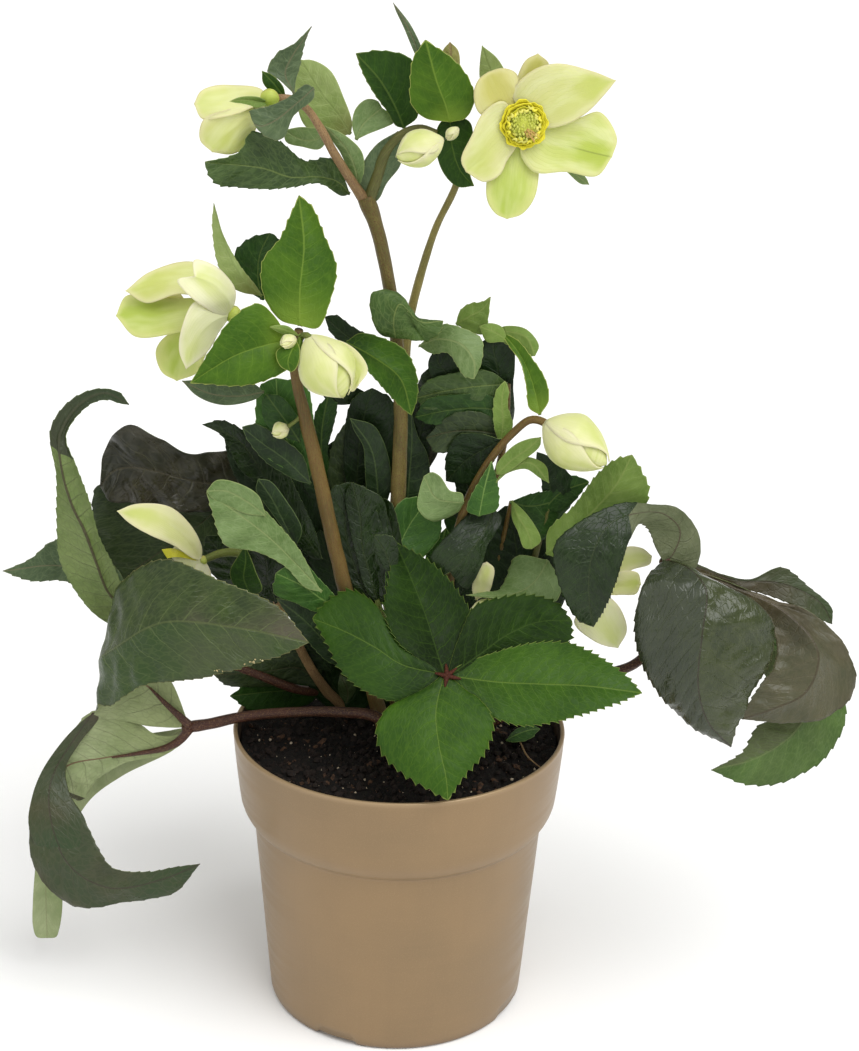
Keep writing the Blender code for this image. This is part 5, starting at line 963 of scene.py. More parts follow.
blade("bract_pale_curled_blade", "bract_pale_curled", GREY_PAIR,
      [(464, 503, -5), (452, 502, -6), (436, 498, -6), (424, 476, -5)],
      [(462, 493, -5), (450, 491, -6), (440, 476, -6), (432, 472, -5)],
      [(456, 512, 0), (434, 521, -4), (418, 508, -6), (420, 488, -6)], pucker=0.5, crumple=0.8, wave=(1.2, 1.5, 0.2), seed=53, pitch=5.0, slot="leaf_underside_green")
blade("leaf_small_star_blade", "bract_yellow_middle", GREEN_PAIR,
      [(510, 502, 6), (530, 506, 9), (556, 500, 13), (586, 484, 17)],
      [(530, 494, 9), (556, 489, 13), (574, 484, 16)],
      [(524, 528, 8), (540, 541, 11), (556, 524, 13), (574, 502, 16)], teeth=(3.8, 0.8), pucker=0.5, crumple=0.5, seed=54, pitch=5.5, slot="young_leaf_green")
blade("bract_yellow_middle_blade", "bract_yellow_middle", LIGHT_PAIR,
      [(512, 501, 6), (518, 516, -2), (528, 532, -4), (532, 549, -5)],
      [(521, 508, 1), (534, 524, -3), (541, 541, -5)],
      [(512, 518, 0), (518, 532, -3), (524, 548, -5)], pucker=0.4, seed=55, pitch=5.0, slot="leaf_underside_green")
blade("leaf_light_right_blade", "leaf_light_right", LIGHT_PAIR,
      [(546, 554, 2), (568, 534, 2), (596, 508, -2), (618, 482, -6), (632, 455, -8)],
      [(548, 530, 4), (573, 506, 4), (595, 476, 0), (614, 460, -5)],
      [(566, 560, 2), (612, 540, 0), (644, 510, -4), (649, 488, -6), (640, 468, -8)], teeth=(4.2, 1.1), pucker=0.4, cup=0.8, seed=56, pitch=6.0, slot="leaf_underside_green")
blade("bract_folded_left_blade", "bract_folded_left", GREY_PAIR,
      [(322, 592, -24), (298, 566, -26), (272, 540, -30), (240, 515, -34), (206.5, 492, -36)],
      [(316, 582, -24), (300, 550, -26), (268, 513, -29), (242, 486, -32), (222, 481, -34)],
      [(306, 588, -26), (284, 566, -29), (256, 552, -33), (226, 546, -36), (212, 512, -37)], teeth=(4.0, 0.7), pucker=0.4, crumple=0.5, seed=57, pitch=6.0, slot="leaf_underside_green")
blade("bract_pointed_small_blade", "bract_pointed_small", BRACT_SHADED_PAIR,
      [(252, 596, -24), (244, 578, -26), (246, 560, -28), (245, 545, -28)],
      [(236, 588, -25), (230, 572, -26), (238, 556, -28)],
      [(262, 590, -26), (256, 572, -28), (250, 556, -29)], pucker=0.3, seed=58, pitch=5.0, slot="young_leaf_green")
blade("leaf_behind_lower_left_blade", "leaf_behind_lower_left", GREEN_PAIR,
      [(318, 690, 36), (298, 690, 30), (266, 692, 20), (230, 696, 10)],
      [(308, 674, 36), (286, 670, 28), (250, 682, 16)],
      [(312, 702, 34), (290, 709, 26), (252, 711, 14)], teeth=(4.2, 0.7), pucker=0.5, seed=59, pitch=6.0)

# bracts of the middle left group
blade("bract_large_upright_blade", "bract_large_upright", BRACT_PAIR,
      [(300, 326, -29), (300, 290, -26), (304, 245, -20), (299, 195.5, -12)],
      [(280, 320, -28), (263, 295, -25), (262, 262, -22), (280, 238, -18), (290, 215, -15)],
      [(318, 328, -28), (331, 300, -25), (337, 268, -21), (326, 238, -17), (312, 206, -14)], teeth=(4.0, 0.8), pucker=0.4, cup=1.2, seed=61, pitch=5.4, slot="young_leaf_green")
blade("bract_large_left_blade", "bract_large_left", BRACT_PAIR,
      [(288, 340, -31), (266, 345, -35), (236, 355, -40), (210, 370, -43), (190.5, 383, -44)],
      [(276, 318, -31), (258, 303, -34), (232, 318, -39), (210, 350, -42)],
      [(290, 366, -35), (262, 382, -39), (236, 386, -43), (208, 384, -44)], teeth=(4.0, 0.7), pucker=0.4, cup=1.2, seed=62, pitch=5.4, slot="young_leaf_green")
blade("bract_narrow_upright_blade", "bract_narrow_upright", (PALE_TOP, BRACT_UNDER),
      [(262, 296, -10), (244, 280, -11), (228, 252, -10), (213.8, 203, -6)],
      [(236, 290, -11), (219, 268, -11), (212, 226, -8)],
      [(256, 286, -9), (239, 264, -9), (222, 232, -8)], teeth=(3.8, 0.6), pucker=0.3, seed=63, pitch=5.4, slot="leaf_underside_green")
blade("bract_dark_crumpled_blade", "bract_dark_crumpled", GREEN_PAIR,
      [(262, 300, 2), (258, 276, 3), (260, 254, 4), (270, 233, 5)],
      [(240, 284, 2), (234, 254, 3), (250, 238, 4)],
      [(280, 296, 1), (284, 262, 3), (278, 238, 4)], teeth=(3.4, 0.8), pucker=0.6, crumple=0.9, seed=64, pitch=5.0)
blade("bract_under_left_blade", "bract_under_left", GREY_DARK_PAIR,
      [(264, 392, -16), (240, 396, -20), (212, 394, -24), (182, 381, -26)],
      [(254, 384, -17), (225, 384, -22), (200, 380, -25)],
      [(256, 399, -17), (222, 405, -21), (197, 396, -25)], pucker=0.4, crumple=0.4, seed=65, pitch=5.5)
blade("bract_small_hub_blade", "bud_tiny_hub", BRACT_PAIR,
      [(297, 341, -33), (292, 350, -38), (288, 362, -40), (291, 372, -40)],
      [(284, 346, -36), (276, 352, -38), (280, 366, -40)],
      [(300, 350, -38), (299, 362, -41), (295, 370, -41)], pucker=0.3, seed=80, pitch=4.0, slot="young_leaf_green")

# bracts of the top group
blade("bract_top_left_pointed_blade", "bract_top_left_pointed", GREY_DARK_PAIR,
      [(294, 94, -9), (285, 74, -8), (292, 56, -6), (304, 38, -4), (311.5, 26.5, -3)],
      [(279, 80, -10), (267, 72, -9), (276, 54, -8), (293, 44, -6)],
      [(296, 82, -6), (300, 66, -4), (303, 50, -3), (307, 36, -3)], teeth=(3.6, 0.7), pucker=0.5, crumple=0.5, seed=71, pitch=5.0)
blade("bract_top_left_light_blade", "bract_top_left_light", (PALE_TOP, BRACT_UNDER),
      [(351, 134, 6), (338, 114, 8), (322, 94, 10), (301, 60, 12)],
      [(330, 138, 7), (305, 126, 9), (296, 100, 11), (293, 74, 12)],
      [(352, 122, 6), (344, 98, 8), (330, 70, 10), (312, 60, 12)], pucker=0.4, crumple=0.4, seed=72, pitch=5.4, slot="leaf_underside_green")
blade("bract_grey_ear_blade", "bract_grey_ear", GREY_DARK_PAIR,
      [(314, 88, -22), (296, 104, -24), (276, 120, -26), (262, 126, -27), (254, 124, -27)],
      [(306, 84, -22), (290, 96, -23), (268, 106, -25), (250, 111, -26)],
      [(314, 98, -23), (294, 116, -25), (284, 138, -26), (274, 140, -27), (260, 132, -27)], teeth=(3.6, 0.6), pucker=0.5, crumple=0.6, seed=73, pitch=5.0)
blade("bract_large_toothed_blade", "bract_large_toothed", GLOSS_GREEN_PAIR,
      [(350, 194, 3.5), (338, 182, 2), (319, 177, -3), (290, 177, -11), (262, 168, -18), (205, 162, -26)],
      [(344, 178, 3), (331, 158, 1), (306, 160, -6), (278, 140, -14), (252, 132, -22), (240, 152, -25)],
      [(342, 196, 2.5), (320, 184, -4), (291, 188, -11), (252, 189, -18), (222, 187, -23), (208, 174, -26)], teeth=(3.8, 1.0), pucker=0.6, crumple=0.6, wave=(1.4, 2.0, 0.6), seed=74, pitch=6.0)
blade("bract_rounded_upper_blade", "bract_rounded_upper", GREY_PAIR,
      [(356, 140, 3), (362, 126, 6), (372, 116, 8), (382, 108, 9)],
      [(352, 124, 5), (356, 108, 7), (367, 99, 9), (378, 101, 9)],
      [(370, 133, 4), (386, 127, 6), (394, 122, 8), (388, 112, 9)], pucker=0.4, crumple=0.4, seed=75, pitch=5.0, slot="leaf_underside_green")
blade("bract_upper_dark_blade", "bract_upper_dark", BRACT_SHADED_PAIR,
      [(404, 128, 6), (396, 108, 5), (380, 80, 5), (356, 53.5, 4)],
      [(396, 126, 6), (387, 112, 6), (374, 94, 5), (362, 72, 4)],
      [(418, 116, 6), (412, 90, 6), (412, 60, 6), (384, 50.5, 5)], teeth=(3.8, 0.6), pucker=0.4, cup=0.8, seed=76, pitch=5.4, slot="young_leaf_green")
blade("bract_upper_bright_blade", "bract_upper_bright", BRACT_PAIR,
      [(450, 122, -5), (446, 106, -7), (437, 82, -8), (425.5, 40, -7)],
      [(424, 118, -6), (411, 104, -6), (410, 80, -6), (413, 58, -6)],
      [(466, 118, -5), (475, 100, -5), (469, 78, -5), (452, 58, -6)], teeth=(3.8, 0.7), pucker=0.4, cup=1.0, seed=77, pitch=5.4, slot="young_leaf_green")
blade("bract_upper_lower_blade", "bract_upper_bright", BRACT_SHADED_PAIR,
      [(450, 114, -1.5), (452, 145, -1), (460, 170, -1), (474, 186, -3)],
      [(438, 126, -0.5), (436, 150, 0), (444, 174, 0), (458, 187, -2)],
      [(470, 122, -0.5), (473, 142, -0.5), (470, 160, -1), (470, 174, -3)], pucker=0.4, seed=78, pitch=5.0, slot="young_leaf_green")
blade("bract_upper_narrow_blade", "bract_upper_narrow", (GREY_DARK, GREY_DARK),
      [(420, 64, 12), (415, 44, 13), (406, 24, 14), (393, 2.5, 15)],
      [(414, 52, 12), (403, 26, 14), (396, 11, 15)],
      [(423, 54, 12), (412, 27, 14), (401, 12, 15)], pucker=0.2, seed=79, pitch=5.0, slot="young_leaf_green")

# sepals
blade("sepal_bottom_petal", "sepal_bottom", (SEPAL_GREEN, SEPAL_GREEN),
      [(520, 130, -2.6), (514, 160, -1.2), (511, 190, 0.8), (507, 219, 0)],
      [(498, 150, -2.2), (487, 178, -0.4), (487, 200, 0.4), (496, 214, 0)],
      [(538, 148, -2.6), (539, 172, -1.4), (534, 198, 0), (522, 214, 0)], bloom, thick=0.5, rib=0.35, wave=(0.7, 1.6, 0.5), crumple=0.25, step=0.8, base_w=1.6, seed=293, slot="sepal_pale_green")
blade("sepal_lower_left_petal", "sepal_lower_left", (SEPAL_PINK, SEPAL_PINK),
      [(519, 124, -0.6), (500, 140, 1.8), (484, 157, 3.2), (466, 172, 4)],
      [(503, 101, 1.2), (484, 112, 3), (471, 136, 4.6), (461, 160, 5)],
      [(518, 144, 0.4), (508, 160, 2), (498, 176, 3.6), (484, 182, 4)], bloom, thick=0.5, rib=0.35, wave=(0.7, 1.6, 0.5), crumple=0.25, step=0.8, base_w=1.6, seed=328, slot="sepal_pale_green")
blade("sepal_upper_left_petal", "sepal_upper_left", (SEPAL_WARM, SEPAL_WARM),
      [(520, 120, -1.8), (503, 102, 0.2), (492, 86, 2.4), (488, 72, 3.4)],
      [(500, 118, -0.6), (479, 113, 1.2), (474, 93, 3.2), (479, 79, 3.6)],
      [(525, 100, -1), (520, 86, 0.6), (517, 74, 2), (502, 68, 3.4)], bloom, thick=0.5, rib=0.35, wave=(0.7, 1.6, 0.5), crumple=0.25, step=0.8, base_w=1.6, seed=328, slot="sepal_pale_green")
blade("sepal_top_small_petal", "sepal_top_small", (SEPAL_WARM, SEPAL_WARM),
      [(524, 114, -2.8), (527, 90, -2.2), (531, 72, -1.4), (538, 53.5, -0.4)],
      [(511, 100, -2.6), (517, 78, -2), (526, 60, -1)],
      [(538, 98, -2.6), (544, 78, -1.6), (549, 64, -1)], bloom, thick=0.5, rib=0.3, wave=(0.7, 1.6, 0.5), crumple=0.25, step=0.8, base_w=1.6, seed=313, slot="sepal_pale_green")
blade("sepal_upper_right_petal", "sepal_upper_right", (SEPAL_PINK, SEPAL_PINK),
      [(528, 120, -0.4), (556, 104, 1.8), (586, 91, 3.2), (616, 80.5, 4)],
      [(512, 94, 0.6), (531, 71, 2.4), (556, 63.5, 3.6), (592, 71, 4)],
      [(545, 128, 0.6), (567, 124, 2.2), (588, 112, 3.6), (606, 93, 4)], bloom, thick=0.5, rib=0.35, wave=(0.7, 1.6, 0.5), crumple=0.25, step=0.8, base_w=1.6, seed=335, slot="sepal_pale_green")
blade("sepal_lower_right_petal", "sepal_lower_right", (SEPAL_CREASE_SHADED, SEPAL_CREASE_SHADED),
      [(528, 127, -1.6), (554, 141, -1.2), (582, 150, -0.6), (612, 157, 0)],
      [(548, 120, -1.8), (575, 119, -1.8), (600, 112, -1), (617, 138, -0.2)],
      [(520, 152, -0.6), (534, 172, 0.8), (566, 172, 0.8), (597, 176, 0)], bloom, thick=0.5, rib=0.5, wave=(0.7, 1.6, 0.5), crumple=0.25, step=0.8, base_w=1.6, seed=335, slot="sepal_pale_green")
blade("ul_1_petal", "flower_upper_left", (SEPAL_PINK, SEPAL_PINK),
      [(266, 99, -18), (246, 96, -21), (222, 100, -24), (194, 104, -25)],
      [(262, 90, -16), (240, 85, -17), (215, 86, -20), (200, 92, -23)],
      [(262, 104, -20), (245, 110, -26), (222, 118, -28), (202, 119, -27)], thick=0.5, rib=0.0, wave=(0.7, 1.6, 0.5), crumple=0.25, step=0.8, base_w=1.6, seed=177, slot="sepal_pale_green")
blade("ul_2_petal", "flower_upper_left", (SEPAL_PINK, SEPAL_PINK),
      [(266, 100, -17), (248, 116, -22), (228, 132, -25), (212, 152, -24)],
      [(250, 104, -20), (226, 110, -27), (203, 120, -28), (200, 140, -26)],
      [(262, 112, -14), (256, 132, -15), (246, 145, -17), (232, 154, -21)], thick=0.5, rib=0.0, wave=(0.7, 1.6, 0.5), crumple=0.25, step=0.8, base_w=1.6, seed=178, slot="sepal_pale_green")
blade("ul_3_petal", "flower_upper_left", (SEPAL_PINK, SEPAL_PINK),
      [(266, 99, -17), (248, 98, -9), (226, 108, -3), (208, 122, -2)],
      [(262, 92, -14), (240, 92, -8), (218, 100, -3)],
      [(262, 112, -12), (246, 124, -6), (222, 134, -3)], thick=0.5, rib=0.0, wave=(0.7, 1.6, 0.5), crumple=0.25, step=0.8, base_w=1.6, seed=179, slot="sepal_pale_green")
blade("ml_front_petal", "flower_middle_left", (SEPAL_WHITE, SEPAL_WHITE),
      [(231, 314, -20), (228, 300, -27), (214, 284, -32), (194, 276, -34)],
      [(234, 304, -20), (234, 286, -22), (218, 268, -26), (194, 260, -30)],
      [(220, 316, -26), (206, 308, -33), (190, 297, -36), (177, 280, -35)], thick=0.5, rib=0.0, wave=(0.7, 1.6, 0.5), crumple=0.25, step=0.8, base_w=1.6, seed=272, slot="sepal_pale_green")
blade("ml_white_petal", "flower_middle_left", (SEPAL_WHITE, SEPAL_WHITE),
      [(230, 314, -21), (212, 322, -30), (196, 338, -33), (186, 369, -32)],
      [(218, 308, -26), (196, 302, -34), (184, 320, -36), (179, 350, -34)],
      [(226, 322, -21), (216, 338, -27), (204, 355, -30)], thick=0.5, rib=0.0, wave=(0.7, 1.6, 0.5), crumple=0.25, step=0.8, base_w=1.6, seed=257, slot="sepal_pale_green")
blade("ml_upper_petal", "flower_middle_left", (SEPAL_PINK, SEPAL_PINK),
      [(231, 312, -18), (206, 286, -16), (168, 279, -18), (125.5, 291, -20)],
      [(226, 290, -12), (196, 262, -12), (150, 272, -15)],
      [(215, 302, -20), (182, 294, -22), (146, 303, -21)], thick=0.5, rib=0.0, wave=(0.7, 1.6, 0.5), crumple=0.25, step=0.8, base_w=1.6, seed=270, slot="sepal_pale_green")
blade("ml_left_petal", "flower_middle_left", (SEPAL_GREEN, SEPAL_GREEN),
      [(230, 315, -19), (190, 310, -20), (150, 316, -20), (116, 316, -18)],
      [(206, 300, -16), (160, 298, -14), (126, 296, -15)],
      [(208, 324, -22), (176, 333, -24), (136, 337, -22)], thick=0.5, rib=0.0, wave=(0.7, 1.6, 0.5), crumple=0.25, step=0.8, base_w=1.6, seed=265, slot="sepal_pale_green")
blade("ml_low_petal", "flower_middle_left", (SEPAL_GREEN, SEPAL_GREEN),
      [(231, 316, -18), (206, 332, -14), (184, 352, -12), (177, 381, -14)],
      [(208, 322, -13), (170, 333, -9), (156, 350, -10), (162, 372, -12)],
      [(222, 328, -16), (208, 350, -15), (198, 372, -15)], thick=0.5, rib=0.0, wave=(0.7, 1.6, 0.5), crumple=0.25, step=0.8, base_w=1.6, seed=261, slot="sepal_pale_green")
blade("ll_up_petal", "flower_low_left", (SEPAL, SEPAL),
      [(201, 561, -18), (184, 538, -19), (160, 520, -21), (117, 511, -22)],
      [(202, 548, -18), (190, 524, -18), (168, 506, -19), (136, 504, -21)],
      [(192, 558, -20), (174, 546, -22), (150, 535, -23), (128, 522, -22)], thick=0.5, rib=0.0, wave=(0.7, 1.6, 0.5), crumple=0.25, step=0.8, base_w=1.6, seed=247, slot="sepal_pale_green")
blade("ll_down_petal", "flower_low_left", (SEPAL_WHITE, SEPAL_WHITE),
      [(199, 561, -18), (202, 568, -19), (207, 577, -19), (212.5, 588, -19)],
      [(206, 563, -18), (210, 572, -18), (212, 580, -18)],
      [(195, 566, -19), (197, 574, -20), (205, 584, -19)], thick=0.5, rib=0.0, wave=(0.7, 1.6, 0.5), crumple=0.25, step=0.8, base_w=1.6, seed=259, slot="sepal_pale_green")
blade("rf_a_petal", "flower_right", (SEPAL_WHITE, SEPAL_WHITE),
      [(596, 586, -5), (610, 575, -4), (628, 560, -4), (652, 556, -4)],
      [(604, 572, -3), (624, 548, -3), (642, 548, -3)],
      [(612, 582, -5), (632, 570, -5), (650, 564, -4)], thick=0.5, rib=0.0, wave=(0.7, 1.6, 0.5), crumple=0.25, step=0.8, base_w=1.6, seed=225, slot="sepal_pale_green")
blade("rf_b_petal", "flower_right", (SEPAL, SEPAL),
      [(597, 587, -6), (610, 588, -8), (626, 586, -9), (641, 584, -9)],
      [(606, 578, -7), (618, 571, -9), (638, 573, -9)],
      [(606, 594, -8), (622, 595, -10), (636, 594, -10)], thick=0.5, rib=0.0, wave=(0.7, 1.6, 0.5), crumple=0.25, step=0.8, base_w=1.6, seed=226, slot="sepal_pale_green")
blade("rf_c_petal", "flower_right", (SEPAL_WHITE, SEPAL_WHITE),
      [(597, 588, -7), (604, 606, -13), (611, 626, -17), (618, 648, -18)],
      [(606, 594, -9), (620, 608, -14), (627, 630, -17)],
      [(592, 598, -10), (574, 622, -17), (592, 640, -19), (606, 646, -19)], thick=0.5, rib=0.0, wave=(0.7, 1.6, 0.5), crumple=0.25, step=0.8, base_w=1.6, seed=227, slot="sepal_pale_green")

# ------------------------------------- the smaller leaves that fill the middle
EDGE_LIT = leaf_look("leaf_dark_lit_edge", c(34, 54, 24), c(22, 38, 17), c(54, 78, 38), c(70, 92, 50),
                     c(90, 110, 62), rough=0.48, spec=0.28, pitch=6.0, vein_w=0.35, vein_amt=0.3, net=0.12,
                     relief=0.35, edge=c(120, 142, 84), edge_amt=0.5, rib_w=0.4, rib_amt=0.4, edge_w=0.36)
MID_GREEN = leaf_look("leaf_fresh_green", c(60, 98, 34), c(42, 76, 26), c(82, 120, 48), c(96, 132, 60),
                      c(110, 138, 70), rough=0.5, spec=0.22, rib_w=0.42, pitch=5.6, vein_w=0.36, vein_amt=0.4, net=0.1,
                      relief=0.4, edge=c(130, 152, 88), edge_amt=0.5)
NEAR_BLACK = leaf_look("leaf_shaded_dark", c(23, 43, 14), c(14, 28, 8), c(42, 64, 26), c(48, 70, 32),
                       c(44, 58, 26), rough=0.4, spec=0.22, rib_w=0.45, rib_amt=0.5, pitch=6.5, vein_w=0.4, vein_amt=0.3, net=0.15,
                       relief=0.5)
BROWN_TIP = leaf_look("leaf_brown_tip", c(152, 150, 86), c(126, 122, 62), c(176, 164, 116), c(168, 156, 110),
                      c(140, 120, 80), rough=0.5, spec=0.35, pitch=5.0, vein_w=0.4, vein_amt=0.4, net=0.1,
                      relief=0.4)
LIT_PAIR, FRESH_PAIR, SHADE_PAIR = (EDGE_LIT, OLD_UNDER), (MID_GREEN, YOUNG_UNDER), (NEAR_BLACK, OLD_UNDER)


def fill(name, looks, mid, a, b, **kw):
    opts = dict(teeth=(4.2, 0.6), pucker=0.5, crumple=0.5, pitch=6.0)
    opts.update(kw)
    return blade("fill_" + name, (), looks, mid, a, b, **opts)


# between the left stalk and the tall stalk
fill("strip_dark", SHADE_PAIR, [(356, 506, 18), (358, 460, 17), (362, 425, 16), (372, 388, 15)],
     [(345, 480), (344, 440), (352, 400)], [(394, 490), (398, 440), (392, 400)], seed=201)
fill("strip_lit", LIT_PAIR, [(378, 520, 12), (377, 480, 11), (371, 448, 10), (350, 418, 9)],
     [(367, 492), (365, 470), (363, 446), (354, 430)], [(390, 492), (388, 455), (374, 426)], seed=202, teeth=None)
fill("olive_between", (OLIVE, OLD_UNDER), [(346, 500, 20), (345, 465, 19), (346, 440, 18), (354, 408, 16)],
     [(330, 486), (329, 458), (334, 440), (347, 420)], [(364, 486), (364, 455), (364, 425)], seed=203)
fill("green_between", GREEN_PAIR, [(326, 508, 20), (322, 460, 19), (322, 430, 18), (328, 396, 17)],
     [(312, 480), (312, 440), (316, 410)], [(331, 484), (328, 450), (334, 425), (337, 404)], seed=204)
fill("gloss_left", GLOSS_PAIR, [(374, 606, -8), (354, 565, -3), (345, 525, 0), (350, 482, 3)],
     [(352, 584), (336, 545), (326, 508), (332, 488)], [(388, 592), (390, 560), (380, 520), (368, 490)], seed=205, pucker=0.8)
fill("gloss_right", GLOSS_PAIR, [(380, 606, -9), (392, 570, -4), (393, 535, 0), (382, 498, 4)],
     [(374, 585), (374, 540), (370, 505)], [(398, 594), (403, 560), (399, 525), (391, 502)], seed=206, pucker=0.8)
fill("fresh_low", (MID_GREEN, YOUNG_UNDER), [(385, 600, -8), (397, 552, 0), (410, 524, 6), (428, 500, 10)],
     [(386, 560), (388, 522), (402, 500), (416, 497)], [(402, 580), (425, 556), (440, 536), (440, 512)], seed=207)
fill("small_lit", GLOSS_PAIR, [(392, 592, -11), (390, 565, -12.5), (383, 548, -13.5), (374, 535, -14)],
     [(386, 572), (378, 556), (374, 543)], [(398, 565), (398, 545), (392, 536)], seed=208, teeth=(3.0, 0.5))
fill("beside_tall", LIT_PAIR, [(407, 508, 14), (410, 470, 15), (412, 440, 16), (411, 410, 17)],
     [(398, 490), (397, 450), (402, 420)], [(426, 502), (430, 476), (427, 453), (418, 436)], seed=209, teeth=None)
fill("brown_shade", BLACK_PAIR, [(428, 470, 21), (432, 446, 20), (428, 430, 20), (416, 416, 19)],
     [(424, 456), (422, 440), (415, 426)], [(438, 452), (438, 436), (430, 422)], seed=210, teeth=None)
# the dark crumpled leaf behind the thin stalk
fill("cross_low", (OLIVE, OLD_UNDER), [(505, 436, 6), (480, 431, 6), (455, 431, 7), (426, 438, 10)],
     [(490, 416), (462, 411), (444, 419)], [(492, 446), (462, 450), (436, 452)], seed=211, crumple=0.8)
fill("cross_mid", GREEN_PAIR, [(508, 412, 7), (480, 408, 7), (450, 410, 8), (415, 417, 12)],
     [(492, 396), (455, 394), (426, 400)], [(495, 428), (460, 424), (428, 424)], seed=212, crumple=0.8)
fill("cross_top", (GLOSS_GREEN, OLD_UNDER), [(508, 384, 8), (480, 386, 8), (450, 390, 9), (416, 398, 13)],
     [(490, 371), (455, 373), (427, 381)], [(495, 400), (460, 404), (426, 409)], seed=213, crumple=0.8)
fill("shade_left", SHADE_PAIR, [(458, 388, 12), (448, 374, 12), (438, 362, 12), (440, 350, 12)],
     [(436, 382), (428, 366), (432, 354)], [(462, 378), (460, 362), (450, 351)], seed=214, teeth=None)
fill("shade_right", SHADE_PAIR, [(500, 394, 13), (498, 370, 13), (494, 352, 13), (492, 336, 13)],
     [(483, 386), (478, 362), (480, 344)], [(511, 386), (515, 362), (512, 343)], seed=215, teeth=None)
fill("light_strip", LIGHT_PAIR, [(501, 444, 3), (503, 420, 3), (502, 400, 3), (505, 381, 4)],
     [(495, 432), (493, 405), (497, 389)], [(513, 428), (508, 405), (509, 390)], seed=216, slot="leaf_underside_green")
fill("light_small", LIGHT_PAIR, [(508, 342, 11), (500, 335, 10), (490, 330, 10), (479, 326, 11)],
     [(502, 327, 11), (490, 323, 11)], [(500, 342, 10), (487, 342, 10)], seed=217, teeth=None, slot="leaf_underside_green")
# on the right stalk
fill("shade_stalk", SHADE_PAIR, [(502, 440, -4), (482, 450, 2), (464, 462, 6), (446, 481, 9)],
     [(482, 434), (458, 435), (446, 456)], [(494, 462), (482, 478), (466, 484)], seed=218)
fill("pointed_up", FRESH_PAIR, [(479, 516, -4), (484, 490, -6), (491.5, 461, -6)],
     [(467, 511), (470, 497), (481, 478)], [(497, 510), (499, 490), (496, 475)], seed=219, slot="young_leaf_green", teeth=(3.4, 0.6))
fill("arch", LIGHT_PAIR, [(496, 482, -6), (514, 467, -8), (531, 463, -10), (549, 483, -12)],
     [(509, 461), (529, 457), (546, 466)], [(506, 474), (526, 469), (540, 478)], seed=220, teeth=None, slot="leaf_underside_green")
fill("behind_bud", GREEN_PAIR, [(545, 508, 12), (560, 493, 12), (575, 486, 12), (589, 482, 12)],
     [(550, 483), (566, 476), (580, 477)], [(560, 512), (575, 500)], seed=221)
fill("behind_bud_low", SHADE_PAIR, [(552, 508, 13), (550, 485, 12), (546, 468, 11), (537, 452, 10)],
     [(543, 496), (541, 478), (536, 462)], [(574, 502), (574, 482), (562, 466), (549, 456)], seed=222)
fill("shade_low_right", SHADE_PAIR, [(520, 620, 12), (518, 575, 15), (515, 540, 16), (505, 506, 16)],
     [(486, 606), (478, 560), (484, 524)], [(560, 610), (566, 560), (558, 525), (535, 506)], seed=223, pucker=0.9)
fill("shade_star", SHADE_PAIR, [(500, 525, 4), (485, 512, 4), (470, 508, 4), (452, 512, 4)],
     [(486, 502), (470, 500), (458, 503)], [(486, 526), (470, 524), (458, 520)], seed=224, teeth=None)
# left of the left stalk
fill("left_panel", FRESH_PAIR, [(308, 482, -13), (292, 450, -11), (280, 420, -10), (276, 378, -8)],
     [(262, 452), (256, 425), (256, 400), (262, 384)], [(316, 460), (314, 420), (306, 386)], seed=225)
fill("left_panel_shade", GREEN_PAIR, [(300, 442, -15.5), (288, 424, -15), (276, 408, -14), (266, 394, -13)],
     [(278, 434), (264, 420), (262, 402)], [(300, 424), (292, 408), (280, 396)], seed=226, teeth=None)
fill("left_panel_low", LIT_PAIR, [(311, 484, -15), (286, 460, -13), (262, 443, -12), (242, 427, -11)],
     [(302, 454), (280, 437), (258, 424)], [(296, 480), (268, 464), (248, 441)], seed=227)
fill("pointed_wide", SHADE_PAIR, [(290, 512, 0), (262, 486, 2), (246, 466, 2), (224, 436, -1)],
     [(290, 490), (268, 460), (245, 438)], [(262, 500), (240, 484), (229, 462)], seed=228)
fill("folded_lit", LIT_PAIR, [(296, 546, -12), (281, 516, -16), (271, 497, -18), (258, 479, -20)],
     [(302, 530), (286, 500), (270, 481)], [(284, 530), (268, 508), (256, 490)], seed=229, teeth=None)
fill("folded_top", (GREY_TOP, BRACT_UNDER), [(266, 516, -31), (246, 501, -34), (226, 491, -36), (206.5, 491, -37)],
     [(258, 495), (238, 483), (217, 480)], [(248, 514), (226, 505), (212, 498)], seed=230, teeth=None, slot="leaf_underside_green")
fill("gloss_low", GLOSS_PAIR, [(276, 603, -5), (268, 580, -10), (266, 560, -13), (260, 543, -14)],
     [(260, 592), (254, 567), (250, 550)], [(286, 590), (294, 566), (280, 550)], seed=231)
fill("shade_stem_foot", SHADE_PAIR, [(352, 618, 4), (337, 588, 6), (328, 560, 6), (320, 530, 6)],
     [(330, 604), (314, 575), (309, 545)], [(362, 604), (354, 575), (340, 545)], seed=232)
fill("bright_young", FRESH_PAIR, [(347, 612, -11), (325, 601, -18), (303, 586, -24), (276, 573, -27)],
     [(334, 594), (318, 577), (299, 559)], [(322, 614), (297, 604), (274, 594)], seed=233, slot="young_leaf_green")
fill("young_under", LIT_PAIR, [(350, 668, 0), (325, 642, -8), (304, 620, -14), (276, 598, -18)],
     [(338, 640), (320, 614), (299, 603)], [(328, 662), (308, 642), (288, 616)], seed=234)
fill("under_big", GREEN_OLD_PAIR, [(322, 688, 19), (299, 668, 18), (262, 672, 14), (214, 675, 6)],
     [(318, 650), (286, 648), (240, 664)], [(300, 684), (262, 686), (228, 686)], seed=235)
fill("shade_soil", SHADE_PAIR, [(350, 716, 22), (336, 690, 21), (325, 670, 20), (318, 645, 18)],
     [(326, 706), (308, 685), (304, 660)], [(372, 702), (366, 680), (352, 656)], seed=236)
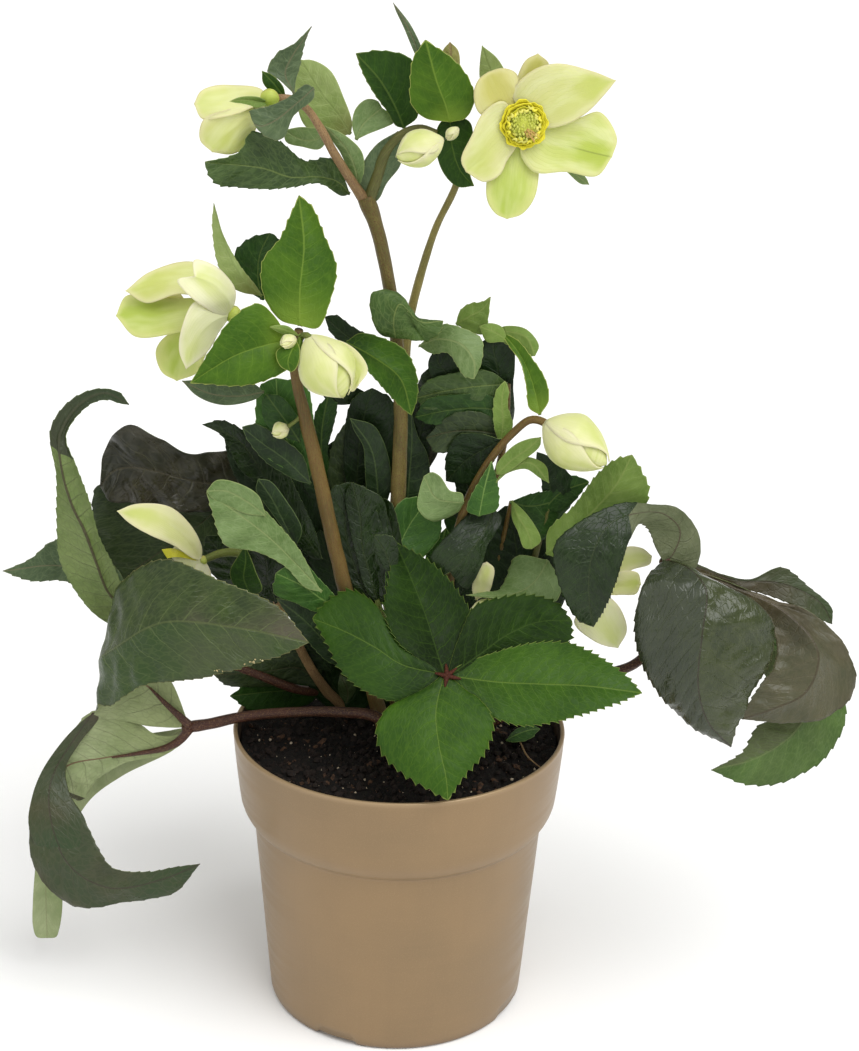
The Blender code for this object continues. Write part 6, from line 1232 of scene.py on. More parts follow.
fill("shade_soil_b", SHADE_PAIR, [(410, 716, 26), (392, 690, 26), (378, 660, 26), (366, 625, 24)],
     [(380, 706), (362, 680), (352, 645)], [(420, 690), (412, 660), (390, 630)], seed=237)
fill("soil_sprout", GREEN_OLD_PAIR, [(346, 703, 2), (348, 693, 1), (345, 683, 0), (340, 675, 0)],
     [(340, 696), (338, 685)], [(353, 695), (357, 685)], seed=238, teeth=None, slot="leaf_underside_green")
# petioles of the leaves that fill the middle
for k, (ux, uy, way, rr) in enumerate([
        (404, 716, [(385, 600, 17), (358, 504, 18.5)], 1.5),
        (400, 712, [(370, 605, 19), (330, 512, 20), (326, 500, 20)], 1.3),
        (416, 716, [(404, 600, 15), (407, 506, 15)], 1.4),
        (440, 716, [(470, 560, 17), (498, 470, 12), (506, 430, 9), (508, 384, 9.5)], 1.5),
        (470, 716, [(515, 622, 13), (548, 508, 13)], 1.6),
        (455, 712, [(486, 610, 19), (505, 530, 15), (511, 502, 7)], 1.1),
        (380, 706, [(350, 640, 5), (350, 616, 4)], 1.4)]):
    fx = on_level(ux, uy, SOIL_Z)
    pts = [np.array((fx[0], fx[1], 113.0)), np.array((fx[0], fx[1], SOIL_Z + 3))] + [at(*w) for w in way]
    stalk("fill_petiole_%d" % k, (), STEM_BROWN if k % 2 else STEM_OLIVE, pts,
          [rr * 1.2] * 2 + [rr] * (len(pts) - 3) + [rr * 0.8], sides=12, seed=300 + k)

# small bracts by the flowers
fill("top_brown", (BROWN_TIP, BROWN_TIP), [(452, 118, 2), (449, 90, 2), (451, 62, 2), (450, 42, 2)],
     [(444, 90), (442, 62), (443, 50)], [(456, 90), (460, 64), (458, 50)], seed=240, teeth=None, slot="young_leaf_green")
fill("top_behind_flower", (PALE_TOP, BRACT_UNDER), [(503, 118, 9), (498, 92, 9), (489, 66, 8), (482, 45.5, 7)],
     [(489, 100), (480, 80), (480, 60)], [(512, 98), (508, 78), (497, 58)], seed=241, teeth=None)
fill("flower_tip_low", GREY_PAIR, [(531, 127, 4), (548, 146, 6.5), (564, 162, 8), (577, 175, 8.5), (589, 184.5, 8.5)],
     [(546, 138), (562, 154), (578, 169), (587, 179)], [(538, 140), (556, 160), (568, 173), (581, 184)], seed=242, teeth=None, slot="young_leaf_green")
stalk("fill_upper_narrow_stem", (), STEM_GREEN, [at(448, 127, 1), at(440, 104, 8), at(428, 80, 11), at(419, 60, 12.2)],
      [1.0, 0.8, 0.7, 0.45], sides=12, seed=311)
fill("ul_narrow", LIGHT_PAIR, [(270, 103, -19), (250, 100, -23), (238, 100, -24), (228, 102, -24)],
     [(258, 97), (240, 97)], [(258, 108), (240, 105)], seed=243, teeth=None, slot="leaf_underside_green")
fill("ul_green", BRACT_SHADED_PAIR, [(286, 100, -14), (276, 86, -15), (262, 71, -16)],
     [(283, 86), (271, 74)], [(277, 97), (263, 83)], seed=244, teeth=None, slot="young_leaf_green")
fill("light_lower", (GREY_TOP, BRACT_UNDER), [(330, 130, -5), (314, 140, -1), (300, 139, 1), (284, 130, 3)],
     [(318, 128), (300, 127)], [(320, 149), (303, 147), (286, 142)], seed=245, teeth=None, slot="leaf_underside_green")
fill("wing_left", (GREY_TOP, BRACT_UNDER), [(358, 192, 1), (356, 172, -1), (347, 150, -3), (325, 126, -8)],
     [(364, 172), (362, 152), (345, 135)], [(348, 170), (340, 152), (332, 140)], seed=246, teeth=None, slot="leaf_underside_green")
fill("wing_right", (GREY_DARK, BRACT_UNDER), [(366, 206, 1.5), (374, 184, 0), (384, 160, -0.5), (398, 131, 0)],
     [(360, 192), (361, 168), (376, 145)], [(378, 200), (387, 183), (400, 166), (404, 146)], seed=247, teeth=None, slot="leaf_underside_green")
fill("behind_bud_mid", SHADE_PAIR, [(392, 356, 8), (366, 348, 10), (345, 334, 11), (325, 317, 11)],
     [(380, 342), (352, 326), (336, 315)], [(372, 360), (346, 346), (330, 332)], seed=248)
fill("hub_narrow_a", LIGHT_PAIR, [(300, 336, -32), (286, 330, -34), (270, 327, -36)],
     [(288, 326), (276, 325)], [(286, 335), (276, 331)], seed=249, teeth=None, slot="leaf_underside_green")
fill("hub_narrow_b", BRACT_PAIR, [(301, 334, -31), (298, 350, -36), (290, 370, -39)],
     [(303, 350), (297, 363)], [(293, 348), (288, 361)], seed=250, teeth=None, slot="young_leaf_green")
fill("white_sepal", (SEPAL, SEPAL), [(476, 600, -4), (481, 582, -5), (487, 562, -6)],
     [(472, 590), (475, 574), (480, 565)], [(488, 594), (493, 580), (494, 568)], seed=251, teeth=None, rib=0.0,
     thick=0.5, slot="sepal_pale_green", pucker=0.2)
fill("ml_inner", (SEPAL_WARM, SEPAL_WARM), [(196, 318, -13), (174, 306, -12), (150, 300, -11), (128, 301, -10)],
     [(176, 290), (146, 286)], [(178, 324), (150, 320)], seed=252, teeth=None, rib=0.0, thick=0.5,
     slot="sepal_pale_green", pucker=0.2)
fill("bud_mid_side", (BUD, BUD), [(322, 344, -34), (345, 353, -34), (360, 368, -34), (358, 386, -35)],
     [(336, 340), (356, 350), (368, 370)], [(330, 366), (346, 384), (352, 392)], seed=253, teeth=None, rib=0.0,
     thick=0.5, slot="sepal_pale_green", pucker=0.1)
fill("curl_outer", (OLD_BROWN, LOW_UNDER), [(93, 713, -8.5), (73, 741, -10), (56, 768, -14), (49, 792, -20), (52, 825, -26.8), (64, 858, -29.8)],
     [(81, 722, -8.5), (61, 743, -10), (42, 771, -15.5), (32, 797, -21.5), (29, 826, -26), (44, 856, -28)],
     [(99, 716, -8), (79, 744, -9.5), (66, 768, -12.5), (70, 794, -18.5), (86, 822, -25.4), (84, 850, -29)], seed=254,
     teeth=None, crumple=0.3, pucker=0.2)
fill("ll_down_front", (SEPAL_WHITE, SEPAL_WHITE), [(176, 545, -17), (187, 558, -18), (198, 573, -19), (211, 589, -20)],
     [(170, 553, -17), (180, 567, -18), (194, 582, -19)], [(188, 545, -17), (202, 557, -18), (211, 573, -19)],
     seed=255, teeth=None, rib=0.0, thick=0.5, slot="sepal_pale_green", pucker=0.1, crumple=0.2)
# more shade in the gaps between the stalks
fill("gap_a", SHADE_PAIR, [(332, 504, 23), (330, 480, 23), (330, 458, 23), (334, 441, 23)],
     [(317, 486), (316, 456)], [(350, 486), (348, 456)], seed=261)
fill("gap_b", SHADE_PAIR, [(318, 388, 18), (334, 395, 19), (352, 398, 20), (372, 396, 21)],
     [(330, 384), (352, 386)], [(330, 403), (352, 404)], seed=262, teeth=None)
fill("gap_c", GREEN_PAIR, [(476, 566, 21), (466, 540, 21), (456, 518, 20), (450, 500, 19)],
     [(450, 552), (446, 530), (444, 512)], [(494, 552), (482, 530), (466, 508)], seed=263)
fill("gap_d", SHADE_PAIR, [(334, 548, 12), (324, 520, 13), (316, 500, 14), (312, 480, 15)],
     [(312, 530), (304, 505)], [(348, 530), (338, 505)], seed=264)
fill("gap_e", SHADE_PAIR, [(332, 610, 9), (312, 565, 9), (298, 520, 8), (284, 476, 6)],
     [(298, 592), (274, 555), (266, 515), (270, 485)], [(346, 582), (336, 545), (322, 505), (304, 478)], seed=265, pucker=0.9)
fill("gap_f", GLOSS_PAIR, [(282, 622, 4), (256, 594, 4), (232, 566, 3), (206, 536, 1)],
     [(252, 612), (228, 590), (204, 562)], [(290, 596), (262, 566), (230, 536)], seed=266, pucker=0.9)
fill("gap_g", FRESH_PAIR, [(432, 592, 17), (440, 562, 18), (443, 540, 18), (446, 528, 18)],
     [(424, 565), (434, 540)], [(458, 565), (456, 545)], seed=267)
fill("gap_h", SHADE_PAIR, [(440, 642, 13), (452, 612, 13), (464, 588, 13), (472, 560, 13)],
     [(432, 612), (446, 582)], [(476, 616), (486, 590)], seed=268)
fill("gap_i", SHADE_PAIR, [(414, 474, 19), (418, 446, 19), (424, 420, 18), (432, 396, 17)],
     [(406, 452), (408, 424), (418, 404)], [(426, 462), (432, 438), (440, 412)], seed=269)
fill("gap_j", SHADE_PAIR, [(472, 512, 11), (468, 488, 12), (462, 468, 12), (452, 452, 12)],
     [(458, 496), (453, 474), (448, 460)], [(486, 494), (482, 472), (470, 458)], seed=270)
fill("gap_k", SHADE_PAIR, [(284, 542, 8), (272, 520, 7), (262, 505, 7), (250, 490, 8)],
     [(270, 530), (256, 514), (248, 500)], [(288, 522), (276, 504), (260, 492)], seed=271)
fill("gap_l", SHADE_PAIR, [(332, 672, 14), (316, 655, 13), (303, 642, 12), (286, 628, 12)],
     [(312, 666), (296, 650)], [(328, 648), (308, 630)], seed=272)
fill("gap_m", SHADE_PAIR, [(324, 506, 8), (316, 488, 7), (310, 472, 6), (304, 452, 5)],
     [(306, 492), (300, 472)], [(326, 484), (318, 464)], seed=273)
# the two dark veins that leave the lower left hub along the undersides
stalk("low_left_vein_up", "leaf_lower_left", PETIOLE, [at(190, 726, -13), at(178, 715, -12.2), at(165, 703, -10.2), at(150, 688, -8.0)],
      [2.1, 1.5, 1.0, 0.5], sides=14, seed=18, step=1.0)
stalk("low_left_vein_down", "leaf_lower_left", PETIOLE, [at(190, 728, -13), at(179, 741, -13.2), at(165, 748, -13), at(140, 753, -12), at(112, 757.5, -10.4)],
      [2.3, 1.8, 1.3, 0.8, 0.4], sides=14, seed=19, step=1.0)
# grit caught on the lower edge of the big left leaf
GRIT = stalk_look("grit_cream", c(214, 204, 160), c(176, 160, 112), c(140, 120, 80), c(228, 220, 184))
rg = random.Random(77)
for k in range(22):
    u = rg.uniform(213, 263)
    inside = rg.uniform(0.6, 4.2)
    p = at(u, 675.2 - (u - 213) * 0.275 - inside, -48.0 + (u - 207) * 0.025 - 0.85)
    r = rg.uniform(0.16, 0.42)
    pod("grit_%02d" % k, "leaf_lower_left", GRIT, p - (r * 1.2, 0, 0), p + (r * 1.2, 0, 0), r, fat=0.5, sides=8, rings=6,
        lumps=0.25, seed=k)

# -------------------------------------------------------------------- stalks


def foot(u, v):
    p = on_level(u, v, SOIL_Z)
    return p[0], p[1]


def root(x, y):
    return np.array((x, y, 113.0))


def above(x, y, dz=3.0):
    return np.array((x, y, SOIL_Z + dz))


A_ROOT, B_ROOT, C_ROOT = foot(398, 733), foot(413, 714), foot(388, 752)
D_ROOT, E_ROOT, F_ROOT = foot(446, 728), foot(342, 714), foot(444, 762)
L_ROOT, K_ROOT, J_ROOT = foot(413, 756), foot(371, 698), foot(394, 692)
R_ROOT, G_ROOT = foot(466, 748), foot(425, 738)

stalk("stalk_tall", "stem_tall", STEM,
      [root(*A_ROOT), above(*A_ROOT), at(396, 560, 8), at(399, 480, 7), at(401, 415, 6),
       at(397, 345, 5), at(390, 290, 3), at(376, 225, 1), at(365, 197, 0)],
      [4.0, 3.7, 3.5, 3.4, 3.3, 3.0, 2.8, 2.8, 3.1], seed=1, swell=[(0.985, 0.6, 0.02)])
stalk("stalk_tall_left", "stem_tall", STEM_TAN,
      [at(370, 208, 1.5), at(352, 182, -3), at(335, 155, -7), at(319, 126, -11),
       at(305, 107, -14), at(291, 99, -15), at(277, 98, -15.5)],
      [2.5, 2.1, 1.9, 1.8, 1.7, 1.5, 1.6], seed=2, swell=[(0.0, 0.4, 0.1)])
stalk("stalk_tall_right", "stem_tall", STEM_OLIVE,
      [at(366, 208, 1), at(376, 180, 0), at(386, 152, 0), at(402, 134, 0), at(420, 128, 0),
       at(437, 133, -1)],
      [2.5, 2.5, 2.3, 1.9, 1.6, 1.4], seed=3)
stalk("stalk_thin", "stem_thin", STEM_THIN,
      [root(*B_ROOT), above(*B_ROOT), at(405, 500, 24), at(404, 400, 22), at(408, 330, 19),
       at(414, 300, 17), at(435, 230, 13), at(455, 188, 11), at(466, 152, 10),
       at(485, 130, 10), at(505, 124, 9), at(513, 124, 6)],
      [2.6, 2.5, 2.4, 2.3, 2.2, 2.2, 2.1, 2.1, 1.8, 1.5, 1.5, 1.9], seed=4)
stalk("stalk_left", "stem_left", STEM_BROWN,
      [root(*C_ROOT), above(*C_ROOT), at(374, 694, -8), at(348, 600, -9), at(330, 525, -17),
       at(318, 470, -19), at(304, 412, -22), at(296, 375, -24), at(297, 345, -26),
       at(299, 330, -28)],
      [3.6, 3.5, 3.4, 3.3, 3.3, 3.2, 3.1, 3.0, 2.2, 1.8], seed=5, swell=[(0.93, 0.5, 0.03)])
stalk("stalk_left_flower", "stem_left", STEM_GREEN,
      [at(297, 350, -25.5), at(286, 338, -24), at(268, 330, -21), at(252, 322, -19.5), at(238, 315, -19)],
      [1.5, 1.3, 1.2, 1.2, 1.4], seed=6)
stalk("stalk_left_bud", "stem_left", STEM_GREEN,
      [at(298, 346, -26), at(301, 338, -30), at(306, 335, -34), at(312, 340, -36)],
      [1.4, 1.3, 1.3, 1.5], seed=7)
stalk("stalk_left_small_bud", "stem_left", STEM_GREEN,
      [at(303, 414, -21), at(297, 420, -21), at(286, 428, -21)],
      [1.0, 0.8, 0.9], sides=12, seed=8)
stalk("stalk_right", "stem_right", STEM_BROWN,
      [root(*D_ROOT), above(*D_ROOT), at(452, 560, 6), at(468, 500, 2), at(490, 460, -3),
       at(512, 434, -6), at(530, 420, -8), at(541, 421, -10), at(549, 426, -12)],
      [2.6, 2.5, 2.3, 2.1, 2.0, 1.9, 1.8, 1.6, 1.8], seed=9)
stalk("stalk_low", "stem_low", STEM_TAN,
      [root(*E_ROOT), above(*E_ROOT), at(326, 690, 17), at(308, 663, 10), at(286, 620, 0),
       at(262, 575, -8), at(245, 556, -12), at(228, 552, -14), at(212, 557, -16), at(204, 560, -17)],
      [2.6, 2.6, 2.4, 2.2, 2.0, 1.7, 1.5, 1.3, 1.3, 1.5], seed=10)
stalk("stalk_front", "leaf_front", PETIOLE,
      [root(*F_ROOT), above(*F_ROOT), np.array((9, -28, 160)), front.at(448, 677, -3.0),
       front.at(447, 674, 0.6)],
      [1.9, 1.8, 1.7, 1.8, 1.6], seed=11)
stalk("stalk_lower_left", "leaf_lower_left", PETIOLE,
      [root(*L_ROOT), above(*L_ROOT, 2), at(396, 730, -22), at(374, 716, -22), at(340, 712, -17),
       at(300, 712, -12), at(265, 714, -8), at(236, 718, -8), at(208, 724, -10), at(187, 727, -12)],
      [2.6, 2.6, 2.6, 2.5, 2.4, 2.3, 2.3, 2.3, 2.5, 2.2], seed=12,
      swell=[(0.97, 0.5, 0.03)])
stalk("stalk_far_left", "leaf_left", PETIOLE,
      [root(*K_ROOT), above(*K_ROOT, 2), at(300, 690, 18), at(240, 668, 12), at(185, 655, 7),
       at(141, 636, 3)],
      [2.4, 2.3, 2.2, 2.0, 1.9, 1.9], seed=13)
stalk("stalk_brown", "leaf_left_brown", PETIOLE,
      [root(*J_ROOT), above(*J_ROOT, 2), np.array((-38, 32, 170)), at(262, 520, 26), at(236, 484, 20)],
      [2.2, 2.1, 1.9, 1.7, 1.6], seed=14)
stalk("stalk_right_leaf", "leaf_right", PETIOLE,
      [root(*R_ROOT), above(*R_ROOT, 2), at(540, 698, -22), at(600, 676, -19), at(636, 663, -16),
       at(660, 635, -9), at(668, 595, -7), at(666, 562, -12)],
      [2.6, 2.5, 2.3, 2.2, 2.2, 2.1, 2.0, 2.4], seed=15)
stalk("stalk_middle_left", "leaf_middle_left", STEM_GREEN,
      [root(*G_ROOT), above(*G_ROOT, 2), at(410, 690, -8), at(388, 630, -10), at(377, 600, -10)],
      [2.0, 1.9, 1.7, 1.5, 1.2], sides=14, seed=16)

# where leaflets meet on their stalks
for label, node, place, r in (("lower_left", "leaf_lower_left", at(188, 727, -12), 3.0),
                              ("far_left", "leaf_left", at(141, 636, 3), 2.5),
                              ("brown", "leaf_left_brown", at(237, 486, 20), 2.3),
                              ("right", "leaf_right", at(666, 562, -11), 3.0)):
    pod("hub_" + label, node, PETIOLE, place - (0, 0, r), place + (0, 0, r), r, fat=0.5, sides=16,
        rings=10, lumps=0.08, seed=len(label))
HUB = stalk_look("hub_dark_red", c(62, 20, 6), c(38, 13, 5), c(88, 42, 14), c(74, 30, 10), rough=0.7)
hub_c = front.at(447, 676, 0.4)
pod("hub_front", "leaf_front", HUB, hub_c - front.normal * 2.2, hub_c + front.normal * 1.4, 2.1, fat=0.55,
    sides=18, rings=10, lumps=0.10, seed=4, flat=0.9)
for k, (u, v, rr) in enumerate([(446, 664, 0.8), (435, 673, 0.8), (445, 687, 0.9), (461, 679, 0.9), (457, 668, 0.8)]):
    stalk("hub_front_vein_%d" % k, "leaf_front", HUB,
          [front.at(447, 676, 1.2), front.at((447 + u) / 2, (676 + v) / 2, 1.3), front.at(u, v, 0.9 + 0.1 * k)],
          [1.2, 0.9, 0.4], sides=10, seed=20 + k, step=0.8)

# ---------------------------------------------------------------------- buds


def bud(name, node, a, b, radius, fat, petals=3, turn=20, seed=1, look=None, gap=0.22, power=0.75):
    """A bud: a core with sepals that wrap over one another."""
    look = look or BUD
    a, b = np.array(a, float), np.array(b, float)
    pod(name + "_core", node, look, a, a + (b - a) * 0.985, radius * 0.93, fat=fat, seed=seed, power=power)
    for k in range(petals):
        petal_shell("%s_petal_%d" % (name, k), node, look, a, b, radius - 0.5, fat,
                    turn + k * 360.0 / petals * 2, 74, lift=0.12 + gap * (k % 3), u0=0.0,
                    u1=0.985 - 0.02 * (k % 2), seed=seed + k, power=power)


bud("bud_up", "bud_upper", at(443, 139, -15), at(396, 158, -22), 7.4, 0.5, turn=70, seed=3, gap=0.08)
bud("bud_mid", "bud_middle", at(308, 336, -34), at(345, 398, -41), 11.4, 0.5, turn=60, seed=5)
bud("bud_rgt", "bud_right", at(544, 423, -12), at(608, 465, -16), 11.8, 0.42, turn=80, seed=7)
bud("bud_sml", "bud_small_left", at(288, 427, -20), at(272, 434, -23), 3.4, 0.45, petals=3, turn=80, seed=9, gap=0.15)
bud("bud_tny", "bud_tiny_hub", at(295, 338, -33.5), at(281, 345, -40), 2.8, 0.45, petals=3, turn=80, seed=11, gap=0.12)

stalk("stalk_low_pedicel", "flower_low_left", STEM_GREEN,
      [at(250, 560, -11.5), at(238, 553, -13.5), at(222, 553, -15), at(208, 558, -16.8), at(201, 561, -17.6)],
      [1.7, 1.9, 1.8, 1.7, 1.5], sides=14, seed=17)
# green knobs where nodding flowers meet their stalks
for label, node, a, b, r in (("ul", "flower_upper_left", at(280, 98, -16), at(258, 99, -18), 4.0),
                             ("ml", "flower_middle_left", at(242, 317, -19), at(224, 312, -20), 3.8),
                             ("ll", "flower_low_left", at(208, 559, -17), at(199, 561, -18), 2.0),
                             ("rf", "flower_right", at(590, 578, -4), at(603, 594, -7), 3.2)):
    pod("knob_" + label, node, PISTIL, a, b, r, fat=0.45, sides=20, rings=12,
        lumps=0.05, seed=3)

# --------------------------------------------------------- the open flower's centre
YELLOW = stalk_look("nectary_yellow", c(220, 214, 58), c(196, 192, 40), c(230, 222, 84), c(232, 226, 106), speck_amt=0.4)
LIME = stalk_look("nectary_lime", c(198, 202, 84), c(176, 184, 62), c(208, 208, 96), c(212, 212, 112), speck_amt=0.4)
ANTHER = stalk_look("anther_cream", c(206, 208, 104), c(188, 194, 78), c(216, 214, 128), c(220, 218, 140), speck_amt=0.4)
THREAD = stalk_look("filament_pale", c(214, 214, 140), c(196, 200, 110), c(206, 150, 120), c(226, 220, 150))
FLESH = stalk_look("style_pink", c(206, 170, 96), c(190, 142, 86), c(214, 176, 112), c(208, 166, 104))
rng = random.Random(5)
bx = unit(np.cross(bloom.normal, np.array((0, 0, 1.0))))
by = np.cross(bx, bloom.normal)
by = -by if by[2] < 0 else by
centre = bloom.at(523, 124, 0.0)


def in_bloom(x, y, h):
    return centre + bx * x + by * y + bloom.normal * h


def collar(name, look, r_low, r_top, tall, folds, deep, lip, seed, thick=0.5, around=360, lean=0.0):
    """A ruffled cup of fused nectaries: a wall that opens upwards, gathered into
    folds, with a lip that rolls back."""
    rg = random.Random(seed)
    ph = [rg.uniform(0, 2 * pi) for _ in range(6)]
    pts, uv = [], []
    prof = [(0.0, 0.0), (0.25, 0.22), (0.5, 0.45), (0.72, 0.66), (0.88, 0.84), (0.97, 0.95), (1.0, 1.0),
            (1.0 - lip * 0.35, 1.02), (1.0 - lip * 0.8, 0.94), (1.0 - lip, 0.82)]
    for side in (0, 1):
        for p, (fr, fh) in enumerate(prof):
            for q in range(around):
                a = 2 * pi * q / around
                wav = sin(folds * a + ph[0] + 0.9 * sin(3 * a + ph[1])) + 0.45 * sin(folds * 2.3 * a + ph[2])
                pinch = -abs(sin(folds * a / 2 + ph[3])) ** 6
                k = fh ** 1.3
                r = r_low + (r_top - r_low) * fr + deep * wav * k * 0.5 + pinch * deep * k
                h = tall * fh + 0.35 * deep * k * sin(folds * 1.6 * a + ph[4]) + lean * cos(a + ph[5])
                r -= side * thick * (1.0 if p < 7 else -0.6)
                h -= side * thick * (0.3 if p < 6 else 0.9)
                pts.append(in_bloom(cos(a) * r, sin(a) * r, h))
    n = len(prof)
    faces = []
    for side in (0, 1):
        for p in range(n - 1):
            for q in range(around):
                w = (q + 1) % around
                x = (side * n + p) * around
                quad = (x + q, x + w, x + around + w, x + around + q)
                faces.append(quad if side else quad[::-1])
    for p, flip in ((0, False), (n - 1, True)):
        for q in range(around):
            w = (q + 1) % around
            x, y = p * around, (n + p) * around
            quad = (x + q, x + w, y + w, y + q)
            faces.append(quad[::-1] if flip else quad)
    return finish_piece(name, np.array(pts, float), faces, [look], "flower_centre")


# A brighter copy of the nectary yellow: painted light on the outer collars, whose outer walls face away into shade.
NECTARY_LIT = stalk_look("nectary_yellow_painted_light", c(240, 230, 66), c(226, 216, 46), c(242, 236, 126), c(238, 232, 104), speck_amt=0.5)
pod("bloom_base", "flower_centre", LIME, in_bloom(0, 0, -1.5), in_bloom(0, 0, 6.3), 6.9, fat=0.46, sides=32,
    rings=14, lumps=0.06, seed=2)
collar("nectary_collar", NECTARY_LIT, 6.4, 9.7, 3.2, 8, 0.6, 0.12, 3, lean=0.3)
collar("nectary_collar_mid", NECTARY_LIT, 6.0, 8.4, 4.0, 7, 0.6, 0.10, 4, lean=-0.3)
collar("nectary_collar_inner", YELLOW, 5.4, 7.1, 4.9, 6, 0.7, 0.16, 5, lean=0.35)
PALE_YELLOW = stalk_look("nectary_frill", c(224, 218, 112), c(208, 202, 78), c(230, 226, 150), c(228, 224, 134), speck_amt=0.4)
for k in range(26):
    a = 2 * pi * k / 26 + rng.uniform(-0.1, 0.1)
    r0, h = rng.uniform(5.6, 7.4), rng.uniform(4.4, 5.4)
    ca, sa = cos(a), sin(a)
    tx, ty = -sa, ca
    w = rng.uniform(0.7, 1.2)
    stalk("nectary_frill_%02d" % k, "flower_centre", PALE_YELLOW if k % 3 else NECTARY_LIT,
          [in_bloom(ca * (r0 + 0.2) - tx * w, sa * (r0 + 0.2) - ty * w, h - 1.0),
           in_bloom(ca * (r0 - 0.5) - tx * w * 0.5, sa * (r0 - 0.5) - ty * w * 0.5, h),
           in_bloom(ca * (r0 - 0.7), sa * (r0 - 0.7), h + 0.3),
           in_bloom(ca * (r0 - 0.4) + tx * w * 0.5, sa * (r0 - 0.4) + ty * w * 0.5, h),
           in_bloom(ca * (r0 + 0.3) + tx * w, sa * (r0 + 0.3) + ty * w, h - 1.0)],
          [0.3, 0.5, 0.55, 0.5, 0.3], sides=10, seed=30 + k, step=0.4, uneven=0.16)
for k in range(84):
    a = 2 * pi * k * 0.381966 + 0.2
    rr = 5.6 * sqrt((k + 0.5) / 84)
    ca, sa = cos(a), sin(a)
    hh = rng.uniform(5.0, 6.4) - 0.12 * rr
    tipp = in_bloom(ca * rr + rng.uniform(-.3, .3), sa * rr + rng.uniform(-.3, .3), hh)
    stalk("filament_%02d" % k, "flower_centre", THREAD,
          [in_bloom(ca * rr * 0.7, sa * rr * 0.7, 2.5), in_bloom(ca * rr * 0.92, sa * rr * 0.92, hh * 0.6), tipp],
          [0.3, 0.24, 0.2], sides=6, seed=60 + k, step=1.2, uneven=0.0, ribs=0.0)
    d = unit(bloom.normal + bx * rng.uniform(-0.9, 0.9) + by * rng.uniform(-0.9, 0.9))
    e = unit(np.cross(d, bx))
    pod("anther_%02d" % k, "flower_centre", (ANTHER, LIME, ANTHER)[k % 3], tipp - e * 0.75, tipp + e * 0.75, 0.5,
        fat=0.5, sides=10, rings=7, lumps=0.1, seed=k)
for k in range(18):
    u0, v0 = rng.uniform(523, 532), rng.uniform(127, 133)
    u1, v1 = u0 + rng.uniform(3, 10), v0 + rng.uniform(4, 11)
    stalk("style_%02d" % k, "flower_centre", FLESH,
          [bloom.at(u0, v0, 4.5), bloom.at((u0 + u1) / 2, (v0 + v1) / 2, 6.4), bloom.at(u1, v1, 6.2)],
          [0.15, 0.13, 0.11], sides=8, seed=90 + k, step=0.5)
# stamens of the low left flower
for k in range(9):
    x = k / 8
    stalk("low_stamen_%d" % k, "flower_low_left", YELLOW,
          [at(196, 560, -18.5), at(184 - 3 * x, 553 + 4 * x, -19.5), at(172 - 4 * sin(3 * x), 549 + 8 * x, -20),
           at(162 + 5 * x, 550 + 8 * x, -20)],
          [0.34, 0.24, 0.2, 0.3], sides=8, seed=120 + k, step=0.7)

# ----------------------------------------------------------------------- pot


def pot_look():
    n = Nodes("pot_bronze", rough=0.36, spec=0.5, metal=0.25)
    where = n.place()
    big = n.noise(where, 14.0, 3.0)
    sep = n.new("ShaderNodeSeparateXYZ")
    n.plug(sep.inputs[0], where)
    z = n.math('MULTIPLY', sep.outputs[2], 1000.0)
    streak = n.noise(n.vec(n.math('MULTIPLY', sep.outputs[0], 14.0), n.math('MULTIPLY', sep.outputs[1], 14.0),
                           n.math('MULTIPLY', sep.outputs[2], 260.0)), 1.0, 4.0, 0.6)
    flow = n.noise(n.vec(n.math('MULTIPLY', sep.outputs[0], 180.0), n.math('MULTIPLY', sep.outputs[1], 180.0),
                         n.math('MULTIPLY', sep.outputs[2], 9.0)), 1.0, 3.0, 0.5)
    flake = n.noise(where, 2600.0, 2.0, 0.7)
    col = n.mix(n.span(big, 0.3, 0.7), c(140, 115, 82), c(130, 108, 78))
    col = n.mix(n.math('MULTIPLY', n.span(streak, 0.4, 0.7), 0.12), col, c(150, 124, 92))
    col = n.mix(n.math('MULTIPLY', n.span(flow, 0.45, 0.75), 0.12), col, c(124, 100, 72))
    col = n.mix(n.math('MULTIPLY', n.span(flake, 0.5, 0.72), 0.3), col, c(164, 138, 104))
    # Painted shade: darker over the lowest 5 mm, where the pot stands on the floor.
    col = n.mix(n.span(z, 0.0, 5.0, 0.5, 0.0), col, c(96, 78, 62))
    # Painted highlight: a paler band along the top of the rim.
    col = n.mix(n.math('MULTIPLY', n.span(z, 131.5, 134.0), 0.45), col, c(170, 146, 112))
    n.colour(col)
    n.rough(n.math('ADD', n.span(streak, 0.3, 0.7, 0.30, 0.40), n.span(flake, 0.4, 0.7, 0.0, 0.08)))
    h = n.math('ADD', n.math('MULTIPLY', streak, 0.8), n.math('MULTIPLY', flake, 0.25))
    n.bump(h, 0.12, 0.0005)
    return n.mat


def pot_inside_look():
    n = Nodes("pot_inside_dark", rough=0.55, spec=0.4)
    where = n.place()
    inside_mottle = n.noise(where, 160.0, 4.0, 0.65)
    # The inside is coloured darker than the outside, mottled between two browns.
    col = n.mix(n.span(inside_mottle, 0.42, 0.6), c(74, 60, 48), c(34, 26, 22))
    n.colour(col)
    n.rough(n.span(inside_mottle, 0.4, 0.6, 0.45, 0.8))
    n.bump(inside_mottle, 0.3, 0.0008)
    return n.mat


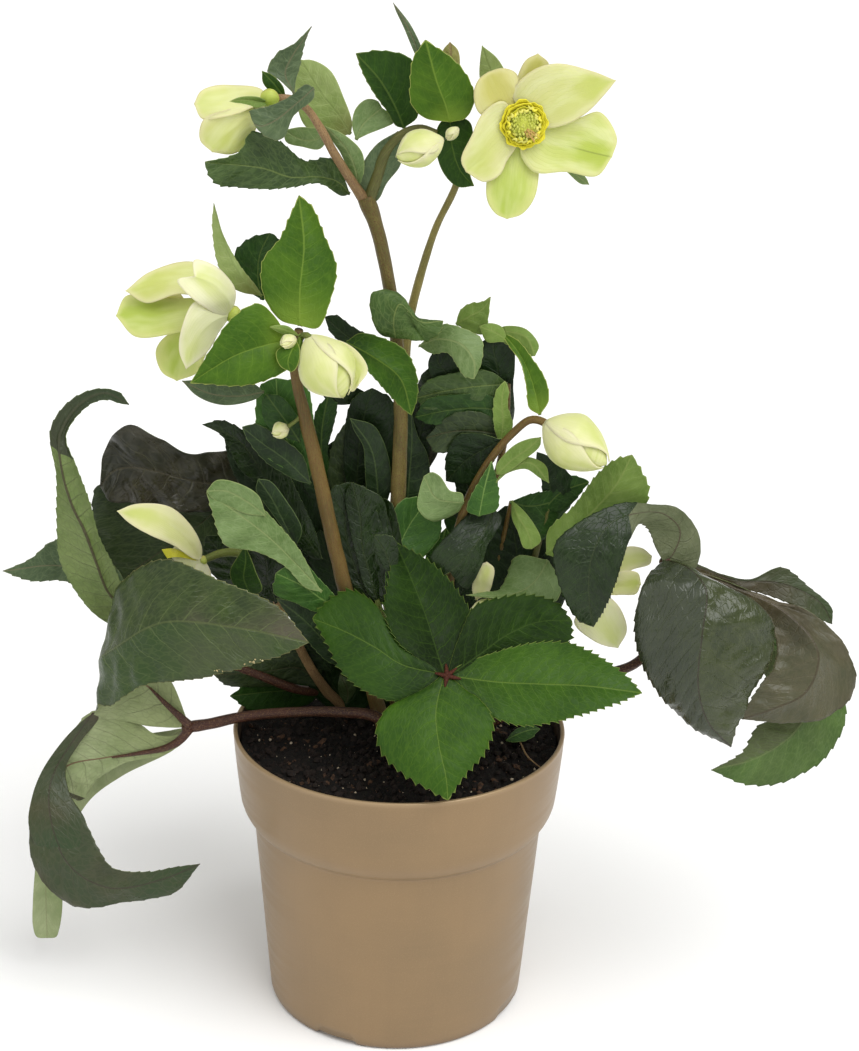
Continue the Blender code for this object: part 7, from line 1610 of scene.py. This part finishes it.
POT, POT_IN = pot_look(), pot_inside_look()
outer = [(0, 0.0), (8, 0.0), (14.2, 0.0), (15.4, 0.15), (16.0, 0.7), (17.0, 2.7), (17.8, 3.2), (34, 3.2), (49.6, 3.2),
         (50.9, 3.0), (51.7, 2.2), (52.2, 0.8), (53.0, 0.1), (54.2, 0.0), (56.0, 0.0), (57.6, 0.25), (58.5, 0.9),
         (58.95, 2.0), (59.5, 8), (60.6, 22), (61.8, 38), (63.1, 54), (64.3, 69), (65.3, 82), (66.0, 90.6),
         (66.2, 91.8), (66.6, 92.6), (67.5, 93.2), (68.4, 93.9), (69.4, 95.2), (70.4, 96.9), (71.3, 98.9), (71.9, 100.9),
         (72.25, 103.4), (72.9, 109), (73.6, 116), (74.3, 124), (74.75, 130), (74.9, 132.4), (75.0, 133.2),
         (74.9, 133.8), (74.5, 134.15), (73.9, 134.2), (73.3, 134.0), (73.05, 133.5)]
inner = [(72.9, 131.5), (72.5, 126), (71.8, 118), (71.1, 109), (70.6, 103.6), (69.8, 101), (68.0, 98.4),
         (65.2, 94.0), (64.6, 91.0), (63.6, 80), (61.5, 50), (59.4, 22), (58.1, 7.0), (56.4, 5.2), (54.0, 4.8), (0, 4.8)]
prof = outer + inner
SEG = 240
notches = (-27, 63, 153, 243)
pv, pf, pm, pa = [], [], [], []
rings = []
for k, (r, z) in enumerate(prof):
    if r < 1e-6:
        rings.append([len(pv)])
        pv.append((0, 0, z))
        pa.append((0, 0, 0))
        continue
    ring = []
    for q in range(SEG):
        a = 2 * pi * q / SEG
        x, y = sin(a), -cos(a)
        zz, rr = z, r
        if k < len(outer) and 49 < r < 60 and z < 2.6:
            near = min(abs((q * 360 / SEG - m + 180) % 360 - 180) for m in notches)
            edge = min(1.0, max(0.0, (9.6 - near) / 0.9))
            zz = z + (2.7 - z) * edge * edge * (3 - 2 * edge)
        ring.append(len(pv))
        pv.append((x * rr, y * rr, zz))
        pa.append((z, a * 65, 0))
    rings.append(ring)
for k, (r0, r1) in enumerate(zip(rings, rings[1:])):
    for q in range(SEG):
        w = (q + 1) % SEG
        quad = [r0[q % len(r0)], r0[w % len(r0)], r1[w % len(r1)], r1[q % len(r1)]]
        loop = []
        for x in quad:
            if x not in loop:
                loop.append(x)
        pf.append(tuple(loop))
        pm.append(1 if k >= len(outer) - 1 else 0)
pot = finish_piece("pot_shell", np.array(pv, float), pf, [POT, POT_IN], "pot", pm)
bpy.context.view_layer.objects.active = pot

# ---------------------------------------------------------------------- soil


def soil_look():
    n = Nodes("peat_brown_with_painted_shade", rough=0.9, spec=0.3)
    where = n.place()
    a = n.noise(where, 260.0, 5.0, 0.7)
    b = n.noise(where, 900.0, 4.0, 0.7)
    # Dark brown peat, painted darker still as shade under the leaves and the rim.
    col = n.mix(n.span(a, 0.38, 0.66), c(9, 7, 5), c(24, 18, 13))
    col = n.mix(n.math('MULTIPLY', n.span(b, 0.56, 0.70), 0.5), col, c(54, 39, 28))
    n.colour(col)
    n.rough(n.span(b, 0.3, 0.7, 0.75, 0.98))
    n.bump(n.math('ADD', a, n.math('MULTIPLY', b, 0.6)), 0.8, 0.0015)
    return n.mat


def crumb_look(name, base, other, rough=0.85):
    n = Nodes(name, rough=rough, spec=0.3)
    where = n.place()
    a = n.noise(where, 700.0, 4.0, 0.7)
    n.colour(n.mix(n.span(a, 0.35, 0.65), base, other))
    n.rough(n.span(a, 0.3, 0.7, rough - 0.1, min(rough + 0.1, 1.0)))
    n.bump(a, 0.7, 0.0008)
    return n.mat


NR, NA = 96, 300
sv, sf = [], []


xs, ys = [], []
for i in range(1, NR + 1):
    r = 71.6 * i / NR
    for q in range(NA):
        a = 2 * pi * (q + 0.5 * (i % 2)) / NA
        xs.append(r * sin(a))
        ys.append(r * cos(a))
xs, ys = np.array(xs), np.array(ys)
rr_ = np.hypot(xs, ys)
zs = (124.5 + 2.5 * np.clip(1 - (rr_ / 60) ** 2, 0, 1) + 0.7 * ripples(xs, ys, 3, 26.0)
      + 0.5 * ripples(xs, ys, 4, 8.0) + 0.45 * ripples(xs, ys, 5, 3.4, 9) + 0.25 * ripples(xs, ys, 6, 1.7, 11)
      + 1.6 * np.clip((rr_ - 62) / 10.0, 0, 1) ** 2)
sv = [(0, 0, 127.2)] + [tuple(p) for p in np.stack([xs, ys, zs], axis=1)]
for q in range(NA):
    sf.append((0, 1 + (q + 1) % NA, 1 + q))
for i in range(NR - 1):
    for q in range(NA):
        w = (q + 1) % NA
        x = 1 + i * NA
        sf.append((x + q, x + w, x + NA + w, x + NA + q))
low = len(sv)
for z, r in ((110.0, 70.2), (102.0, 69.2), (97.0, 66.0), (91.0, 63.6), (60.0, 61.3), (9.0, 57.0), (6.0, 55.0)):
    for q in range(NA):
        a = 2 * pi * (q + 0.5 * (NR % 2)) / NA
        sv.append((r * sin(a), r * cos(a), z))
sv.append((0, 0, 5.4))
prev = 1 + (NR - 1) * NA
for k in range(7):
    for q in range(NA):
        w = (q + 1) % NA
        sf.append((prev + q, prev + w, low + k * NA + w, low + k * NA + q))
    prev = low + k * NA
for q in range(NA):
    sf.append((prev + q, prev + (q + 1) % NA, len(sv) - 1))
SOIL = soil_look()
finish_piece("soil_body", np.array(sv, float), sf, [SOIL], "soil")

ICO = []
g = (1 + sqrt(5)) / 2
for a_, b_ in ((1, g), (-1, g), (1, -g), (-1, -g)):
    ICO += [(0, a_, b_), (a_, b_, 0), (b_, 0, a_)]
ICO = np.array(ICO, float) / sqrt(1 + g * g)
ICO_F = []
for i in range(12):
    for j in range(i + 1, 12):
        for k in range(j + 1, 12):
            d = [np.linalg.norm(ICO[i] - ICO[j]), np.linalg.norm(ICO[j] - ICO[k]), np.linalg.norm(ICO[i] - ICO[k])]
            if max(d) < 1.06:
                nn = np.cross(ICO[j] - ICO[i], ICO[k] - ICO[i])
                ICO_F.append((i, j, k) if np.dot(nn, ICO[i]) > 0 else (i, k, j))


def crumbs(name, look, count, lo, hi, seed, stretch=1.6, sink=0.25, r_max=70.0):
    rg = random.Random(seed)
    V, F = [], []
    for _ in range(count):
        r, a = r_max * sqrt(rg.random()), rg.uniform(0, 2 * pi)
        x, y = r * sin(a), r * cos(a)
        size = lo + (hi - lo) * rg.random() ** 2.2
        ax = np.array([rg.gauss(0, 1) for _ in range(3)])
        ax = unit(ax)
        jig = np.array([[1 + rg.uniform(-0.28, 0.28)] for _ in range(12)])
        p = ICO * jig * size
        p = p + np.outer(p @ ax, ax) * (stretch - 1) * rg.random()
        z = soil_height_np(x, y)
        p = p + np.array((x, y, z + size * (0.55 - sink)))
        base = len(V) * 0 + sum(len(q) for q in V)
        V.append(p)
        F += [(base + i, base + j, base + k) for i, j, k in ICO_F]
    return finish_piece(name, np.concatenate(V), F, [look], (), smooth=False)


def soil_height_np(x, y):
    r = sqrt(x * x + y * y)
    X, Y = np.array(x), np.array(y)
    return float(124.5 + 2.5 * max(0.0, 1 - (r / 60) ** 2) + 0.7 * ripples(X, Y, 3, 26.0)
                 + 0.5 * ripples(X, Y, 4, 8.0) + 0.45 * ripples(X, Y, 5, 3.4, 9)
                 + 1.6 * max(0.0, min(1.0, (r - 62) / 10.0)) ** 2)


crumbs("soil_crumbs_dark", crumb_look("crumb_dark", c(20, 15, 12), c(40, 30, 24)), 1500, 0.5, 2.0, 21)
crumbs("soil_crumbs_bark", crumb_look("crumb_bark", c(52, 36, 26), c(88, 64, 46)), 420, 0.3, 1.4, 22, stretch=2.6)
crumbs("soil_crumbs_white", crumb_look("crumb_white", c(196, 182, 160), c(150, 132, 108)), 170, 0.2, 0.75, 23, stretch=1.2, sink=0.1)
bud("bud_spare_low", (), at(497, 601, -6), at(470, 610, -9), 2.6, 0.5, petals=3, turn=80, seed=13, gap=0.1)
bud("bud_spare_top", (), at(458, 128, -6), at(446, 139, -8), 2.4, 0.5, petals=3, turn=80, seed=15, gap=0.1)

# ------------------------------------------------------------- leaves at the back
def back_leaf(tag, node, rx, ry, hub, shift, size, seed):
    top = np.array(hub, float)
    stalk("stalk_" + tag, node, PETIOLE,
          [root(rx, ry), above(rx, ry, 2),
           np.array((rx, ry, 124.5)) + (top - np.array((rx, ry, 124.5))) * 0.55 + np.array((0, 0, 8)), top],
          [2.3, 2.2, 2.0, 2.0], seed=seed)
    pod("hub_" + tag, node, PETIOLE, top - (0, 0, 2.6), top + (0, 0, 2.6), 2.6, fat=0.5, sides=16, rings=10,
        lumps=0.08, seed=seed)
    for k, (ang, ln, wd, droop) in enumerate([(-78, 0.80, 0.20, 0.30), (-36, 0.95, 0.24, 0.45),
                                             (4, 1.0, 0.25, 0.55), (44, 0.95, 0.24, 0.45), (84, 0.80, 0.20, 0.32)]):
        a = radians(ang + shift)
        out, side = np.array((sin(a), cos(a), 0.0)), np.array((cos(a), -sin(a), 0.0))
        mid, ea, eb = [], [], []
        for i in range(9):
            t = i / 8
            m = top + out * (ln * size * t) * (1 - 0.18 * t * t) + np.array((0, 0, 6 * sin(pi * t) - droop * size * t * t))
            w = max(wd * size * sin(pi * min(t * 0.92 + 0.06, 0.985)) ** 0.8, 0.3)
            sag = np.array((0, 0, w * 0.25))
            mid.append(m)
            if 0 < i < 8:
                ea.append(m + side * w - sag)
                eb.append(m - side * w - sag)
        free_blade("%s_leaflet_%d" % (tag, k), node, OLD_PAIR if k % 2 else GREEN_OLD_PAIR, mid, ea, eb,
                   up=1, seed=seed * 10 + k)


def free_blade(name, node, looks, mid, ea, eb, up=1, seed=1, **kw):
    """A blade given by places in space: its upper surface faces up."""
    class Here:
        @staticmethod
        def at(u, v, off):
            return np.array((u, v, off))
    # the front test works from the eye; decide by height instead
    global EYE
    eye, EYE = EYE, np.array((0.0, 300.0, 5000.0))
    kw.setdefault("teeth", (4.6, 0.9))
    ob = blade(name, node, looks, [tuple(p) for p in mid], [tuple(p) for p in ea], [tuple(p) for p in eb], Here,
               pucker=0.7, crumple=0.7, seed=seed, pitch=8.0, **kw)
    EYE = eye
    return ob


back_leaf("back_left", "leaf_back_left", -32, 48, (-48, 78, 196), -28, 64, 41)
back_leaf("back_right", "leaf_back_right", 18, 40, (50, 72, 190), 24, 62, 42)

# a seedling and a bare root at the right of the soil
def on_soil(u, v, z):
    return tuple(on_level(u, v, z))


free_blade("fill_seedling", (), FRESH_PAIR, [on_soil(506, 741, 128.2), on_soil(515, 736, 130.5), on_soil(527, 731, 131), on_soil(540, 729, 130)],
           [on_soil(516, 729, 130.5), on_soil(530, 725, 130.5)], [on_soil(514, 743, 129.5), on_soil(529, 739, 130)], seed=256)
stalk("fill_root", (), STEM_TAN, [np.array(on_soil(515, 733, 127.5)), np.array(on_soil(521, 744, 129)), np.array(on_soil(528, 757, 128.6)),
                                  np.array(on_soil(541, 768, 127.4))], [0.35, 0.42, 0.42, 0.25], sides=8, seed=257)
# --------------------------------------------------------- floor, camera, light
me = bpy.data.meshes.new("floor")
S_ = 30.0
me.from_pydata([(-S_, -S_, 0), (S_, -S_, 0), (S_, S_, 0), (-S_, S_, 0)], [], [(0, 1, 2, 3)])
floor = bpy.data.objects.new("floor", me)
bpy.context.scene.collection.objects.link(floor)
fm = bpy.data.materials.new("floor_pale")
fm.use_nodes = True
fb = fm.node_tree.nodes["Principled BSDF"]
fb.inputs["Base Color"].default_value = (0.96, 0.96, 0.955, 1)
fb.inputs["Roughness"].default_value = 0.85
fb.inputs["Specular IOR Level"].default_value = 0.1
me.materials.append(fm)

cam = bpy.data.cameras.new("camera")
cam.sensor_fit = 'VERTICAL'
cam.sensor_height = 36.0
cam.lens = 36.0 * FOCAL / SHEET[1]
cam.clip_start, cam.clip_end = 0.05, 200.0
camera = bpy.data.objects.new("camera", cam)
bpy.context.scene.collection.objects.link(camera)
rot = Matrix((RIGHT, UP, -FWD)).transposed()
camera.matrix_world = Matrix.Translation(Vector(EYE * 0.001)) @ rot.to_4x4()
bpy.context.scene.camera = camera

world = bpy.data.worlds.new("studio")
bpy.context.scene.world = world
world.use_nodes = True
world.node_tree.nodes["Background"].inputs[0].default_value = (1.0, 0.995, 0.975, 1)
world.node_tree.nodes["Background"].inputs[1].default_value = 0.5


def sun(name, turn, lift, strength, angle):
    light = bpy.data.lights.new(name, 'SUN')
    light.energy = strength
    light.angle = radians(angle)
    ob = bpy.data.objects.new(name, light)
    bpy.context.scene.collection.objects.link(ob)
    t, e = radians(turn), radians(lift)
    d = Vector((sin(t) * cos(e), -cos(t) * cos(e), sin(e)))
    ob.location = d * 3
    ob.rotation_euler = (-d).to_track_quat('-Z', 'Y').to_euler()
    return ob


sun("sun_key", 48, 52, 2.3, 50)
sun("sun_fill", -42, 42, 0.8, 80)

scene = bpy.context.scene
scene.view_settings.view_transform = 'Standard'
scene.view_settings.look = 'None'
scene.view_settings.exposure = 0.0
scene.view_settings.gamma = 1.0

bpy.context.view_layer.update()
